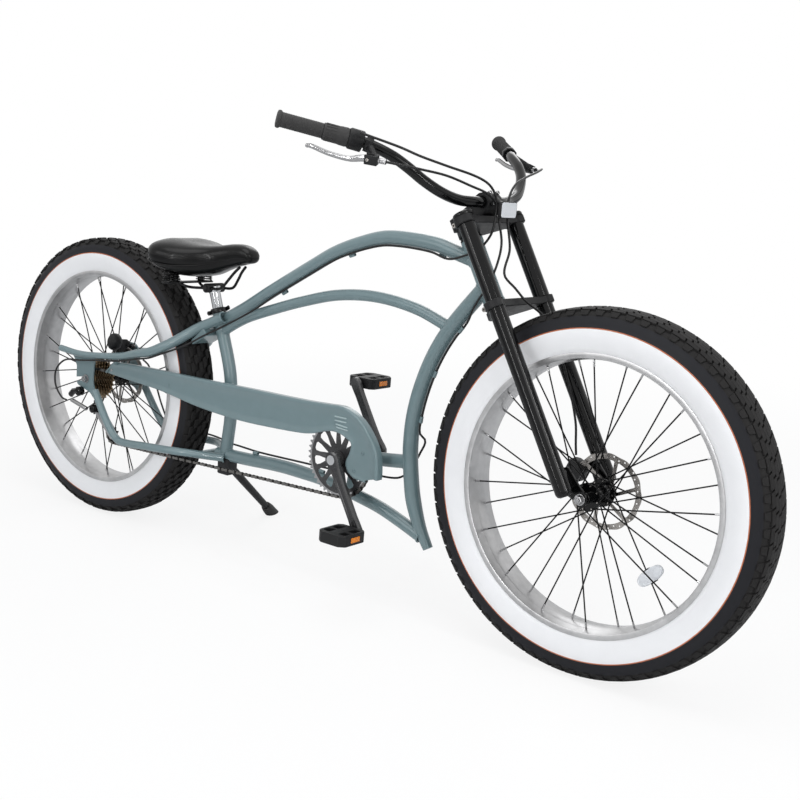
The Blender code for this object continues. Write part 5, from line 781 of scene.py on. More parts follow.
# What repeats, by node trees
class Repeat:
    """Node trees that set a template on points, or give edges the section of a wire."""

    @staticmethod
    def _tree(name: str, inputs: dict[str, str]) -> tuple[bpy.types.NodeTree, bpy.types.Node]:
        """Start a tree that takes a geometry and the named inputs.

        Args:
            name: The tree's name.
            inputs: Socket types by name.

        Returns:
            The tree and its input node.
        """
        tree = bpy.data.node_groups.new(name, "GeometryNodeTree")
        for label, kind in {"Geometry": "Geometry", **inputs}.items():
            tree.interface.new_socket(label, in_out="INPUT", socket_type="NodeSocket" + kind)
        tree.interface.new_socket("Geometry", in_out="OUTPUT", socket_type="NodeSocketGeometry")
        return tree, tree.nodes.new("NodeGroupInput")

    @staticmethod
    def _run(base: bpy.types.Mesh, tree: bpy.types.NodeTree, made: bpy.types.NodeSocket,
             values: dict[str, object]) -> bpy.types.Mesh:
        """Close a tree, with instances made real and the finish set, and evaluate it on a mesh.

        Args:
            base: The mesh that the tree starts from.
            tree: The tree.
            made: The geometry that it comes to.
            values: Input values by name.

        Returns:
            The plain mesh that comes out.
        """
        first = next(n for n in tree.nodes if n.bl_idname == "NodeGroupInput")
        real = node(tree, "GeometryNodeRealizeInstances", {"Geometry": made})
        dress = node(tree, "GeometryNodeSetMaterial", {
            "Geometry": real.outputs["Geometry"], "Material": first.outputs["Finish"]})
        node(tree, "NodeGroupOutput", {"Geometry": dress.outputs["Geometry"]})
        holder = bpy.data.objects.new("repeat_holder", base)
        bpy.context.scene.collection.objects.link(holder)
        modifier = holder.modifiers.new("repeat", "NODES")
        modifier.node_group = tree
        for item in tree.interface.items_tree:
            if item.in_out == "INPUT" and item.name in values:
                modifier[item.identifier] = values[item.name]
        holder.update_tag()
        depsgraph = bpy.context.evaluated_depsgraph_get()
        depsgraph.update()
        mesh = bpy.data.meshes.new_from_object(holder.evaluated_get(depsgraph), depsgraph=depsgraph)
        bpy.data.objects.remove(holder)
        return mesh

    @classmethod
    def on_points(cls, places: Sequence[Matrix], template: Drawing, finish: Finish) -> bpy.types.Mesh:
        """A template set at every place.

        Args:
            places: Frames, each with its own turn.
            template: The shape, drawn about the origin; it is used up.
            finish: What it is finished in.

        Returns:
            One mesh of all the copies.
        """
        points = bpy.data.meshes.new("repeat_points")
        points.from_pydata([tuple(m.translation) for m in places], [], [])
        turn = points.attributes.new("turn", "FLOAT_VECTOR", "POINT")
        for i, m in enumerate(places):
            turn.data[i].vector = m.to_euler()
        shape = bpy.data.meshes.new("repeat_template")
        bmesh.ops.recalc_face_normals(template, faces=template.faces)
        template.to_mesh(shape)
        template.free()
        shape.materials.append(finish.material())
        source = bpy.data.objects.new("repeat_source", shape)
        tree, first = cls._tree("repeat_on_points", {"Template": "Object", "Finish": "Material"})
        named = node(tree, "GeometryNodeInputNamedAttribute", {"Name": "turn"}, data_type="FLOAT_VECTOR")
        info = node(tree, "GeometryNodeObjectInfo", {"Object": first.outputs["Template"]})
        put = node(tree, "GeometryNodeInstanceOnPoints", {
            "Points": first.outputs["Geometry"], "Instance": info.outputs["Geometry"],
            "Rotation": named.outputs["Attribute"]})
        mesh = cls._run(
            points, tree, put.outputs["Instances"], {"Template": source, "Finish": finish.material()})
        bpy.data.objects.remove(source)
        return mesh

    @classmethod
    def wires(cls, lines: Sequence[Sequence[Station]], radius: float, sides: int,
              finish: Finish) -> bpy.types.Mesh:
        """Round wires along lines of points.

        Args:
            lines: The wires' middles.
            radius: Their radius.
            sides: Facets round each.
            finish: What they are finished in.

        Returns:
            One mesh of all the wires, closed at their ends.
        """
        points, edges = [], []
        for line in lines:
            start = len(points)
            points += [tuple(p[:3]) for p in line]
            edges += [(start + k, start + k + 1) for k in range(len(line) - 1)]
        base = bpy.data.meshes.new("repeat_lines")
        base.from_pydata(points, edges, [])
        tree, first = cls._tree("repeat_wires", {"Radius": "Float", "Sides": "Int", "Finish": "Material"})
        curve = node(tree, "GeometryNodeMeshToCurve", {"Mesh": first.outputs["Geometry"]})
        ring = node(tree, "GeometryNodeCurvePrimitiveCircle", {
            "Resolution": first.outputs["Sides"], "Radius": first.outputs["Radius"]})
        skin = node(tree, "GeometryNodeCurveToMesh", {
            "Fill Caps": True, "Curve": curve.outputs["Curve"], "Profile Curve": ring.outputs["Curve"]})
        return cls._run(base, tree, skin.outputs["Mesh"], {
            "Radius": radius, "Sides": sides, "Finish": finish.material()})


# Pieces
class Assembly:
    """Common work of the sub-assemblies: turn drawings into finished pieces on a body."""

    body: str

    def piece(self, name: str, drawing: Drawing | bpy.types.Mesh, finishes: Finish | Sequence[Finish],
              stands_for: Sequence[str] = (), body: str | None = None, bevel: float = 0.0,
              smooth: float = 35.0, leaned: bool = False, rides: bool = True,
              shell: float = 0.0) -> bpy.types.Object:
        """Make a finished piece.

        Args:
            name: The piece's name.
            drawing: The drawing, in the upright frame; a bmesh is used up.
            finishes: One finish, or several in the order of the material indices.
            stands_for: The nodes that it replaces.
            body: The body that it rides on, if it isn't the sub-assembly's own.
            bevel: Width of the rounding of its edges.
            smooth: Angle in degrees past which an edge stays sharp.
            leaned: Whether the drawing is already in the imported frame.
            rides: Whether it rides on the body at once.
            shell: Thickness given to an open surface.

        Returns:
            The piece.
        """
        finishes = [finishes] if isinstance(finishes, Finish) else list(finishes)
        body = body or self.body
        if isinstance(drawing, Drawing):
            if not shell:
                bmesh.ops.recalc_face_normals(drawing, faces=drawing.faces)
            mesh = bpy.data.meshes.new(name)
            drawing.to_mesh(mesh)
            drawing.free()
        else:
            mesh = drawing
        mesh.name = name
        if not leaned:
            mesh.transform(LEANED)
        if not mesh.materials:
            for finish in finishes:
                mesh.materials.append(finish.material())
        made = bpy.data.objects.new(name, mesh)
        bpy.context.scene.collection.objects.link(made)
        self._shape(made, bevel, shell)
        made.data.shade_smooth()
        made.data.set_sharp_from_angle(angle=math.radians(smooth))
        if rides:
            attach(made, body)
        if stands_for:
            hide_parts(*stands_for)
        log.info("%s: %d faces on %s", name, len(made.data.polygons), body)
        return made

    @staticmethod
    def _shape(made: bpy.types.Object, bevel: float, shell: float) -> None:
        """Make a wall and rounded edges part of a piece's own mesh.

        Args:
            made: The piece.
            bevel: Width of the rounding, or 0.
            shell: Thickness of the wall, or 0.
        """
        if shell:
            wall = made.modifiers.new("wall", "SOLIDIFY")
            wall.thickness = shell
            wall.offset = -1.0
        if bevel:
            edge = made.modifiers.new("edge", "BEVEL")
            edge.width = bevel
            edge.segments = 2
            edge.limit_method = "ANGLE"
            edge.angle_limit = math.radians(35)
            edge.use_clamp_overlap = True
        if made.modifiers:
            depsgraph = bpy.context.evaluated_depsgraph_get()
            mesh = bpy.data.meshes.new_from_object(made.evaluated_get(depsgraph), depsgraph=depsgraph)
            made.modifiers.clear()
            old, made.data = made.data, mesh
            name = old.name
            bpy.data.meshes.remove(old)
            mesh.name = name

    def copies(self, name: str, places: Sequence[Matrix], template: Drawing, finish: Finish,
               **more: object) -> bpy.types.Object:
        """A piece made of one template set at every place; more is as in piece."""
        return self.piece(name, Repeat.on_points(places, template, finish), finish, **more)

    def wires(self, name: str, lines: Sequence[Sequence[Station]], radius: float, sides: int,
              finish: Finish) -> bpy.types.Object:
        """A piece made of round wires along lines of points."""
        return self.piece(name, Repeat.wires(lines, radius, sides, finish), finish)

    def rounded_solid(self, solid: str, finish: Finish, width: float, body: str | None = None,
                      name: str | None = None) -> bpy.types.Object:
        """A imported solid's own shape with its edges rounded, in its place.

        Args:
            solid: The node that is copied and replaced.
            finish: Its finish.
            width: Width of the rounding.
            body: The body that it rides on, if it isn't the sub-assembly's own.
            name: The piece's name, if it isn't the node's with an ending.

        Returns:
            The piece.
        """
        bm = bmesh.new()
        bm.from_mesh(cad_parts[solid].data)
        bmesh.ops.remove_doubles(bm, verts=bm.verts, dist=1e-5)
        bmesh.ops.dissolve_limit(bm, angle_limit=math.radians(2), verts=bm.verts, edges=bm.edges)
        return self.piece(
            name or solid + "_rounded", bm, finish, [solid], body, bevel=width, leaned=True, smooth=40)


@dataclass
class Tube:
    """A frame tube: its line, and the neighbours that its ends run into."""

    name: str
    stations: Sequence[Station]
    start_in: Sequence[Sequence[Station]] = ()
    end_in: Sequence[Sequence[Station]] = ()
    sides: int = 32

    def solid(self, bm: Drawing) -> list[list[Vector]]:
        """Draw the tube, each line of its skin ending where it meets a neighbour.

        Args:
            bm: Where it is drawn.

        Returns:
            The two end loops, as points, for the weld beads.
        """
        scratch = bmesh.new()
        rings = [[v.co.copy() for v in ring]
                 for ring in sweep_rings(scratch, self.stations, self.sides, ACROSS)]
        scratch.free()
        last = len(rings) - 1
        limits = [(self._meets([rings[i][k] for i in range(last + 1)], self.start_in),
                   last - self._meets([rings[i][k] for i in range(last, -1, -1)], self.end_in))
                  for k in range(self.sides)]
        near = math.ceil(max(low for low, _ in limits)) + 2
        far = math.floor(min(high for _, high in limits)) - 2
        made = []
        for i in range(last + 1):
            ring = []
            for k, (low, high) in enumerate(limits):
                at = float(i)
                if i < near:
                    at = low + (near - low) * i / near
                elif i > far:
                    at = far + (high - far) * (i - far) / (last - far)
                j = min(int(at), last - 1)
                ring.append(rings[j][k].lerp(rings[j + 1][k], at - j))
            made.append(ring)
        loft(bm, made)
        return [made[0], made[-1]]

    @staticmethod
    def _meets(line: list[Vector], others: list) -> float:
        """How far along a line of the skin, from the buried end, it comes out of the neighbours.

        Args:
            line: The points.
            others: The neighbours' stations.

        Returns:
            The place, counted in stations.
        """
        if not others:
            return 0.0
        depths = [min(depth_in(p, other) for other in others) for p in line[:len(line) // 2]]
        for i in range(len(depths) - 1, 0, -1):
            if depths[i - 1] < 0.0 <= depths[i]:
                return i - 1 + depths[i - 1] / (depths[i - 1] - depths[i])
        return 0.0


def depth_in(point: Vector, stations: Sequence[Station]) -> float:
    """Distance of a point from a round tube's skin; negative inside it.

    Args:
        point: The point.
        stations: Points with their radii.

    Returns:
        The distance.
    """
    best = math.inf
    for a, b in zip(stations, stations[1:]):
        low, high = Vector(a[:3]), Vector(b[:3])
        along = high - low
        t = max(0.0, min(1.0, (point - low).dot(along) / along.length_squared))
        best = min(best, (point - low - along * t).length - (a[3] + (b[3] - a[3]) * t))
    return best


@dataclass
class FrameTubes(Assembly):
    """The welded frame in its blue-grey enamel, with its beads, cable clips and seat collar."""

    body: str = "frame"
    head_low: float = 0.434
    head_high: float = 0.582
    head_radius: float = 0.022
    main_radius: float = 0.0159
    arch_radius: float = 0.0127
    down_radius: float = 0.01745
    seat_bore: float = 0.0142
    top_line: Line = mm(
        (-324, 580), (-242.4, 623.9), (-162.5, 672.9), (-30.5, 749.8), (33.5, 785.3), (101.4, 811.9),
        (170.9, 830.6), (243.7, 833.3), (314.1, 828.1), (350.7, 819.3), (420, 802.5))
    arch_line: Line = mm((-314, 558.5), (-270, 584.5), (-230, 604), (-153.7, 631.8), (-56.3, 663.6),
                         (47.4, 690.2), (159, 699.3), (270.5, 686.8), (360, 659))
    down_line: Line = mm((446.9, 759), (370.2, 664.5), (331.1, 599.2), (303.9, 528), (287.8, 453.5),
                         (286, 377.5), (296.6, 302), (307.5, 257.6), (330, 205), (357, 162.5))
    seat_foot: Line = mm((-286.5, 248), (-281.2, 295.9), (-276.3, 341.6), (-276.7, 396), (-283.7, 450.2))
    bottom_line: Line = mm((-312, 247.5), (-213.6, 250.8), (-113.8, 256.6), (-47.1, 256.9), (55, 251.5),
                           (157.4, 236), (217, 224.4), (278.2, 205.7), (334, 186))
    upper_stay: Line = mm(
        (-296, 21.5, 596), (-332.9, 23.5, 578.8), (-373.9, 30, 559.6), (-407.2, 48, 535.1),
        (-429.6, 62.5, 517.9), (-450.1, 74, 504.7), (-488.7, 87, 485.9), (-532.7, 90, 475.5),
        (-591.9, 90, 460.2), (-691.6, 90, 446.3), (-768, 90, 440.8), (-844.3, 90, 445))
    lower_stay: Line = mm(
        (-278, 15, 242.5), (-322.1, 38.4, 242.8), (-351.4, 55.8, 244.4), (-378.5, 71.9, 245.5),
        (-411.3, 86.3, 245.7), (-483.2, 90, 240.7), (-589.4, 90, 233.1), (-612, 90, 242.5),
        (-631.1, 90, 260), (-661.3, 89, 295.6), (-701, 86, 350))

    def __post_init__(self) -> None:
        """Work out every tube's stations."""
        self.head = [(*on_steering(self.head_low), self.head_radius),
                     (*on_steering(self.head_high), self.head_radius)]
        self.shell = [(*(BRACKET - ACROSS * 0.05), 0.0215), (*(BRACKET + ACROSS * 0.05), 0.0215)]
        straight = [tuple(SEAT_TUBE_TOP - SEAT_TUBE_UP * d) for d in (0.13, 0.09, 0.045, 0.0)]
        self.seat = spread(with_radius(in_plane(self.seat_foot) + straight, self.main_radius), 44)
        self.top = spread(with_radius(in_plane(self.top_line), self.main_radius), 72)
        self.arch = spread(with_radius(in_plane(self.arch_line), self.arch_radius), 64)
        tips = {8: 0.0145, 9: 0.0115}
        self.down = spread(
            [(*p, tips.get(i, self.down_radius)) for i, p in enumerate(in_plane(self.down_line))], 64)
        self.bottom = spread(
            [(*p, 0.0159 if i < 4 else 0.0147) for i, p in enumerate(in_plane(self.bottom_line))], 56)
        bridge = in_plane([(0.1349, 0.3325), (0.2031, 0.3368), (0.29, 0.348)])
        strut = in_plane([(0.1349, 0.3325), (0.13, 0.287), (0.125, 0.242)])
        self.bridge = spread(with_radius(bridge, self.main_radius), 20)
        self.strut = spread(with_radius(strut, self.arch_radius), 16)

    def upper(self, side: int) -> list:
        """Stations of one upper stay, which tapers to its tail.

        Args:
            side: 1 for the left and -1 for the right.

        Returns:
            The stations.
        """
        line = []
        last = len(self.upper_stay) - 1
        for i, p in enumerate(self.upper_stay):
            t = min(1.0, 1.6 * max(0.0, (i - 5) / (last - 5)))
            line.append((*p, 0.013 - 0.0045 * t))
        return mirrored(spread(line, 64), side)

    def lower(self, side: int) -> list:
        """Stations of one lower stay."""
        return mirrored(spread(with_radius(self.lower_stay, 0.01), 60), side)

    def build(self) -> None:
        """Make every piece of the frame."""
        self.head_tube()
        beads = []
        for tube in (Tube("top_tube", self.top, [self.seat], [self.head]),
                     Tube("arch_tube", self.arch, [self.seat, self.top], [self.down]),
                     Tube("down_tube", self.down, [self.head], [])):
            bm = bmesh.new()
            ends = tube.solid(bm)
            beads += [end for end, others in zip(ends, (tube.start_in, tube.end_in)) if others]
            self.piece(tube.name + "_enamelled", bm, PAINT, [tube.name])
        self.seat_tube(beads)
        self.bottom_group(beads)
        self.stays(beads)
        lines = [[*loop, loop[0]] for loop in beads]
        self.wires("frame_weld_beads", lines, 0.0021, 8, PAINT)
        self.clips()
        self.rounded_solid("seat_collar", GLOSS_BLACK, 0.001)

    def head_tube(self) -> None:
        """Head tube with its flared cups and the two gloss black bearing rings."""
        low, high = self.head_low, self.head_high
        bm = bmesh.new()
        profile = [
            (0.015, low), (0.0225, low), (0.0235, low + 0.0012), (0.0235, low + 0.01),
            (0.0222, low + 0.0135), (0.022, low + 0.03), (0.022, high - 0.03), (0.0222, high - 0.0135),
            (0.0235, high - 0.01), (0.0235, high - 0.0012), (0.0225, high), (0.015, high)]
        revolve(bm, profile, STEER_FOOT, STEER_UP, 48)
        self.piece("head_tube_enamelled", bm, PAINT, ["head_tube"])
        bm = bmesh.new()
        for base, sense in ((low, -1), (high, 1)):
            ring = mm((15, 0.4), (22.6, 0.4), (23.2, 1.2), (23.2, 4.2), (21.5, 5), (21.5, 6.6), (20.5, 7.8),
                      (15, 7.8))
            revolve(bm, [(r, base + sense * h) for r, h in ring], STEER_FOOT, STEER_UP, 48)
        self.piece("headset_cups", bm, GLOSS_BLACK)

    def seat_tube(self, beads: list) -> None:
        """Seat tube with its bore, and its foot on the bottom tube.

        Args:
            beads: Loops of the welds, which are added to.
        """
        tube = Tube("seat_tube", self.seat, [self.bottom])
        rings = self._seat_rings(tube)
        beads.append(rings[0])
        self.piece("seat_tube_enamelled", drawn(loft, rings), PAINT, ["seat_tube"])

    def _seat_rings(self, tube: Tube) -> list[list[Vector]]:
        """Rings up the outside of the seat tube, over its lip and down its bore.

        Args:
            tube: The seat tube.

        Returns:
            The rings.
        """
        scratch = bmesh.new()
        tube.solid(scratch)
        count = tube.sides
        points = [v.co.copy() for v in scratch.verts]
        scratch.free()
        rings = [points[i:i + count] for i in range(0, len(points), count)]
        top = rings[-1]
        centre = sum(top, Vector()) / count
        for depth in (0.0, 0.06, 0.124):
            rings.append([centre + (p - centre) * (self.seat_bore / self.main_radius) - SEAT_TUBE_UP * depth
                          for p in top])
        return rings

    def bottom_group(self, beads: list) -> None:
        """Bottom tube, bracket shell, the tubes that hold it, and the stand's bracket.

        Args:
            beads: Loops of the welds, which are added to.
        """
        bm = bmesh.new()
        ends = Tube("bottom", self.bottom, [], [self.down]).solid(bm)
        beads.append(ends[1])
        self.piece("bottom_tube_enamelled", bm, PAINT, ["bottom_tube"])
        bm = bmesh.new()
        beads += Tube("bridge", self.bridge, [self.shell], [self.down]).solid(bm)
        beads += Tube("strut", self.strut, [self.shell], [self.bottom]).solid(bm)
        self.piece("bracket_struts", bm, PAINT)
        shell = mm((10, -50), (20.5, -50), (21.5, -48.8), (21.5, 48.8), (20.5, 50), (10, 50))
        self.piece("bracket_shell", drawn(revolve, shell, BRACKET, ACROSS, 48), PAINT)
        bm = bmesh.new()
        for sense in (-1, 1):
            cup = mm((10, 50), (18.4, 50), (18.4, 53), (17.2, 54), (10, 54))
            revolve(bm, [(r, sense * h) for r, h in cup], BRACKET, ACROSS, 40)
        self.piece("bracket_cups", bm, MATTE_BLACK)
        bracket = drawn(block, (-0.3, -0.016, 0.199), (-0.262, 0.0192, 0.242), edge=0.0025)
        self.piece("stand_bracket", bracket, MATTE_BLACK)

    def stays(self, beads: list) -> None:
        """Upper and lower stays with the bridge, the rod and the dropouts.

        Args:
            beads: Loops of the welds, which are added to.
        """
        bm = bmesh.new()
        for side in (-1, 1):
            ends = Tube("upper", self.upper(side), [self.seat], sides=24).solid(bm)
            beads.append(ends[0])
        self.piece("upper_stays_enamelled", bm, PAINT, ["upper_stays"])
        bm = bmesh.new()
        outline = mm((-338, 545), (-388, 516), (-394, 526), (-352, 562))
        plate(bm, rounded(outline, 0.004, 4), 0.072, side_frame(0.036), edge=0.0015)
        self.piece("stay_bridge", bm, PAINT)
        bm = bmesh.new()
        for side in (-1, 1):
            ends = Tube("lower", self.lower(side), [self.bottom], sides=24).solid(bm)
            beads.append(ends[0])
        self.piece("lower_stays_enamelled", bm, PAINT, ["lower_stays"])
        bm = bmesh.new()
        middle = Vector((-0.338, 0.0, 0.2437))
        rod(bm, middle - ACROSS * 0.048, middle + ACROSS * 0.048, 0.008, 24)
        for side in (-1, 1):
            y = -0.075 if side < 0 else 0.081
            plate(bm, self._dropout(side > 0), 0.006, side_frame(y, REAR_AXLE), edge=0.001)
        self.piece("dropouts_and_rod", bm, PAINT)

    def _dropout(self, left: bool) -> Outline:
        """Side view of a dropout about the axle, its slot open to the rear.

        Args:
            left: Whether it is the left one, which holds the caliper.

        Returns:
            The outline.
        """
        half_slot = 0.0055
        slope = math.radians(9)
        back = Vector((-math.cos(slope), -math.sin(slope)))
        over = Vector((-back.y, back.x))
        ends = [tuple(-over * half_slot * math.cos(a) - back * half_slot * math.sin(a))
                for a in (math.pi * k / 10 for k in range(11))]
        top = [(-0.061, 0.064), (0.034, 0.068)]
        if left:
            top[1:1] = [(-0.045, 0.088), (0.012, 0.088)]
        front = [(0.03, 0.045), (0.028, 0.025), (0.0265, 0.008), (0.026, -0.007), (0.033, -0.024),
                 (0.044, -0.038)]
        lower = [(0.033, -0.05), (0.016, -0.035), (-0.012, -0.028), (-0.038, -0.021)]
        mouth = [tuple(back * 0.039 + over * half_slot), *ends[::-1],
                 tuple(back * 0.041 - over * half_slot)]
        return rounded(top + front + lower, 0.006, 3) + mouth + [(-0.041, 0.029), (-0.05, 0.047)]

    def clips(self) -> None:
        """Small cable guides along the tubes."""
        spots = [
            ((0.079, 0.786), self.top, -1), ((0.326, 0.808), self.top, -1), ((-0.12, 0.68), self.top, -1),
            ((0.394, 0.653), self.down, 1), ((0.318, 0.56), self.down, 1), ((0.305, 0.45), self.down, 1),
            ((-0.18, 0.28), self.bottom, 1), ((0.04, 0.275), self.bottom, 1)]
        places = []
        for (x, z), line, sense in spots:
            near = min(range(1, len(line) - 1), key=lambda i: math.dist((line[i][0], line[i][2]), (x, z)))
            along = (Vector(line[near + 1][:3]) - Vector(line[near - 1][:3])).normalized()
            out = along.cross(ACROSS).normalized()
            if out.dot(Vector((x, 0.0, z)) - Vector((line[near][0], 0.0, line[near][2]))) < 0:
                out = -out
            origin = Vector(line[near][:3]) + out * (line[near][3] - 0.0006)
            places.append(frame_of(along, out.cross(along), out, origin))
        template = drawn(sleeve, [(-0.0075, 0.0, 0.0042), (0.0075, 0.0, 0.0042)], 0.0044, 0.003, 14, ACROSS)
        block(template, (-0.006, -0.0022, 0.0), (0.006, 0.0022, 0.0016), edge=0.0004)
        self.copies("cable_clips", places, template, PAINT)


@dataclass
class Stand(Assembly):
    """The side stand and its boot."""

    body: str = "stand"
    pivot: Vector = Vector((-0.29, 0.03, 0.205))
    down: Vector = Vector((-0.072, 0.24, -0.176)).normalized()
    length: float = 0.306
    boot: float = 0.052

    def build(self) -> None:
        """Make the leg and the boot, whose sole lies level on the ground."""
        bm = bmesh.new()
        head = 0.0105
        profile = [
            (0, -head), (0.62 * head, -0.78 * head), (0.9 * head, -0.35 * head), (head, 0), (0.0098, head),
            (0.0104, 0.03), (0.0092, self.length - self.boot + 0.008), (0, self.length - self.boot + 0.008)]
        revolve(bm, profile, self.pivot, self.down, 32)
        self.piece("kickstand_shaft", bm, MATTE_BLACK, ["kickstand_leg"])
        foot = self.pivot + self.down * self.length
        start = foot - self.down * self.boot
        ground = Vector((0.0, -LEAN_SIN, LEAN_COS))
        base = axes_at(start, self.down)
        rings = []
        for radius, share in (
                (0.0094, 0.0), (0.0128, 0.02), (0.0142, 0.16), (0.0158, 0.42), (0.016, 0.9), (0.0164, 1.0)):
            rings.append([base @ Vector((radius * math.cos(a), radius * math.sin(a), share * self.boot))
                          for a in (math.tau * k / 28 for k in range(28))])
        sole = foot + ground * 0.0003
        rings[-1] = [p - self.down * ((p - sole).dot(ground) / self.down.dot(ground)) for p in rings[-1]]
        rings[-2] = [p.lerp(q, 0.82) for p, q in zip(rings[-3], rings[-1])]
        self.piece("kickstand_boot", drawn(loft, rings), GRIP_RUBBER)


@dataclass
class Wheel(Assembly):
    """A wheel with its wide white-wall tyre, silver rim, laced spokes, hub and rotor."""

    name: str
    centre: Vector
    body: str
    axle_body: str
    flanges: tuple[float, float]
    ends: tuple[float, float]
    rotor_offset: float
    axle: tuple[float, float, float]
    knobby: bool
    crown: Line = mm((375, 0), (374.8, 8), (374.3, 16), (373.5, 24), (372.9, 29), (371.8, 33), (369.5, 37),
                     (364, 41), (354, 43.7), (343, 45.5), (333.8, 46.2))

    def build(self) -> None:
        """Make every piece of the wheel."""
        self.tyre()
        self.rim()
        self.hub()
        self.spokes()
        self.rotor()
        self.axle_set()

    def tyre(self) -> None:
        """Carcass with its white band and edge line, and the tread's blocks."""
        half = [(0.2786, 0.033, 2), (0.2786, 0.037, 2), (0.285, 0.0388, 2), (0.2893, 0.0402, 2),
                (0.2896, 0.0405, 2), (0.295, 0.0424, 2), (0.302, 0.0443, 2), (0.31, 0.0459, 2),
                (0.318, 0.0468, 2), (0.325, 0.0469, 2), (0.3306, 0.0464, 2), (0.3326, 0.0459, 3),
                (0.334, 0.0462, 3), (0.3348, 0.0457, 1), (0.343, 0.0449, 1), (0.35, 0.0438, 1),
                (0.357, 0.0415, 0), (0.363, 0.0372, 0), (0.3675, 0.03, 0), (0.3694, 0.022, 0),
                (0.3708, 0.012, 0)]
        sunk = 0.0018 if self.knobby else 0.0
        half = [(r - sunk * (kind == 0), y, kind) for r, y, kind in half]
        up = [(r, y) for r, y, _ in reversed(half)]
        outside = [(r, -y) for r, y in reversed(up)] + [(0.3713 - sunk, 0.0)] + up
        kinds = [k for _, _, k in half[:-1]] + [0, 0] + [k for _, _, k in reversed(half[:-1])]
        inside = mm((320.5, 42.5), (360, 20), (365, 0), (360, -20), (320.5, -42.5))
        bm = drawn(revolve, [*outside, *inside], self.centre, ACROSS, 144,
                   lambda i: kinds[i] if i < len(kinds) else 0)
        self.piece(self.name + "_tyre_carcass", bm, [TYRE_BLACK, TYRE_WALL, WHITE_WALL, WALL_EDGE],
                   [self.name + "_tyre"], smooth=28)
        self.tread()

    def _on_crown(self, across: float) -> tuple[float, float]:
        """Radius of the crown, and its slope, at a distance from the wheel's middle.

        Args:
            across: Distance from the wheel's middle.

        Returns:
            The radius and the slope.
        """
        y = abs(across)
        for (r0, y0), (r1, y1) in zip(self.crown, self.crown[1:]):
            if y0 <= y <= y1:
                slope = (r1 - r0) / (y1 - y0)
                return r0 + (y - y0) * slope, slope * math.copysign(1.0, across)
        return self.crown[-1][0], -1.0

    def _rise(self, across: float, half_width: float) -> float:
        """How far a flat block would stand above the crown at its edges.

        Args:
            across: Distance from the wheel's middle.
            half_width: Half of the block's width.

        Returns:
            The height.
        """
        radius, slope = self._on_crown(across)
        return max(
            radius + slope * t - self._on_crown(across + t)[0] for t in (-half_width, 0.0, half_width))

    def tread(self) -> None:
        """Rows of blocks, staggered from row to row."""
        pitch = 56 if self.knobby else 72
        rows = [(0.007, 0.006, 0.62, 0.0), (0.02, 0.0056, 0.56, 0.5), (0.0315, 0.0044, 0.66, 0.0)]
        if not self.knobby:
            rows = [(0.0061, 0.0058, 0.88, 0.0), (0.0181, 0.0058, 0.88, 0.16), (0.0294, 0.0052, 0.88, 0.42)]
        for number, (across, half_width, share, shift) in enumerate(rows):
            step = math.tau / pitch
            half_length = share * step * 0.37 / 2
            template = bmesh.new()
            skew = half_length * (0.22 if self.knobby else 0.16)
            drop = (half_length + skew)**2 / 0.75 + self._rise(across, half_width)
            outline = [(-half_length + skew, -half_width), (half_length + skew, -half_width),
                       (half_length * 1.04, 0.0), (half_length - skew, half_width),
                       (-half_length - skew, half_width), (-half_length * 0.96, 0.0)]
            plate(template, rounded(outline, 0.0012, 2), 0.0052,
                  Matrix.Translation((0.0, 0.0, -0.0052 - drop)), edge=0.0006)
            places = []
            for side in (-1, 1):
                for k in range(pitch):
                    angle = (k + shift + (0.25 if side > 0 else 0.0)) * step
                    radius, slope = self._on_crown(across * side)
                    radial = round_axle(angle)
                    ahead = Vector((-math.sin(angle), 0.0, math.cos(angle)))
                    out = (radial - ACROSS * slope).normalized()
                    origin = self.centre + radial * (radius - 0.0002) + ACROSS * across * side
                    places.append(frame_of(ahead * side, out.cross(ahead * side), out, origin))
            self.copies(f"{self.name}_tread_row_{number + 1}", places, template, TYRE_BLACK)
        self.shoulder_blocks(pitch)

    def shoulder_blocks(self, pitch: int) -> None:
        """The blocks that fold over the tyre's shoulders.

        Args:
            pitch: How many blocks there are on a side.
        """
        step = math.tau / pitch
        template = bmesh.new()
        half_length = 0.4 * step * 0.365 / 2 * (1.15 if self.knobby else 1.5)
        plate(template, rounded([(-half_length, -0.0055), (half_length, -0.0055),
                                 (half_length * 0.7, 0.0065), (-half_length * 0.7, 0.0065)], 0.0014, 2),
              0.005, Matrix.Translation((0.0, 0.0, -0.0054)), edge=0.0007)
        places = []
        for side in (-1, 1):
            for k in range(pitch):
                angle = (k + 0.5 + (0.25 if side > 0 else 0.0)) * step
                radial = round_axle(angle)
                ahead = Vector((-math.sin(angle), 0.0, math.cos(angle)))
                out = (radial * 0.66 + ACROSS * side * 0.75).normalized()
                origin = self.centre + radial * 0.3648 + ACROSS * side * 0.0394
                y_axis = out.cross(ahead)
                if y_axis.dot(ACROSS) * side < 0:
                    ahead, y_axis = -ahead, -y_axis
                places.append(frame_of(ahead, y_axis, out, origin))
        self.copies(self.name + "_shoulder_blocks", places, template, TYRE_BLACK)

    def rim(self) -> None:
        """Wide silver rim with rounded lips and a shallow middle."""
        profile = mm(
            (286.5, -40.2), (285.8, -38.5), (278, -37.8), (273.2, -15), (273, 0), (273.2, 15), (278, 37.8),
            (285.8, 38.5), (286.5, 40.2), (285.5, 40.5), (277, 40.5), (275.2, 39.8), (274.5, 38),
            (272.2, 20), (271.8, 18.5), (271.2, 17), (270.2, 4), (270, 0), (270.2, -4), (271.2, -17),
            (271.8, -18.5), (272.2, -20), (274.5, -38), (275.2, -39.8), (277, -40.5), (285.5, -40.5))
        self.piece(self.name + "_rim_brushed", drawn(revolve, profile, self.centre, ACROSS, 128), ALLOY,
                   [self.name + "_rim"], smooth=24)

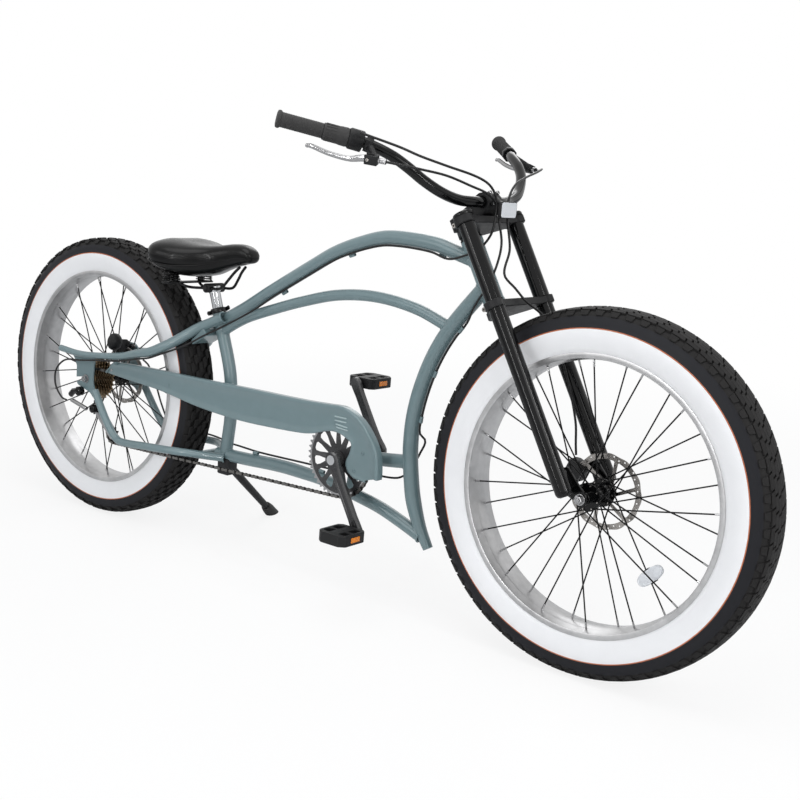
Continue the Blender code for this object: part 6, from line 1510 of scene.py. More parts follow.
    def hub(self) -> None:
        """Barrel between two flanges."""
        low, high = min(self.flanges), max(self.flanges)
        h = 0.0016
        profile = [
            (0.0052, self.ends[0]), (0.0118, self.ends[0]), (0.0125, self.ends[0] + 0.0008),
            (0.0125, low - h), (0.0282, low - h), (0.029, low - h + 0.0006), (0.029, low + h - 0.0006),
            (0.0282, low + h), (0.019, low + h), (0.0155, low + h + 0.004), (0.0148, (low + high) / 2),
            (0.0155, high - h - 0.004), (0.019, high - h), (0.0282, high - h), (0.029, high - h + 0.0006),
            (0.029, high + h - 0.0006), (0.0282, high + h), (0.0165, high + h),
            (0.0165, self.ends[1] - 0.001), (0.0155, self.ends[1]), (0.0052, self.ends[1])]
        self.piece(self.name + "_hub_barrel", drawn(revolve, profile, self.centre, ACROSS, 48), GLOSS_BLACK,
                   [self.name + "_hub"])

    def spokes(self) -> None:
        """Crossed black spokes with bright nipples, and their heads in the flanges."""
        rim_radius = 0.2716
        swing = math.tau * 3 / 16
        wires, nipples, heads = [], [], []
        for i in range(SPOKE_COUNT):
            flange_y = self.flanges[i % 2]
            outward = 1 if (i // 2) % 2 else -1
            rim_angle = math.tau * (i + 0.5) / SPOKE_COUNT
            hub_angle = rim_angle + outward * swing * 0.93
            hub = self.centre + round_axle(hub_angle) * 0.0245
            hub += ACROSS * (flange_y + outward * 0.00145)
            end = self.centre + round_axle(rim_angle) * rim_radius
            end += ACROSS * (math.copysign(0.018, flange_y) + outward * 0.00145)
            along = (end - hub).normalized()
            wires.append([tuple(hub), tuple(end)])
            nipples.append([tuple(end - along * 0.0135), tuple(end - along * 0.0002)])
            heads.append([tuple(hub - ACROSS * 0.003), tuple(hub + ACROSS * 0.003)])
        self.wires(self.name + "_spokes", wires, 0.00155, 10, SPOKE_BLACK)
        self.wires(self.name + "_nipples", nipples, 0.0021, 8, POLISHED)
        self.wires(self.name + "_spoke_heads", heads, 0.0017, 8, STEEL)

    def rotor(self) -> None:
        """Wavy rotor with slanted arms, drilled round its band, and its bolts."""
        outer = []
        for k in range(144):
            angle = math.tau * k / 144
            radius = 0.0799 - 0.0011 * (1 - math.cos(angle * 12))
            outer.append(polar(radius, angle))
        holes = [arc(0.0168, 24)]
        for arm in range(6):
            start = 360 * arm / 6
            holes.append(rounded(arc(0.067, 8, (0, 0), start + 19.5, start + 72.5)
                                 + arc(0.024, 3, (0, 0), start + 48.5, start + 7.0), 0.003, 3))
        for k in range(36):
            radius = 0.0712 if k % 2 else 0.0752
            angle = math.tau * (k + 0.25) / 36
            holes.append(arc(0.0019, 8, polar(radius, angle)))
        bm = drawn(plate, outer, 0.0019, side_frame(self.rotor_offset + 0.00095, self.centre), holes)
        self.piece(self.name + "_rotor_ground", bm, STEEL, [self.name + "_rotor"])
        template = drawn(socket_bolt, Vector(), UPWARD, 0.0034, 0.0022)
        places = []
        for k in range(6):
            angle = math.tau * (k + 0.17) / 6
            origin = self.centre + round_axle(angle) * 0.0205
            places.append(axes_at(origin + ACROSS * (self.rotor_offset + 0.0009), ACROSS))
        self.copies(self.name + "_rotor_bolts", places, template, DARK_STEEL)

    def axle_set(self) -> None:
        """Axle, lock nuts, washers and the nuts outside the dropouts."""
        inner, outer, radius = self.axle
        low, high = self.ends[0] - 0.0005, self.ends[1] + 0.0005
        washer, nut = outer + 0.0003, outer + 0.0019
        end = nut + 0.0085
        bm = drawn(rod, self.centre - ACROSS * (end + 0.0029), self.centre + ACROSS * (end + 0.0029),
                   radius, 20, 0.0008)
        for sense in (-1, 1):
            near = abs(high if sense > 0 else low)
            for r, a, b, sides in ((0.0116, washer, nut, 32), (0.0082, near, inner - 0.0003, 32)):
                if b > a:
                    ring = [(radius - 0.0003, sense * a), (r - 0.0004, sense * a),
                            (r, sense * (a + 0.0004)), (r, sense * (b - 0.0004)), (r - 0.0004, sense * b),
                            (radius - 0.0003, sense * b)]
                    revolve(bm, ring, self.centre, ACROSS, sides)
            six = [(radius - 0.0003, sense * nut), (0.009, sense * nut), (0.009, sense * (end - 0.001)),
                   (0.008, sense * end), (radius - 0.0003, sense * end)]
            revolve(bm, six, self.centre, ACROSS, 6)
        self.piece(self.name + "_axle_nuts", bm, POLISHED, [self.name + "_axle"], body=self.axle_body,
                   smooth=25)


@dataclass
class WheelReflector(Assembly):
    """Clear lens clipped between the front wheel's spokes."""

    body: str = "front_wheel"
    spot: Vector = Vector((0.139, 0.0, -0.132))
    half_length: float = 0.031
    half_height: float = 0.014
    thickness: float = 0.009

    def build(self) -> None:
        """Make the lens and its dark clip."""
        radial = self.spot.normalized()
        ahead = radial.cross(ACROSS).normalized()
        out = ahead.cross(radial)
        base = frame_of(ahead, radial, out, FRONT_AXLE + self.spot - out * self.thickness / 2)
        outline = []
        for c, s in (polar(1.0, math.tau * k / 36) for k in range(36)):
            outline.append((self.half_length * math.copysign(abs(c) ** 0.8, c),
                            self.half_height * math.copysign(abs(s) ** 0.8, s)))
        self.piece("front_wheel_reflector", drawn(plate, outline, self.thickness, base, edge=0.0016),
                   LENS_CLEAR)
        clip = drawn(block, (-0.0075, -0.015, 0.0005), (0.0075, 0.015, 0.0085), base, 0.0008)
        self.piece("wheel_reflector_clip", clip, MATTE_BLACK)


@dataclass
class Fork(Assembly):
    """Double-crown fork: gloss black legs and steerer in dull black crowns."""

    body: str = "steering_assembly"
    leg_ahead: float = 0.0566
    leg_spread: float = 0.0914
    leg_radius: float = 0.017
    upper_low: float = 0.5905
    lower_low: float = 0.4095
    thickness: float = 0.016

    def build(self) -> None:
        """Make legs, crowns, steerer and their bolts."""
        for side, name in ((-1, "right"), (1, "left")):
            self.leg(side, name)
        for name, low in (("upper_crown", self.upper_low), ("lower_crown", self.lower_low)):
            self.crown(name, low)
        self.piece("steerer", drawn(rod, on_steering(self.lower_low + 0.002),
                                    on_steering(self.upper_low + self.thickness), 0.0141, 40), GLOSS_BLACK)

    def leg(self, side: int, name: str) -> None:
        """One leg with its cap, and the plate that holds the axle.

        Args:
            side: 1 for the left and -1 for the right.
            name: The piece's name, or its side's.
        """
        top = self.upper_low + self.thickness
        bm = bmesh.new()
        profile = [(0, 0.014), (0.0095, 0.014), (0.014, 0.0165), (0.0166, 0.021), (0.017, 0.026),
                   (0.017, top + 0.0003), (0.0208, top + 0.0003), (0.0214, top + 0.0012),
                   (0.0214, top + 0.0052), (0.02, top + 0.0075), (0.014, top + 0.0098), (0.007, top + 0.01),
                   (0.0065, top + 0.0088), (0, top + 0.0088)]
        revolve(bm, profile, on_steering(0, self.leg_ahead, side * self.leg_spread), STEER_UP, 48)
        self.piece("fork_leg_" + name + "_tube", bm, GLOSS_BLACK, ["fork_leg_" + name])
        tab = mm((79.9, -8), (82.9, 4), (76.9, 22), (66.6, 70), (46.6, 70), (44.6, 22), (52.9, 2),
                 (57.9, -12), (69.9, -16))
        outer = 0.061 if side > 0 else -0.055
        base = frame_of(STEER_AHEAD, STEER_UP, -ACROSS, STEER_FOOT + ACROSS * outer)
        bm = drawn(plate, rounded(tab, 0.005, 4), 0.006, base, [arc(0.0052, 20, (0.0669, 0.0))], 0.001)
        near, far = sorted((side * 0.056, side * 0.0846))
        block(bm, (0.0488, 0.0265, near), (0.0641, 0.0655, far),
              frame_of(STEER_AHEAD, STEER_UP, ACROSS, STEER_FOOT), 0.002)
        self.piece("fork_dropout_" + name, bm, GLOSS_BLACK)

    def crown(self, name: str, low: float) -> None:
        """One crown plate with its clamps and pinch bolts.

        Args:
            name: The piece's name, or its side's.
            low: Height of its underside.
        """
        clamp = self.leg_radius + 0.0055
        front = self.leg_ahead + 0.009
        left = arc(clamp, 18, (self.leg_ahead, self.leg_spread), 22, 205)
        boss = arc(0.024, 12, (0.0, 0.0), 120, 240)
        right = arc(clamp, 18, (self.leg_ahead, -self.leg_spread), 155, 338)
        outline = [(front, 0.03), (front, self.leg_spread - clamp), *left, *boss, *right,
                   (front, clamp - self.leg_spread), (front, -0.03)]
        base = frame_of(STEER_AHEAD, ACROSS, STEER_UP, on_steering(low))
        holes = [arc(0.0171, 32, (self.leg_ahead, side * self.leg_spread)) for side in (-1, 1)]
        if name == "upper_crown":
            holes.append(arc(0.0144, 32))
        self.piece(name + "_plate", drawn(plate, outline, self.thickness, base, holes, 0.0014), MATTE_BLACK,
                   [name])
        bm = bmesh.new()
        for side in (-1, 1):
            back = self.leg_ahead - clamp - 0.003
            start = on_steering(low + self.thickness / 2, back, side * (self.leg_spread - 0.0078))
            socket_bolt(bm, start + ACROSS * side * 0.0075, ACROSS * side, 0.005, 0.007)
            rod(bm, start, start + ACROSS * side * 0.0075, 0.0048, 20, 0.0006)
        self.piece(name + "_pinch_bolts", bm, STEEL)


@dataclass
class Handlebar(Assembly):
    """Swept bar, stem, grips, levers, gear shifter and front reflector."""

    body: str = "steering_assembly"
    radius: float = 0.0111
    ahead: float = 0.0666
    height: float = 0.6352
    crown_top: float = 0.6065
    line: Line = mm(
        (428, 0, 925), (428, 48, 925), (418, 90, 927), (408, 138, 939), (391, 176, 959), (372, 206, 982),
        (348, 229, 1002), (313, 257, 1020), (291.5, 279.1, 1027.4), (244.1, 329, 1040.3), (190, 386, 1055))
    right_grip: float = 0.087
    left_grip: float = 0.13
    twist_length: float = 0.05
    housing_length: float = 0.03
    clamp_length: float = 0.014

    def half(self, side: int, count: int = 13) -> list:
        """Half of the bar from its end to its middle."""
        return mirrored(spread(self.line, count)[::-1], side)

    def build(self) -> None:
        """Make every piece on the bar."""
        whole = self.half(-1, 61)[:-1] + self.half(1, 61)[::-1]
        self.piece("handlebar_tube", drawn(sweep, with_radius(whole, self.radius), 28, UPWARD), GLOSS_BLACK,
                   ["handlebar"])
        self.stem()
        self.grip(-1, "right", self.right_grip)
        self.grip(1, "left", self.left_grip)
        self.twist()
        for side, name in ((-1, "right"), (1, "left")):
            self.lever(side, name)
        self.reflector()

    def stem(self) -> None:
        """Short block stem with its face bolts."""
        self.rounded_solid("stem", MATTE_BLACK, 0.0022)
        bm = bmesh.new()
        clamp = self.radius + 0.0085
        for side in (-1, 1):
            for share in (-0.6, 0.6):
                start = on_steering(
                    self.height + share * clamp, self.ahead + clamp * 0.7 + 0.0062, side * 0.014)
                socket_bolt(bm, start, STEER_AHEAD, 0.0042, 0.0034)
        self.piece("stem_face_bolts", bm, POLISHED)
        bm = bmesh.new()
        top = on_steering(self.crown_top + 0.0278)
        socket_bolt(bm, top, STEER_UP, 0.0105, 0.0035)
        self.piece("stem_cap", bm, GLOSS_BLACK)

    def on_bar(self, side: int, distance: float) -> tuple[Vector, Vector, Vector, Vector]:
        """Point on the bar, the way to its middle, and the two ways across it.

        Args:
            side: 1 for the left and -1 for the right.
            distance: How far from the bar's end.

        Returns:
            The point and the three directions.
        """
        line = stretch(self.half(side), distance - 0.004, distance + 0.004)
        low, high = Vector(line[0][:3]), Vector(line[-1][:3])
        inward = (high - low).normalized()
        forward = (Vector((1.0, 0.0, 0.0)) - inward * inward.x).normalized()
        return (low + high) / 2, inward, forward, forward.cross(inward) * -side

    def grip(self, side: int, name: str, length: float) -> None:
        """Rubber grip with an end flange and rings of ribs.

        Args:
            side: 1 for the left and -1 for the right.
            name: The piece's name, or its side's.
            length: The grip's length.
        """
        line = with_radius(self.half(side, 61), 0.0143)
        end, nearer = Vector(line[0][:3]), Vector(line[1][:3])
        outward = (end - nearer).normalized()
        flange = mm((4.6, 12), (3.4, 16), (1, 17.2), (-2.4, 17.2), (-4.2, 16), (-5.2, 14.6))
        skin = [(*(end + outward * out), radius) for out, radius in flange]
        skin += stretch(line, 0.01, length)
        self.piece("grip_" + name + "_rubber", drawn(sweep, skin, 32, UPWARD), GRIP_RUBBER,
                   ["grip_" + name])
        self.ribs("grip_" + name + "_ribs", side, 0.012, length - 0.002, 0.0032, 0.0142, 0.00075, self.body)

    def ribs(self, name: str, side: int, start: float, end: float, pitch: float, radius: float, size: float,
             body: str) -> None:
        """Raised rings round the bar between two distances from its end.

        Args:
            name: The piece's name, or its side's.
            side: 1 for the left and -1 for the right.
            start: Where it starts.
            end: Where it ends.
            pitch: Distance between two rings.
            radius: Radius of their feet.
            size: Half of a ring's width.
            body: The body that they ride on.
        """
        template = bmesh.new()
        profile = [(radius - size, -size), (radius + size * 0.55, -size * 0.6), (radius + size * 0.9, 0.0),
                   (radius + size * 0.55, size * 0.6), (radius - size, size)]
        revolve(template, profile, Vector(), UPWARD, 24)
        places = []
        count = int((end - start) / pitch)
        for k in range(count + 1):
            point, inward, _, _ = self.on_bar(side, max(0.0045, start + (end - start) * k / count))
            places.append(axes_at(point, inward, UPWARD))
        self.copies(name, places, template, GRIP_RUBBER, body=body)

    def twist(self) -> None:
        """Twist grip with lengthwise ribs, and the shifter's housing beside it."""
        start = self.right_grip + 0.0005
        middle = start + self.twist_length / 2
        point, inward, forward, upward = self.on_bar(-1, middle)
        half = self.twist_length / 2 - 0.0004
        bm = bmesh.new()
        profile = [(0.013, -half), (0.0156, -half), (0.0163, -half + 0.0015), (0.0166, 0.0),
                   (0.018, 0.45 * half), (0.0184, half - 0.003), (0.0176, half), (0.013, half)]
        revolve(bm, profile, point, inward, 40)
        self.piece("twist_grip_sleeve", bm, GRIP_RUBBER, ["twist_grip"], body="shift_grip")
        template = drawn(block, (-0.0009, -0.003, -half + 0.004), (0.0009, 0.0, 0.3 * half), edge=0.0003)
        base = axes_at(point, inward)
        places = []
        for k in range(18):
            turn = Matrix.Rotation(math.tau * k / 18, 4, "Z") @ Matrix.Translation((0.0, 0.0174, 0.0))
            places.append(base @ turn)
        self.copies("twist_grip_ribs", places, template, GRIP_RUBBER, body="shift_grip")
        housing = start + self.twist_length + 0.0005
        line = with_radius(self.half(-1, 61), self.radius)
        bm = bmesh.new()
        piece = stretch(line, housing, housing + self.housing_length)
        rings = []
        for i, station in enumerate(piece):
            radius = 0.0182 if i in (0, len(piece) - 1) else 0.0204
            rings.append((*station[:3], radius))
        sweep(bm, rings, 36, UPWARD)
        self.piece("shifter_housing_shell", bm, MATTE_BLACK, ["shifter_housing"], bevel=0.0012)
        bm = bmesh.new()
        place, along, ahead, up = self.on_bar(-1, housing + self.housing_length / 2)
        base = frame_of(along, up.cross(along), up, place + up * 0.0172)
        block(bm, (-0.01, -0.0055, 0.0), (0.01, 0.0055, 0.0026), base, 0.0008)
        self.piece("shifter_window", bm, LENS_CLEAR)

    def clamp_start(self, side: int) -> float:
        """Where the brake lever's clamp starts on the bar.

        Args:
            side: 1 for the left and -1 for the right.

        Returns:
            The distance from the bar's end.
        """
        if side > 0:
            return self.left_grip + 0.006
        return self.right_grip + self.twist_length + self.housing_length + 0.0055

    def lever_axes(self, side: int) -> tuple[Vector, Vector, Vector, Vector, float, Vector]:
        """A brake lever's pivot, line, pull, hinge, length and clamp middle.

        Args:
            side: 1 for the left and -1 for the right.

        Returns:
            These six, in this order.
        """
        distance = self.clamp_start(side) + self.clamp_length / 2
        clamp = self.on_bar(side, distance)[0]
        grip = self.on_bar(side, max(distance - 0.137, 0.004))[0]
        pivot = clamp + Vector((0.029, 0.033 * side, -0.027))
        tip = grip + Vector((0.003, -0.015 * side, -0.04))
        along = (tip - pivot).normalized()
        pull = grip - tip
        pull = (pull - along * pull.dot(along)).normalized()
        return pivot, along, pull, along.cross(pull), (tip - pivot).length, clamp

    def lever(self, side: int, name: str) -> None:
        """Polished blade with a ball tip, in a black bracket with a bright barrel adjuster.

        Args:
            side: 1 for the left and -1 for the right.
            name: The piece's name, or its side's.
        """
        pivot, along, pull, axis, length, clamp = self.lever_axes(side)
        self.rounded_solid("brake_bracket_" + name, MATTE_BLACK, 0.0011)
        line = [(-0.004, 0.0), (0.012, -0.001), (0.3 * length, -0.007), (0.62 * length, -0.004),
                (length - 0.012, 0.004), (length - 0.0045, 0.0034)]
        radii = [(0.0062, 0.0036), (0.0068, 0.0037), (0.0054, 0.0033), (0.005, 0.0032), (0.0046, 0.0032),
                 (0.0034, 0.0028)]
        stations = spread([(*(pivot + along * u + pull * v), *r) for (u, v), r in zip(line, radii)], 40)
        bm = drawn(sweep, stations, 20, pull)
        ball(bm, pivot + along * (length - 0.0042) + pull * 0.0034, 0.0041, 20)
        body = "right_lever" if side < 0 else "left_lever"
        self.piece("brake_lever_" + name + "_blade", bm, POLISHED, ["brake_lever_" + name], body=body)
        barrel = [tuple(pivot - along * reach) for reach in (0.024, 0.0355)]
        bm = drawn(sleeve, barrel, 0.0051, 0.004, 28, pull)
        sleeve(bm, [tuple(pivot - along * 0.0195), tuple(pivot - along * 0.0228)], 0.0055, 0.004, 6, pull)
        self.piece("barrel_adjuster_" + name, bm, POLISHED, smooth=25)
        bm = drawn(socket_bolt, pivot + axis * 0.0083, axis, 0.0034, 0.0016)
        socket_bolt(bm, pivot - axis * 0.0083, -axis, 0.0034, 0.0016)
        self.piece("lever_pivot_" + name, bm, STEEL)

    def reflector(self) -> None:
        """Clear reflector in a black tray ahead of the bar's clamp."""
        self.rounded_solid("front_reflector", MATTE_BLACK, 0.0006, name="front_reflector_tray")
        centre = on_steering(self.height - 0.033, self.ahead + 0.033)
        base = axes_at(centre + Vector((0.0067, 0.0, 0.0)), Vector((1.0, 0.0, 0.0)), ACROSS)
        corners = mm((-27.5, -15), (27.5, -15), (27.5, 15), (-27.5, 15))
        outline = rounded(corners, 0.006, 6)
        self.piece("front_reflector_lens", drawn(plate, outline, 0.001, base, edge=0.0004), LENS_CLEAR)


@dataclass
class Brakes(Assembly):
    """Cable disc calipers and the arms that the cables pull."""

    bolt_reach: float = 0.079
    bolt_radius: float = 0.0048
    bolt_height: float = 0.002

    def build(self) -> None:
        """Make both calipers."""
        for name, body, arm in (
                ("front_caliper", "steering_assembly", "front_arm"), ("rear_caliper", "frame", "rear_arm")):
            self.rounded_solid(name, MATTE_BLACK, 0.0016, body)
            self.rounded_solid(name + "_arm", POLISHED, 0.0006, arm)
        for name, body, centre, degrees, outer in (
                ("front", "front_arm", FRONT_AXLE, 158.0, 0.0735),
                ("rear", "rear_arm", REAR_AXLE, 97.0, 0.062)):
            radial = round_axle(math.radians(degrees))
            seat = centre + radial * self.bolt_reach + ACROSS * (outer + 0.006)
            bolt = drawn(socket_bolt, seat, ACROSS, self.bolt_radius, self.bolt_height)
            self.piece(name + "_arm_bolt", bolt, DARK_STEEL, body=body)


@dataclass
class Drive(Assembly):
    """Chain, chainring, cranks, pedals and sprockets."""

    crank_angle: float = math.radians(-59.7)
    crank_length: float = 0.17
    inner_face: float = 0.079
    thickness: float = 0.014

    def build(self) -> None:
        """Make every piece of the drive."""
        self.freewheel()
        self.chainring()
        for side, name in ((-1, "right"), (1, "left")):
            self.crank(side, name)
            self.pedal(side, name)
        self.chain()

    @staticmethod
    def toothed(teeth: int, rise: float = 0.0028, drop: float = 0.004) -> Outline:
        """Rounded teeth for the chain's pitch.

        Args:
            teeth: How many.
            rise: Height of a tooth over the pitch circle.
            drop: Depth of a gap below it.

        Returns:
            The outline.
        """
        pitch_radius = teeth * CHAIN_PITCH / math.tau
        made = []
        for k in range(teeth):
            for share, lift in ((-0.5, -drop), (-0.3, -drop * 0.75), (-0.12, rise * 0.75), (0.0, rise),
                                (0.12, rise * 0.75), (0.3, -drop * 0.75)):
                angle = math.tau * (k + share) / teeth
                made.append(polar(pitch_radius + lift, angle))
        return made

    def freewheel(self) -> None:
        """Seven sprockets on their carrier."""
        bm = bmesh.new()
        for i, teeth in enumerate(SPROCKET_TEETH):
            y = -(CHAIN_LINE - i * 0.005)
            plate(bm, self.toothed(teeth), 0.0018, side_frame(y + 0.0009, REAR_AXLE), [arc(0.017, 20)])
        revolve(
            bm, mm((5.6, -65.8), (18, -65.8), (18.8, -65), (18.8, -31), (5.6, -31)), REAR_AXLE, ACROSS, 40)
        self.piece("freewheel_sprockets", bm, SPROCKET_STEEL, ["freewheel"], body="sprockets", smooth=25)

    def chainring(self) -> None:
        """Black disc with drop-shaped windows inside a toothed steel ring."""
        windows = []
        for k in range(13):
            angle = math.tau * k / 13
            half = math.pi / 13
            shape = [(0.031, 0.0), (0.045, -0.4), (0.058, -0.64), (0.07, -0.62), (0.0735, -0.34),
                     (0.0735, 0.34), (0.07, 0.62), (0.058, 0.64), (0.045, 0.4)]
            windows.append([polar(r, angle + share * half) for r, share in shape])
        y = -CHAIN_LINE + 0.0012
        bm = drawn(plate, arc(0.0815, 88), 0.0023, side_frame(y, BRACKET), [arc(0.0092, 24)] + windows,
                   0.0003)
        self.piece("chainring_disc", bm, CRANK_BLACK, ["chainring"], body="cranks")
        bm = drawn(plate, self.toothed(RING_TEETH), 0.0021, side_frame(y - 0.0001, BRACKET),
                   [arc(0.08, 88)])
        self.piece("chainring_teeth", bm, POLISHED, body="cranks", smooth=25)

    def tip(self, side: int) -> Vector:
        """Middle of a pedal's axle at the crank's own distance."""
        angle = self.crank_angle if side < 0 else self.crank_angle + math.pi
        return BRACKET + round_axle(angle) * self.crank_length

    def crank(self, side: int, name: str) -> None:
        """Forged arm with bevelled edges and a groove along its face, its bolt and the pedal's axle.

        Args:
            side: 1 for the left and -1 for the right.
            name: The piece's name, or its side's.
        """
        tip = self.tip(side)
        along = (tip - BRACKET).normalized()
        base = frame_of(
            along, along.cross(ACROSS), ACROSS * side, BRACKET + ACROSS * side * self.inner_face)
        rings = []
        for at, half in (
                (-0.0189, 0.003), (-0.017, 0.0085), (-0.012, 0.0147), (-0.004, 0.0186), (0.006, 0.0181),
                (0.018, 0.0155), (0.032, 0.0137), (0.06, 0.0128), (0.1, 0.0122), (0.14, 0.0122),
                (0.156, 0.0134), (0.17, 0.0139), (0.178, 0.0113), (0.183, 0.0052), (0.1839, 0.002)):
            groove = 0.0022 if 0.03 < at < 0.15 else 0.0
            w, t, c = half, self.thickness, min(0.0034, half * 0.4)
            section = [
                (-w, c), (-w + c, 0.0), (w - c, 0.0), (w, c), (w, t - c), (w - c, t), (w * 0.42, t),
                (w * 0.3, t - groove), (-w * 0.3, t - groove), (-w * 0.42, t), (-w + c, t), (-w, t - c)]
            rings.append([base @ Vector((at, u, v)) for u, v in section])
        self.piece("crank_" + name + "_arm", drawn(loft, rings), CRANK_BLACK, ["crank_" + name],
                   body="cranks", smooth=28)
        bm = bmesh.new()
        reach = self.inner_face + self.thickness + 0.006 + 0.085 - 0.022
        rod(bm, tip + ACROSS * side * (self.inner_face + 0.003), tip + ACROSS * side * reach, 0.0047, 24,
            0.0006)
        if side < 0:
            outer = self.inner_face + self.thickness - 0.003
            rod(bm, BRACKET - ACROSS * outer, BRACKET + ACROSS * outer, 0.0084, 32)
        self.piece("crank_" + name + "_axle", bm, STEEL, body="cranks")
        if side < 0:
            self.piece("crank_boss", drawn(rod, BRACKET - ACROSS * 0.0645, BRACKET - ACROSS * 0.082, 0.0175,
                                           40, 0.0008), CRANK_BLACK, body="cranks")
        bm = bmesh.new()
        face = BRACKET + ACROSS * side * (self.inner_face + self.thickness - 0.0004)
        revolve(bm, mm((0, 0), (11.2, 0), (11.2, -0.9), (0, -0.9)), face, -ACROSS * side, 36)
        socket_bolt(bm, face, ACROSS * side, 0.0098, 0.0006)
        self.piece("crank_bolt_" + name, bm, CHROME, body="cranks")

    def pedal(self, side: int, name: str) -> None:
        """Platform pedal with a studded cage and amber reflectors; its axle is drawn with the crank.

        Args:
            side: 1 for the left and -1 for the right.
            name: The piece's name, or its side's.
        """
        tip = self.tip(side)
        inner = self.inner_face + self.thickness + 0.006
        outer = inner + 0.085
        depth, height = 0.039, 0.025
        cage = [(-depth, inner + 0.01), (-depth + 0.01, inner), (depth - 0.01, inner),
                (depth, inner + 0.01), (depth, outer - 0.012), (depth - 0.014, outer),
                (-depth + 0.014, outer), (-depth, outer - 0.012)]
        windows = []
        for ahead in (-1, 1):
            near, far = 0.0125, depth - 0.0085
            middle = (inner + outer) / 2
            for low, high in ((inner + 0.012, middle - 0.003), (middle + 0.003, outer - 0.0145)):
                windows.append(rounded([(ahead * near, low), (ahead * far, low + 0.002),
                                        (ahead * far, high - 0.002), (ahead * near, high)], 0.003, 4))
        base = Matrix(((1, 0, 0, tip.x), (0, side, 0, 0), (0, 0, 1, tip.z - height / 2), (0, 0, 0, 1)))
        bm = drawn(plate, rounded(cage, 0.004, 4), height, base, windows, 0.0014)
        body = name + "_pedal"
        self.piece("pedal_" + name + "_cage", bm, MATTE_BLACK, ["pedal_" + name], body=body)
        bm = bmesh.new()
        for ahead in (-1, 1):
            x = tip.x + ahead * (depth - 0.0007)
            y = side * (inner + outer - 0.002) / 2
            low, high = sorted((x - ahead * 0.0012, x + ahead * 0.0021))
            block(bm, (low, y - 0.0145, tip.z - 0.0056), (high, y + 0.0145, tip.z + 0.0056), edge=0.0005)
        self.piece("pedal_" + name + "_reflectors", bm, LENS_AMBER, body=body)
        stud = mm((0, -1), (1.8, -1), (1.8, 0.6), (1.2, 1.1), (0, 1.1))
        template = drawn(revolve, stud, Vector(), UPWARD, 8)
        places = []
        for level in (-1, 1):
            for ahead in (-1, 1):
                for share in (0.16, 0.34, 0.52, 0.7, 0.86):
                    places.append(Matrix.Translation((
                        tip.x + ahead * (depth - 0.0045), side * (inner + share * 0.085),
                        tip.z + level * (height / 2 - 0.0011))))
        self.copies("pedal_" + name + "_studs", places, template, STEEL, body=body)

    @staticmethod
    def tangent(centre_a: Vector, radius_a: float, centre_b: Vector,
                radius_b: float) -> tuple[Vector, Vector]:
        """Straight run between two wheels; a radius is positive where the chain turns clockwise.

        Args:
            centre_a: Middle of the first wheel.
            radius_a: Its radius.
            centre_b: Middle of the second wheel.
            radius_b: Its radius.

        Returns:
            Where the run leaves the first wheel and meets the second.
        """
        between = centre_b - centre_a
        slope = math.atan2(between.y, between.x) + math.asin((radius_b - radius_a) / between.length)
        right = Vector((math.sin(slope), -math.cos(slope)))
        return centre_a - right * radius_a, centre_b - right * radius_b

    def pins(self) -> tuple[list[Vector], int]:
        """The chain's pins in order from the sprocket, and where the lower run starts.

        Returns:
            The pins and the number of the first one on the lower run.
        """
        wheels = [(REAR_AXLE, SPROCKET_TEETH[0], 1), (BRACKET, RING_TEETH, 1),
                  (TENSION_PULLEY, PULLEY_TEETH, 1), (GUIDE_PULLEY, PULLEY_TEETH, -1)]
        wheels = [(Vector((c.x, c.z)), sense * teeth * CHAIN_PITCH / math.tau, teeth)
                  for c, teeth, sense in wheels]
        runs = [self.tangent(*wheels[i][:2], *wheels[(i + 1) % 4][:2]) for i in range(4)]
        wraps = []
        for i, (centre, radius, teeth) in enumerate(wheels):
            enter, leave = runs[i - 1][1] - centre, runs[i][0] - centre
            first = math.atan2(enter.y, enter.x)
            sense = -1 if radius > 0 else 1
            turn = ((math.atan2(leave.y, leave.x) - first) * sense) % math.tau
            count = round(turn * teeth / math.tau)
            angles = [first + sense * math.tau * k / teeth for k in range(count + 1)]
            wraps.append([centre + Vector((math.cos(a), math.sin(a))) * abs(radius) for a in angles])
        points, split = [], 0
        for i, wrap in enumerate(wraps):
            points += wrap[:-1]
            if i == 1:
                split = len(points)
            start, end = wrap[-1], wraps[(i + 1) % 4][0]
            count = round((end - start).length / CHAIN_PITCH)
            points += [start.lerp(end, k / count) for k in range(count)]
        return points, split

    def chain(self) -> None:
        """Links of both runs: outer plates, inner plates and rollers, set one after the other."""
        points, split = self.pins()
        pairs = list(zip(points, points[1:] + points[:1]))
        runs = (("chain", "chain_links_upper", range(0, split)),
                ("chain_lower_run", "chain_links_lower", range(split, len(points))))
        for solid, name, numbers in runs:
            # The outer plates take the lighter finish as a painted highlight
            for kind, layer, finish in ((0, "inner", DARK_STEEL), (1, "outer", CHAIN_PLATE_PAINTED_HIGHLIGHT)):
                places = []
                for a, b in (pairs[i] for i in numbers if i % 2 == kind):
                    ahead = (b - a).normalized()
                    x = Vector((ahead.x, 0.0, ahead.y))
                    z = Vector((-ahead.y, 0.0, ahead.x))
                    middle = (a + b) / 2
                    places.append(frame_of(x, z.cross(x), z, Vector((middle.x, -CHAIN_LINE, middle.y))))
                self.copies(f"{name}_{layer}", places, self.link(kind), finish, body="frame",
                            stands_for=[] if kind else [solid], smooth=30)

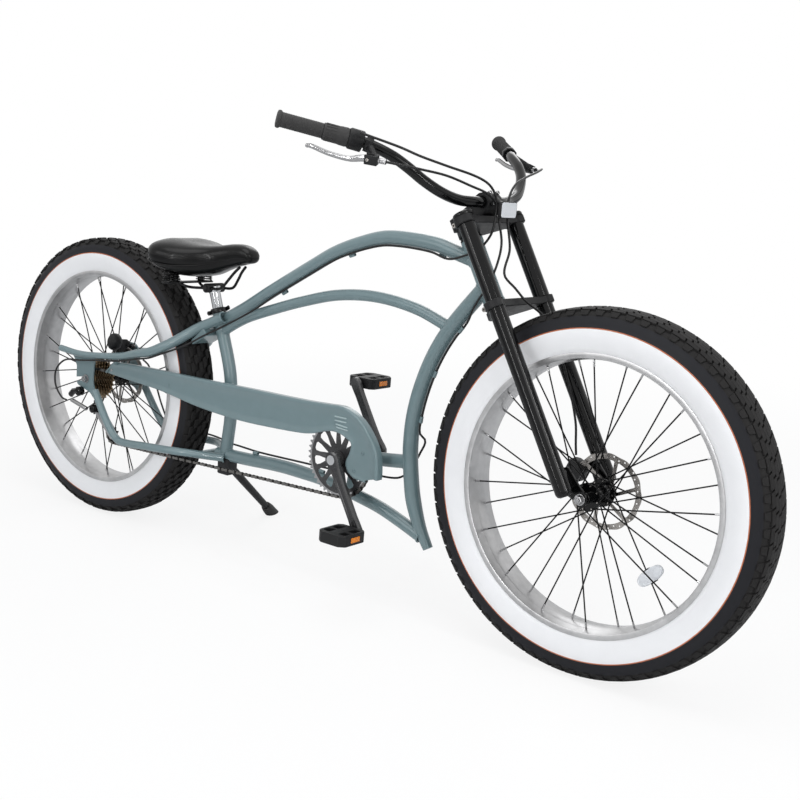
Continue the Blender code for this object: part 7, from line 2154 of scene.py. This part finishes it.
    @staticmethod
    def link(kind: int) -> Drawing:
        """One link about its middle: two waisted plates, with rollers in an inner one.

        Args:
            kind: 1 for an outer link and 0 for an inner one.

        Returns:
            The drawing.
        """
        bm = bmesh.new()
        half = CHAIN_PITCH / 2
        h = 0.0037
        outline = [*arc(h, 6, (half, 0.0), -80, 80), (0.0, h * 0.7), *arc(h, 6, (-half, 0.0), 100, 260),
                   (0.0, -h * 0.7)]
        face = Matrix(((1, 0, 0, 0), (0, 0, -1, 0), (0, 1, 0, 0), (0, 0, 0, 1)))
        outer, inner = (0.0036, 0.0028) if kind else (0.0027, 0.0018)
        for low in (-outer, inner):
            plate(bm, outline, outer - inner, face @ Matrix.Translation((0.0, 0.0, low)))
        for x in (-half, half):
            if kind:
                rod(bm, Vector((x, -0.0037, 0.0)), Vector((x, 0.0037, 0.0)), 0.0017, 8)
            else:
                rod(bm, Vector((x, -0.0018, 0.0)), Vector((x, 0.0018, 0.0)), 0.003, 8)
        return bm


@dataclass
class Derailleur(Assembly):
    """Rear derailleur with its two pulleys."""

    thickness: float = 0.0022
    bore: float = 0.0031
    window_count: int = 5
    window_radius: float = 0.0032
    window_reach: float = 0.0108
    mount_spot: Vector = REAR_AXLE + Vector((-0.017, -0.0986, -0.036))

    def build(self) -> None:
        """Make mount, links, knuckle, cage and pulleys."""
        for name, finish, width, body in (
                ("mount", GLOSS_BLACK, 0.0012, "frame"), ("links", POLISHED, 0.0012, "link_pair"),
                ("knuckle", GLOSS_BLACK, 0.0014, "knuckle"), ("cage", POLISHED, 0.0004, "cage")):
            self.rounded_solid("derailleur_" + name, finish, width, body)
        for name, body, centre in (("guide_pulley", "upper_pulley", GUIDE_PULLEY),
                                   ("tension_pulley", "lower_pulley", TENSION_PULLEY)):
            holes = [arc(self.bore, 16)]
            for k in range(self.window_count):
                angle = math.tau * k / self.window_count
                holes.append(arc(self.window_radius, 10, polar(self.window_reach, angle)))
            bm = drawn(plate, Drive.toothed(PULLEY_TEETH), self.thickness,
                       side_frame(centre.y + self.thickness / 2, centre), holes)
            self.piece(name + "_toothed", bm, MATTE_BLACK, [name], body=body, smooth=25)
        bm = bmesh.new()
        for centre in (GUIDE_PULLEY, TENSION_PULLEY):
            socket_bolt(bm, centre - ACROSS * 0.0062, -ACROSS, 0.004, 0.0003)
        self.piece("cage_bolt_heads", bm, CHROME, body="cage")
        bolt = drawn(socket_bolt, self.mount_spot, -ACROSS, 0.0062, 0.0004)
        self.piece("mount_bolt", bolt, CHROME, body="frame")


@dataclass
class ChainGuard(Assembly):
    """Pressed guard with a rolled edge and a raised contour beside it."""

    body: str = "frame"
    face: float = 0.0725
    rear_depth: float = 0.014
    front_depth: float = 0.02
    # Points of the upper edge, each with the lower edge's point across from it
    pairs: Line = mm(
        (-676.5, 403.6, -676.5, 402.2), (-664, 419, -664, 401.2), (-650, 432.5, -650, 400.2),
        (-600, 437.5, -600, 396.9), (-465, 441.5, -462, 388.5), (-319, 443.5, -315, 370.5),
        (-149, 446.5, -176, 363.5), (-50, 447.5, -77, 365.5), (40, 449.5, 17, 370.5),
        (95, 452.2, 56, 376.5), (140, 454, 106, 391.5), (174, 444.5, 136, 391.5), (204, 425.5, 160, 383),
        (230, 396.5, 172, 373.5), (247, 366.5, 169, 353), (253, 333.5, 160, 324), (254, 318, 179, 299.5),
        (253.5, 307, 220, 295))

    def build(self) -> None:
        """Make the pressed sheet, its tab, the strokes and the screws."""
        stations = spread([(a, 0.0, b, c, d) for a, b, c, d in self.pairs], 120)
        tops = [Vector((s[0], s[2])) for s in stations]
        unders = [Vector((s[3], s[4])) for s in stations]
        rows = []
        for i, (top, under) in enumerate(zip(tops, unders)):
            gap = (top - under).length
            share = min(1.0, gap / 0.046)
            along = (tops[min(i + 1, len(tops) - 1)] - tops[max(i - 1, 0)]).normalized()
            inward = Vector((along.y, -along.x))
            back = (unders[min(i + 1, len(unders) - 1)] - unders[max(i - 1, 0)]).normalized()
            upward = Vector((-back.y, back.x))
            blend = min(1.0, max(0.0, (top.x + 0.3) / 0.2))
            depth = self.rear_depth + (self.front_depth - self.rear_depth) * blend
            row = [(top + inward * 0.0006, depth), (top, depth * 0.45), (top + inward * 0.0001, 0.0034),
                   (top + inward * 0.0007, 0.0015), (top + inward * 0.0022, 0.0003),
                   (top + inward * 0.0042, 0.0), (top + inward * 0.0088 * share, 0.0001),
                   (top + inward * 0.011 * share, 0.0009), (top + inward * 0.0132 * share, 0.0019)]
            inner = row[-1][0]
            low = under + upward * min(0.0075, gap * 0.16)
            for t in (0.25, 0.5, 0.75, 1.0):
                row.append((inner.lerp(low, t), 0.0019 + 0.0006 * math.sin(math.pi * t)))
            row += [(under + upward * 0.0042 * share, 0.0007), (under + upward * 0.002 * share, 0.0008),
                    (under + upward * 0.0004 * share, 0.002), (under, 0.0042)]
            rows.append([Vector((p.x, -(self.face - d), p.y)) for p, d in row])
        bm = bmesh.new()
        made = [[bm.verts.new(p) for p in row] for row in rows]
        for a, b in zip(made, made[1:]):
            for k in range(len(a) - 1):
                bm.faces.new((a[k], a[k + 1], b[k + 1], b[k]))
        bmesh.ops.recalc_face_normals(bm, faces=bm.faces)
        outer = sum(f.normal.y * f.calc_area() for f in bm.faces)
        if outer > 0:
            bmesh.ops.reverse_faces(bm, faces=bm.faces)
        self.piece("chain_guard_pressed", bm, PAINT, ["chain_guard"], shell=0.0012, smooth=50)
        self.details()

    def details(self) -> None:
        """The tab at the rear, the strokes on the face and the screws."""
        tab = drawn(block, (-0.64, -0.079, 0.429), (-0.626, -0.0722, 0.4595), edge=0.0012)
        self.piece("guard_tab", tab, PAINT)
        strokes = [((0.119, 0.429), (0.1545, 0.429)), ((0.12, 0.42), (0.155, 0.42)),
                   ((0.1237, 0.4117), (0.159, 0.409)), ((0.1258, 0.405), (0.161, 0.4027))]
        bm = bmesh.new()
        for (ax, az), (bx, bz) in strokes:
            a, b = Vector((ax, -(self.face - 0.0018), az)), Vector((bx, -(self.face - 0.0018), bz))
            line = spread([(*a, 0.0004, 0.0006), (*a.lerp(b, 0.08), 0.0014, 0.0016),
                           (*a.lerp(b, 0.92), 0.0014, 0.0016), (*b, 0.0004, 0.0006)], 20)
            sweep(bm, line, 12, ACROSS)
        self.piece("guard_strokes", bm, PAINT_LINE)
        bm = bmesh.new()
        for x, z in ((0.2063, 0.3603), (0.1851, 0.3154)):
            socket_bolt(bm, Vector((x, -(self.face - 0.0022), z)), -ACROSS, 0.0042, 0.0019)
        self.piece("guard_front_screws", bm, PAINT)
        seat = Vector((-0.654, -(self.face - 0.0022), 0.412))
        self.piece("guard_rear_screw", drawn(socket_bolt, seat, -ACROSS, 0.0038, 0.0019), CHROME)


@dataclass
class Seat(Assembly):
    """Wide sprung saddle on its post."""

    body: str = "seat"
    sections: Line = mm(
        (-220, 10, 750, 741), (-224, 19, 761, 735), (-240, 26, 772, 731), (-262, 29, 776, 725),
        (-290, 33, 774.5, 716), (-320, 42, 770, 705), (-350, 60, 766.5, 694), (-380, 84, 766, 687),
        (-410, 104, 769, 683.5), (-440, 116, 773.5, 684), (-465, 117.6, 775, 687), (-485, 108, 772, 696),
        (-495.5, 88, 765, 708), (-499.5, 52, 754, 722))

    def build(self) -> None:
        """Make the saddle, its seam and base, the springs, the rails, the clamp and the post."""
        self.cushion()
        self.under()
        self.post()

    @staticmethod
    def ring(x: float, half: float, top: float, under: float, count: int = 40) -> list[Vector]:
        """Section across the saddle: crowned top, full sides that draw in to a flat underside.

        Args:
            x: Its place along the bicycle.
            half: Half of its width.
            top: Height of its top.
            under: Height of its underside.
            count: How many points.

        Returns:
            The section's points.
        """
        points = []
        middle = under + 0.55 * (top - under)
        for k in range(count):
            angle = math.tau * (k + 0.5) / count
            c, s = math.cos(angle), math.sin(angle)
            width = half * math.copysign(abs(c) ** 0.75, c)
            if s > 0:
                z = middle + (top - middle) * s ** 0.8
            else:
                width *= 1.0 - 0.22 * abs(s)
                z = middle + (under - middle) * abs(s) ** 0.55
            points.append(Vector((x, width, z)))
        return points

    def cushion(self) -> None:
        """The padded top, with a shallow channel down its rear half and soft folds at its sides."""
        stations = spread([(x, 0.0, 0.0, half, top, under) for x, half, top, under in self.sections], 64)
        rings = []
        for x, _, _, half, top, under in stations:
            ring = self.ring(x, half, top, under)
            shaped = []
            for p in ring:
                share = p.y / max(half, 1e-4)
                if p.z > (top + under) / 2:
                    rearward = min(1.0, max(0.0, (-0.3 - x) / 0.08))
                    channel = 0.0026 * math.exp(-(share / 0.16) ** 2) * rearward
                    fold = 0.001 * noise.noise(p * 22.0)
                    p = p - UPWARD * (channel + max(0.0, fold))
                shaped.append(p)
            rings.append(shaped)
        bm = drawn(loft, rings)
        saddle = self.piece("saddle_cushion", bm, VINYL, ["saddle"], smooth=70)
        seam = []
        for x, _, _, half, top, under in stations[2:-1]:
            level = under + 0.34 * (top - under)
            reach = half * 0.975
            seam.append((x, reach, level))
        lines = [seam, [(x, -y, z) for x, y, z in seam]]
        self.wires("saddle_piping", lines, 0.0016, 8, VINYL)

    def under(self) -> None:
        """Springs and bumpers between the cushion and the rails."""
        lines = []
        for side in (-1, 1):
            for offset, height in ((0.044, 0.025), (0.07, 0.024)):
                coil = []
                for k in range(61):
                    a = math.tau * k * 4.5 / 60
                    coil.append((-0.452 + 0.0105 * math.cos(a), side * offset + 0.0105 * math.sin(a),
                                 0.668 + height * k / 60))
                lines.append(coil)
        self.wires("saddle_springs", lines, 0.0017, 8, GLOSS_BLACK)
        bm = drawn(block, (-0.464, -0.079, 0.663), (-0.44, 0.079, 0.6672), edge=0.0012)
        for side in (-1, 1):
            rod(bm, Vector((-0.452, side * 0.044, 0.666)), Vector((-0.452, side * 0.044, 0.69)), 0.0062, 20)
        self.piece("spring_seat", bm, MATTE_BLACK)

    def post(self) -> None:
        """Chrome post, clamp with its nuts, and the two rails."""
        bm = bmesh.new()
        top = 0.054
        revolve(bm, [(0, -0.1195), (0.0128, -0.1195), (0.0135, -0.1185), (0.0135, 0.039), (0.0146, 0.042),
                     (0.0164, 0.044), (0.0164, top - 0.001), (0.0154, top), (0, top)], SEAT_TUBE_TOP,
                SEAT_TUBE_UP, 48)
        self.piece("seatpost_chromed", bm, CHROME, ["seatpost"])
        clamp = SEAT_TUBE_TOP + SEAT_TUBE_UP * 0.052
        bm = drawn(rod, clamp - ACROSS * 0.03, clamp + ACROSS * 0.03, 0.0115, 32, 0.0016)
        for side in (-1, 1):
            rod(bm, clamp + ACROSS * side * 0.029, clamp + ACROSS * side * 0.0338, 0.0072, 6, 0.0006)
        self.piece("saddle_clamp", bm, MATTE_BLACK)
        bm = bmesh.new()
        for side in (-1, 1):
            line = [(-0.26, 0.01 * side, 0.722), (-0.276, 0.013 * side, 0.706),
                    (-0.29, 0.017 * side, 0.688), (-0.312, 0.021 * side, clamp.z + 0.004),
                    (clamp.x, 0.022 * side, clamp.z), (-0.42, 0.026 * side, clamp.z - 0.004),
                    (-0.445, 0.034 * side, 0.664), (-0.456, 0.042 * side, 0.676)]
            sweep(bm, spread(with_radius(line, 0.0035), 40), 14)
        self.piece("saddle_rails", bm, GLOSS_BLACK)


@dataclass
class RearReflector(Assembly):
    """Round reflector on a stalk above the right stay."""

    body: str = "frame"
    centre: Vector = Vector((-0.645, -0.073, 0.489))
    clamp: Vector = Vector((-0.628, -0.09, 0.4555))

    def build(self) -> None:
        """Make the housing with its stalk, and the lens that faces back."""
        centre, backward = self.centre, Vector((-1.0, 0.0, 0.0))
        bm = drawn(revolve, mm((0, -0.6), (20.5, -0.6), (21.2, 0), (22.4, 0), (22.4, -6.2), (20.5, -9.5),
                               (15, -15.8), (6, -19.5), (0, -20)), centre, backward, 48)
        self.piece("rear_reflector_housing", bm, MATTE_BLACK, ["rear_reflector"])
        bm = bmesh.new()
        start = centre + Vector((0.011, 0.0, -0.009))
        line = [tuple(start), tuple(start + Vector((0.0, 0.0, -0.005))),
                tuple(self.clamp + Vector((0.004, 0.0, 0.0122)))]
        sweep(bm, spread([(*p, 0.0045, 0.0028) for p in line], 16), 16)
        self.piece("rear_reflector_stalk", bm, MATTE_BLACK)
        lens = mm((0, -2), (20.3, -2), (20.3, -0.4), (19.5, -0.1), (0, -0.1))
        self.piece("rear_reflector_lens", drawn(revolve, lens, centre, backward, 48), LENS_RED)


@dataclass
class Cables(Assembly):
    """The three cable sheaths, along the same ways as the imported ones."""

    tubes: FrameTubes
    bar: Handlebar
    radius: float = 0.0025
    shift_front: Line = mm(
        (318, -294, 1040), (350, -276, 1030), (380, -245, 1018), (400, -208, 1005), (425, -149, 990),
        (448, -79, 974), (459, -44, 958), (464.5, -24, 930), (464, -22.5, 895), (460, -27, 862),
        (440, -34, 832), (400, -32, 813), (355, -20, 803))
    shift_middle: Line = mm((-200, -24, 623), (-290, -36, 572), (-340, -46, 545), (-386, -64, 515))
    shift_rear: Line = mm((-750, -101, 426), (-810, -102, 418), (-848, -102, 386), (-850, -102, 345),
                          (-825, -100, 313), (-806, -98, 308))
    brake_front: Line = mm(
        (412, -215, 980), (427, -153, 972), (442, -90, 956), (456, -40, 940), (460, -13, 915),
        (466, -11, 890), (474, -6, 845), (476, -20, 800), (466, -30, 760), (444, -28.5, 725),
        (425, -15, 703))
    brake_rear: Line = mm(
        (312, 17.5, 398), (296, 24, 366), (280, 22.6, 333), (260, 22.6, 308), (236, 22, 296),
        (170, 24, 289), (80, 20, 279), (-64, 10, 276.5), (-179, 10, 273.5), (-230, 21, 271),
        (-270, 31, 269), (-330, 53, 263), (-390, 80, 260), (-450, 90, 259), (-560, 92, 250),
        (-600, 94, 257), (-640, 99, 302), (-670, 99, 360), (-698, 96, 406), (-710, 86, 420))
    front_brake: Line = mm(
        (405, 235, 1000), (425, 182, 992), (438, 120, 980), (452, 60, 964), (462, 24, 936), (464, 23, 895),
        (486, 8, 835), (500, -25, 786), (527, -20, 760), (547, -5, 735), (556, 25, 718), (568, 58, 693),
        (590, 62.5, 650), (622, 64, 580), (650, 64, 500), (656, 66, 450), (657, 70, 430))

    def beside(self, stations: list, low_x: float, high_x: float, toward: Vector, left: float) -> list:
        """Points clipped along a tube, on the side that faces toward, shifted to the left.

        Args:
            stations: The tube.
            low_x: Where the clips start.
            high_x: Where they end.
            toward: The way that the side faces.
            left: The shift to the left.

        Returns:
            The points.
        """
        points = []
        for i in range(1, len(stations) - 1, 4):
            station = stations[i]
            if not low_x < station[0] < high_x:
                continue
            along = (Vector(stations[i + 1][:3]) - Vector(stations[i - 1][:3])).normalized()
            normal = along.cross(ACROSS).normalized()
            if normal.dot(toward) < 0:
                normal = -normal
            reach = station[3] + self.radius + 0.0018
            points.append(
                tuple(Vector(station[:3]) + normal * math.sqrt(reach**2 - left**2) + ACROSS * left))
        return points

    def from_lever(self, side: int) -> list:
        """First points of a brake cable, which leaves the lever's adjuster straight.

        Args:
            side: 1 for the left and -1 for the right.

        Returns:
            The two points.
        """
        pivot, along, *_ = self.bar.lever_axes(side)
        points = [tuple(pivot - along * reach) for reach in (0.033, 0.048)]
        log.info("lever %d: cable starts at %s", side, points)
        return points

    def build(self) -> None:
        """Make the three sheaths."""
        under_top = self.beside(self.tubes.top, -0.17, 0.34, -UPWARD, -0.011)[::-1]
        under_stay = self.beside(self.tubes.upper(-1), -0.71, -0.44, -UPWARD, -0.006)
        down = [p for p in self.beside(self.tubes.down, 0.28, 0.42, Vector((1.0, 0.0, 0.3)), 0.0)
                if 0.415 < p[2] < 0.69]
        shift = [*self.shift_front, *under_top, *self.shift_middle, *under_stay, *self.shift_rear]
        brake = [*self.from_lever(-1), *self.brake_front, *down, *self.brake_rear]
        self.sheath("shift_cable", shift, 240, (0.93, 0.82))
        self.sheath("rear_brake_cable", brake, 220, (0.92, 0.74))
        self.sheath("front_brake_cable", [*self.from_lever(1), *self.front_brake], 120, None)

    def sheath(self, solid: str, points: list, count: int, bend: tuple[float, float] | None) -> None:
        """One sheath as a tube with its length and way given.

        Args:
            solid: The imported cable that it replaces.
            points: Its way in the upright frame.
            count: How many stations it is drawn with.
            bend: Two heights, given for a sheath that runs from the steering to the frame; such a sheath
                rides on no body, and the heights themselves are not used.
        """
        line = spread(with_radius(points, self.radius), count)
        bm = drawn(sweep, line, 12)
        made = self.piece(solid + "_sheath", bm, CABLE_BLACK, [solid], body="steering_assembly",
                          rides=not bend, smooth=60)
        if bend:
            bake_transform(made)


@dataclass
class Studio:
    """Floor, background, lamps and the camera that the photograph was taken from."""

    focal: float = 1222.988
    principal: tuple[float, float] = (339.979, 460.033)
    frame_size: float = 800.0
    sensor: float = 36.0
    place: Vector = Vector((1.83946, -2.15672, 0.97134))
    azimuth: float = 39.1009
    elevation: float = 13.3795
    roll: float = 4.0901
    fade_start: float = 1.0
    fade_end: float = 2.6
    floor_glow: float = 0.84
    strip_turns: tuple[float, float] = (-34.0, 42.0)

    def build(self) -> None:
        """Set up everything round the bicycle."""
        self.floor()
        self.background()
        self.lamps()
        self.camera()

    def camera(self) -> None:
        """The photograph's own view."""
        a, e, r = (math.radians(v) for v in (self.azimuth, self.elevation, self.roll))
        back = Vector((math.sin(a) * math.cos(e), -math.cos(a) * math.cos(e), math.sin(e)))
        x = UPWARD.cross(back).normalized()
        y = back.cross(x)
        right = x * math.cos(r) + y * math.sin(r)
        upper = y * math.cos(r) - x * math.sin(r)
        data = bpy.data.cameras.new("view")
        data.sensor_width = self.sensor
        data.lens = self.focal * self.sensor / self.frame_size
        data.shift_x = (self.frame_size / 2 - self.principal[0]) / self.frame_size
        data.shift_y = (self.principal[1] - self.frame_size / 2) / self.frame_size
        data.clip_start = 0.05
        camera = bpy.data.objects.new("view", data)
        bpy.context.scene.collection.objects.link(camera)
        camera.matrix_world = LEANED @ frame_of(right, upper, back, self.place)
        bpy.context.scene.camera = camera

    def floor(self) -> None:
        """Wide pale floor that takes the tyres' shadows and turns white to the eye further out."""
        bm = bmesh.new()
        bmesh.ops.create_grid(bm, x_segments=1, y_segments=1, size=14.0)
        mesh = bpy.data.meshes.new("floor")
        bm.to_mesh(mesh)
        bm.free()
        made = bpy.data.materials.new("floor_paper")
        made.use_nodes = True
        tree = made.node_tree
        shader = tree.nodes["Principled BSDF"]
        shader.inputs["Roughness"].default_value = 0.9
        shader.inputs["Specular IOR Level"].default_value = 0.1
        place = tree.nodes.new("ShaderNodeTexCoord").outputs["Object"]
        fibre = node(tree, "ShaderNodeTexNoise", {"Vector": place, "Scale": 6.0})
        ramp = node(tree, "ShaderNodeValToRGB", {"Fac": fibre.outputs["Fac"]})
        for element, level in zip(ramp.color_ramp.elements, (0.93, 0.96)):
            element.color = (level, level, level, 1.0)
        tree.links.new(ramp.outputs["Color"], shader.inputs["Base Color"])
        away = node(tree, "ShaderNodeVectorMath", {0: place}, operation="LENGTH")
        fade = node(tree, "ShaderNodeMapRange", {
            "Value": away.outputs["Value"], "From Min": self.fade_start, "From Max": self.fade_end,
            "To Min": self.floor_glow}, interpolation_type="SMOOTHSTEP")
        eye = tree.nodes.new("ShaderNodeLightPath").outputs["Is Camera Ray"]
        seen = node(tree, "ShaderNodeMath", {0: fade.outputs["Result"], 1: eye}, operation="MULTIPLY")
        white = tree.nodes.new("ShaderNodeEmission")
        blank = node(tree, "ShaderNodeMixShader", {
            "Fac": seen.outputs[0], 1: shader.outputs[0], 2: white.outputs[0]})
        tree.links.new(blank.outputs[0], tree.nodes["Material Output"].inputs["Surface"])
        mesh.materials.append(made)
        floor = bpy.data.objects.new("floor", mesh)
        bpy.context.scene.collection.objects.link(floor)

    @staticmethod
    def background() -> None:
        """White to the eye, in metal and through glass, and dimmer grey for the light that it gives."""
        world = bpy.context.scene.world or bpy.data.worlds.new("surround")
        bpy.context.scene.world = world
        world.use_nodes = True
        tree = world.node_tree
        tree.nodes.clear()
        rays = tree.nodes.new("ShaderNodeLightPath").outputs
        either = node(tree, "ShaderNodeMath", {0: rays["Is Camera Ray"], 1: rays["Is Transmission Ray"]},
                      operation="MAXIMUM")
        any_seen = node(tree, "ShaderNodeMath", {0: either.outputs[0], 1: rays["Is Glossy Ray"]},
                        operation="MAXIMUM")
        seen = node(tree, "ShaderNodeBackground", {"Color": (1.0, 1.0, 1.0, 1.0)})
        given = node(tree, "ShaderNodeBackground", {"Color": (0.93, 0.96, 1.0, 1.0), "Strength": 0.38})
        mix = node(tree, "ShaderNodeMixShader", {
            "Fac": any_seen.outputs[0], 1: given.outputs[0], 2: seen.outputs[0]})
        node(tree, "ShaderNodeOutputWorld", {"Surface": mix.outputs[0]})
        bpy.context.scene.view_settings.view_transform = "Standard"

    def lamps(self) -> None:
        """Large soft lamps above, ahead, beside and behind, and two upright strips beside the camera."""
        self.lamp("overhead", 37.0, (2.6,), (0.2, -0.4, 3.2), 0.0, 0.4)
        self.lamp("front_left", 19.0, (1.8,), (3.4, -1.2, 2.0), 0.2, 0.5)
        self.lamp("front_right", 22.0, (2.2,), (-1.2, -3.6, 2.2), 0.0, 0.5)
        self.lamp("behind", 18.0, (2.0,), (-1.5, 3.2, 2.4), 0.0, 0.6)
        level = Vector((self.place.x, self.place.y, 0.0)).normalized()
        for turn in self.strip_turns:
            place = Matrix.Rotation(math.radians(turn), 3, "Z") @ level * 3.0 + UPWARD * 1.5
            self.lamp("strip", 19.0, (0.09, 2.2), place, 0.0, 0.6)

    @staticmethod
    def lamp(name: str, power: float, size: Sequence[float], place: Sequence[float], aim_x: float,
             aim_z: float) -> None:
        """One lamp, turned towards a point in the bicycle's middle plane.

        Args:
            name: Its name.
            power: Its power in watts.
            size: A round lamp's width, or a strip's width and height.
            place: Where it stands.
            aim_x: The point's place along the bicycle.
            aim_z: The point's height.
        """
        data = bpy.data.lights.new(name, "AREA")
        data.shape, data.size = "DISK", size[0]
        if len(size) > 1:
            data.shape, data.size_y = "RECTANGLE", size[1]
        data.energy = power
        lamp = bpy.data.objects.new(name, data)
        bpy.context.scene.collection.objects.link(lamp)
        lamp.location = place
        lamp.rotation_euler = (
            lamp.location - Vector((aim_x, 0.0, aim_z))).to_track_quat("Z", "Y").to_euler()


def main() -> None:
    """Build the bicycle's looks."""
    logging.basicConfig(level=logging.INFO, format="%(message)s")
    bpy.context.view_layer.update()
    tubes, bar = FrameTubes(), Handlebar()
    front = Wheel("front", FRONT_AXLE, "front_wheel", axle_body="steering_assembly", flanges=(-0.03, 0.03),
                  ends=(-0.046, 0.049), rotor_offset=0.044, axle=(0.055, 0.061, 0.0048), knobby=False)
    rear = Wheel("rear", REAR_AXLE, "rear_wheel", axle_body="frame", flanges=(-0.0235, 0.036),
                 ends=(-0.029, 0.06), rotor_offset=0.052, axle=(0.075, 0.081, 0.005), knobby=True)
    for assembly in (tubes, Stand(), front, rear, WheelReflector(), Fork(), bar, Brakes(), Drive(),
                     Derailleur(), ChainGuard(), Seat(), RearReflector(), Cables(tubes, bar), Studio()):
        log.info("%s", type(assembly).__name__)
        assembly.build()


if __name__ == "__main__":
    main()
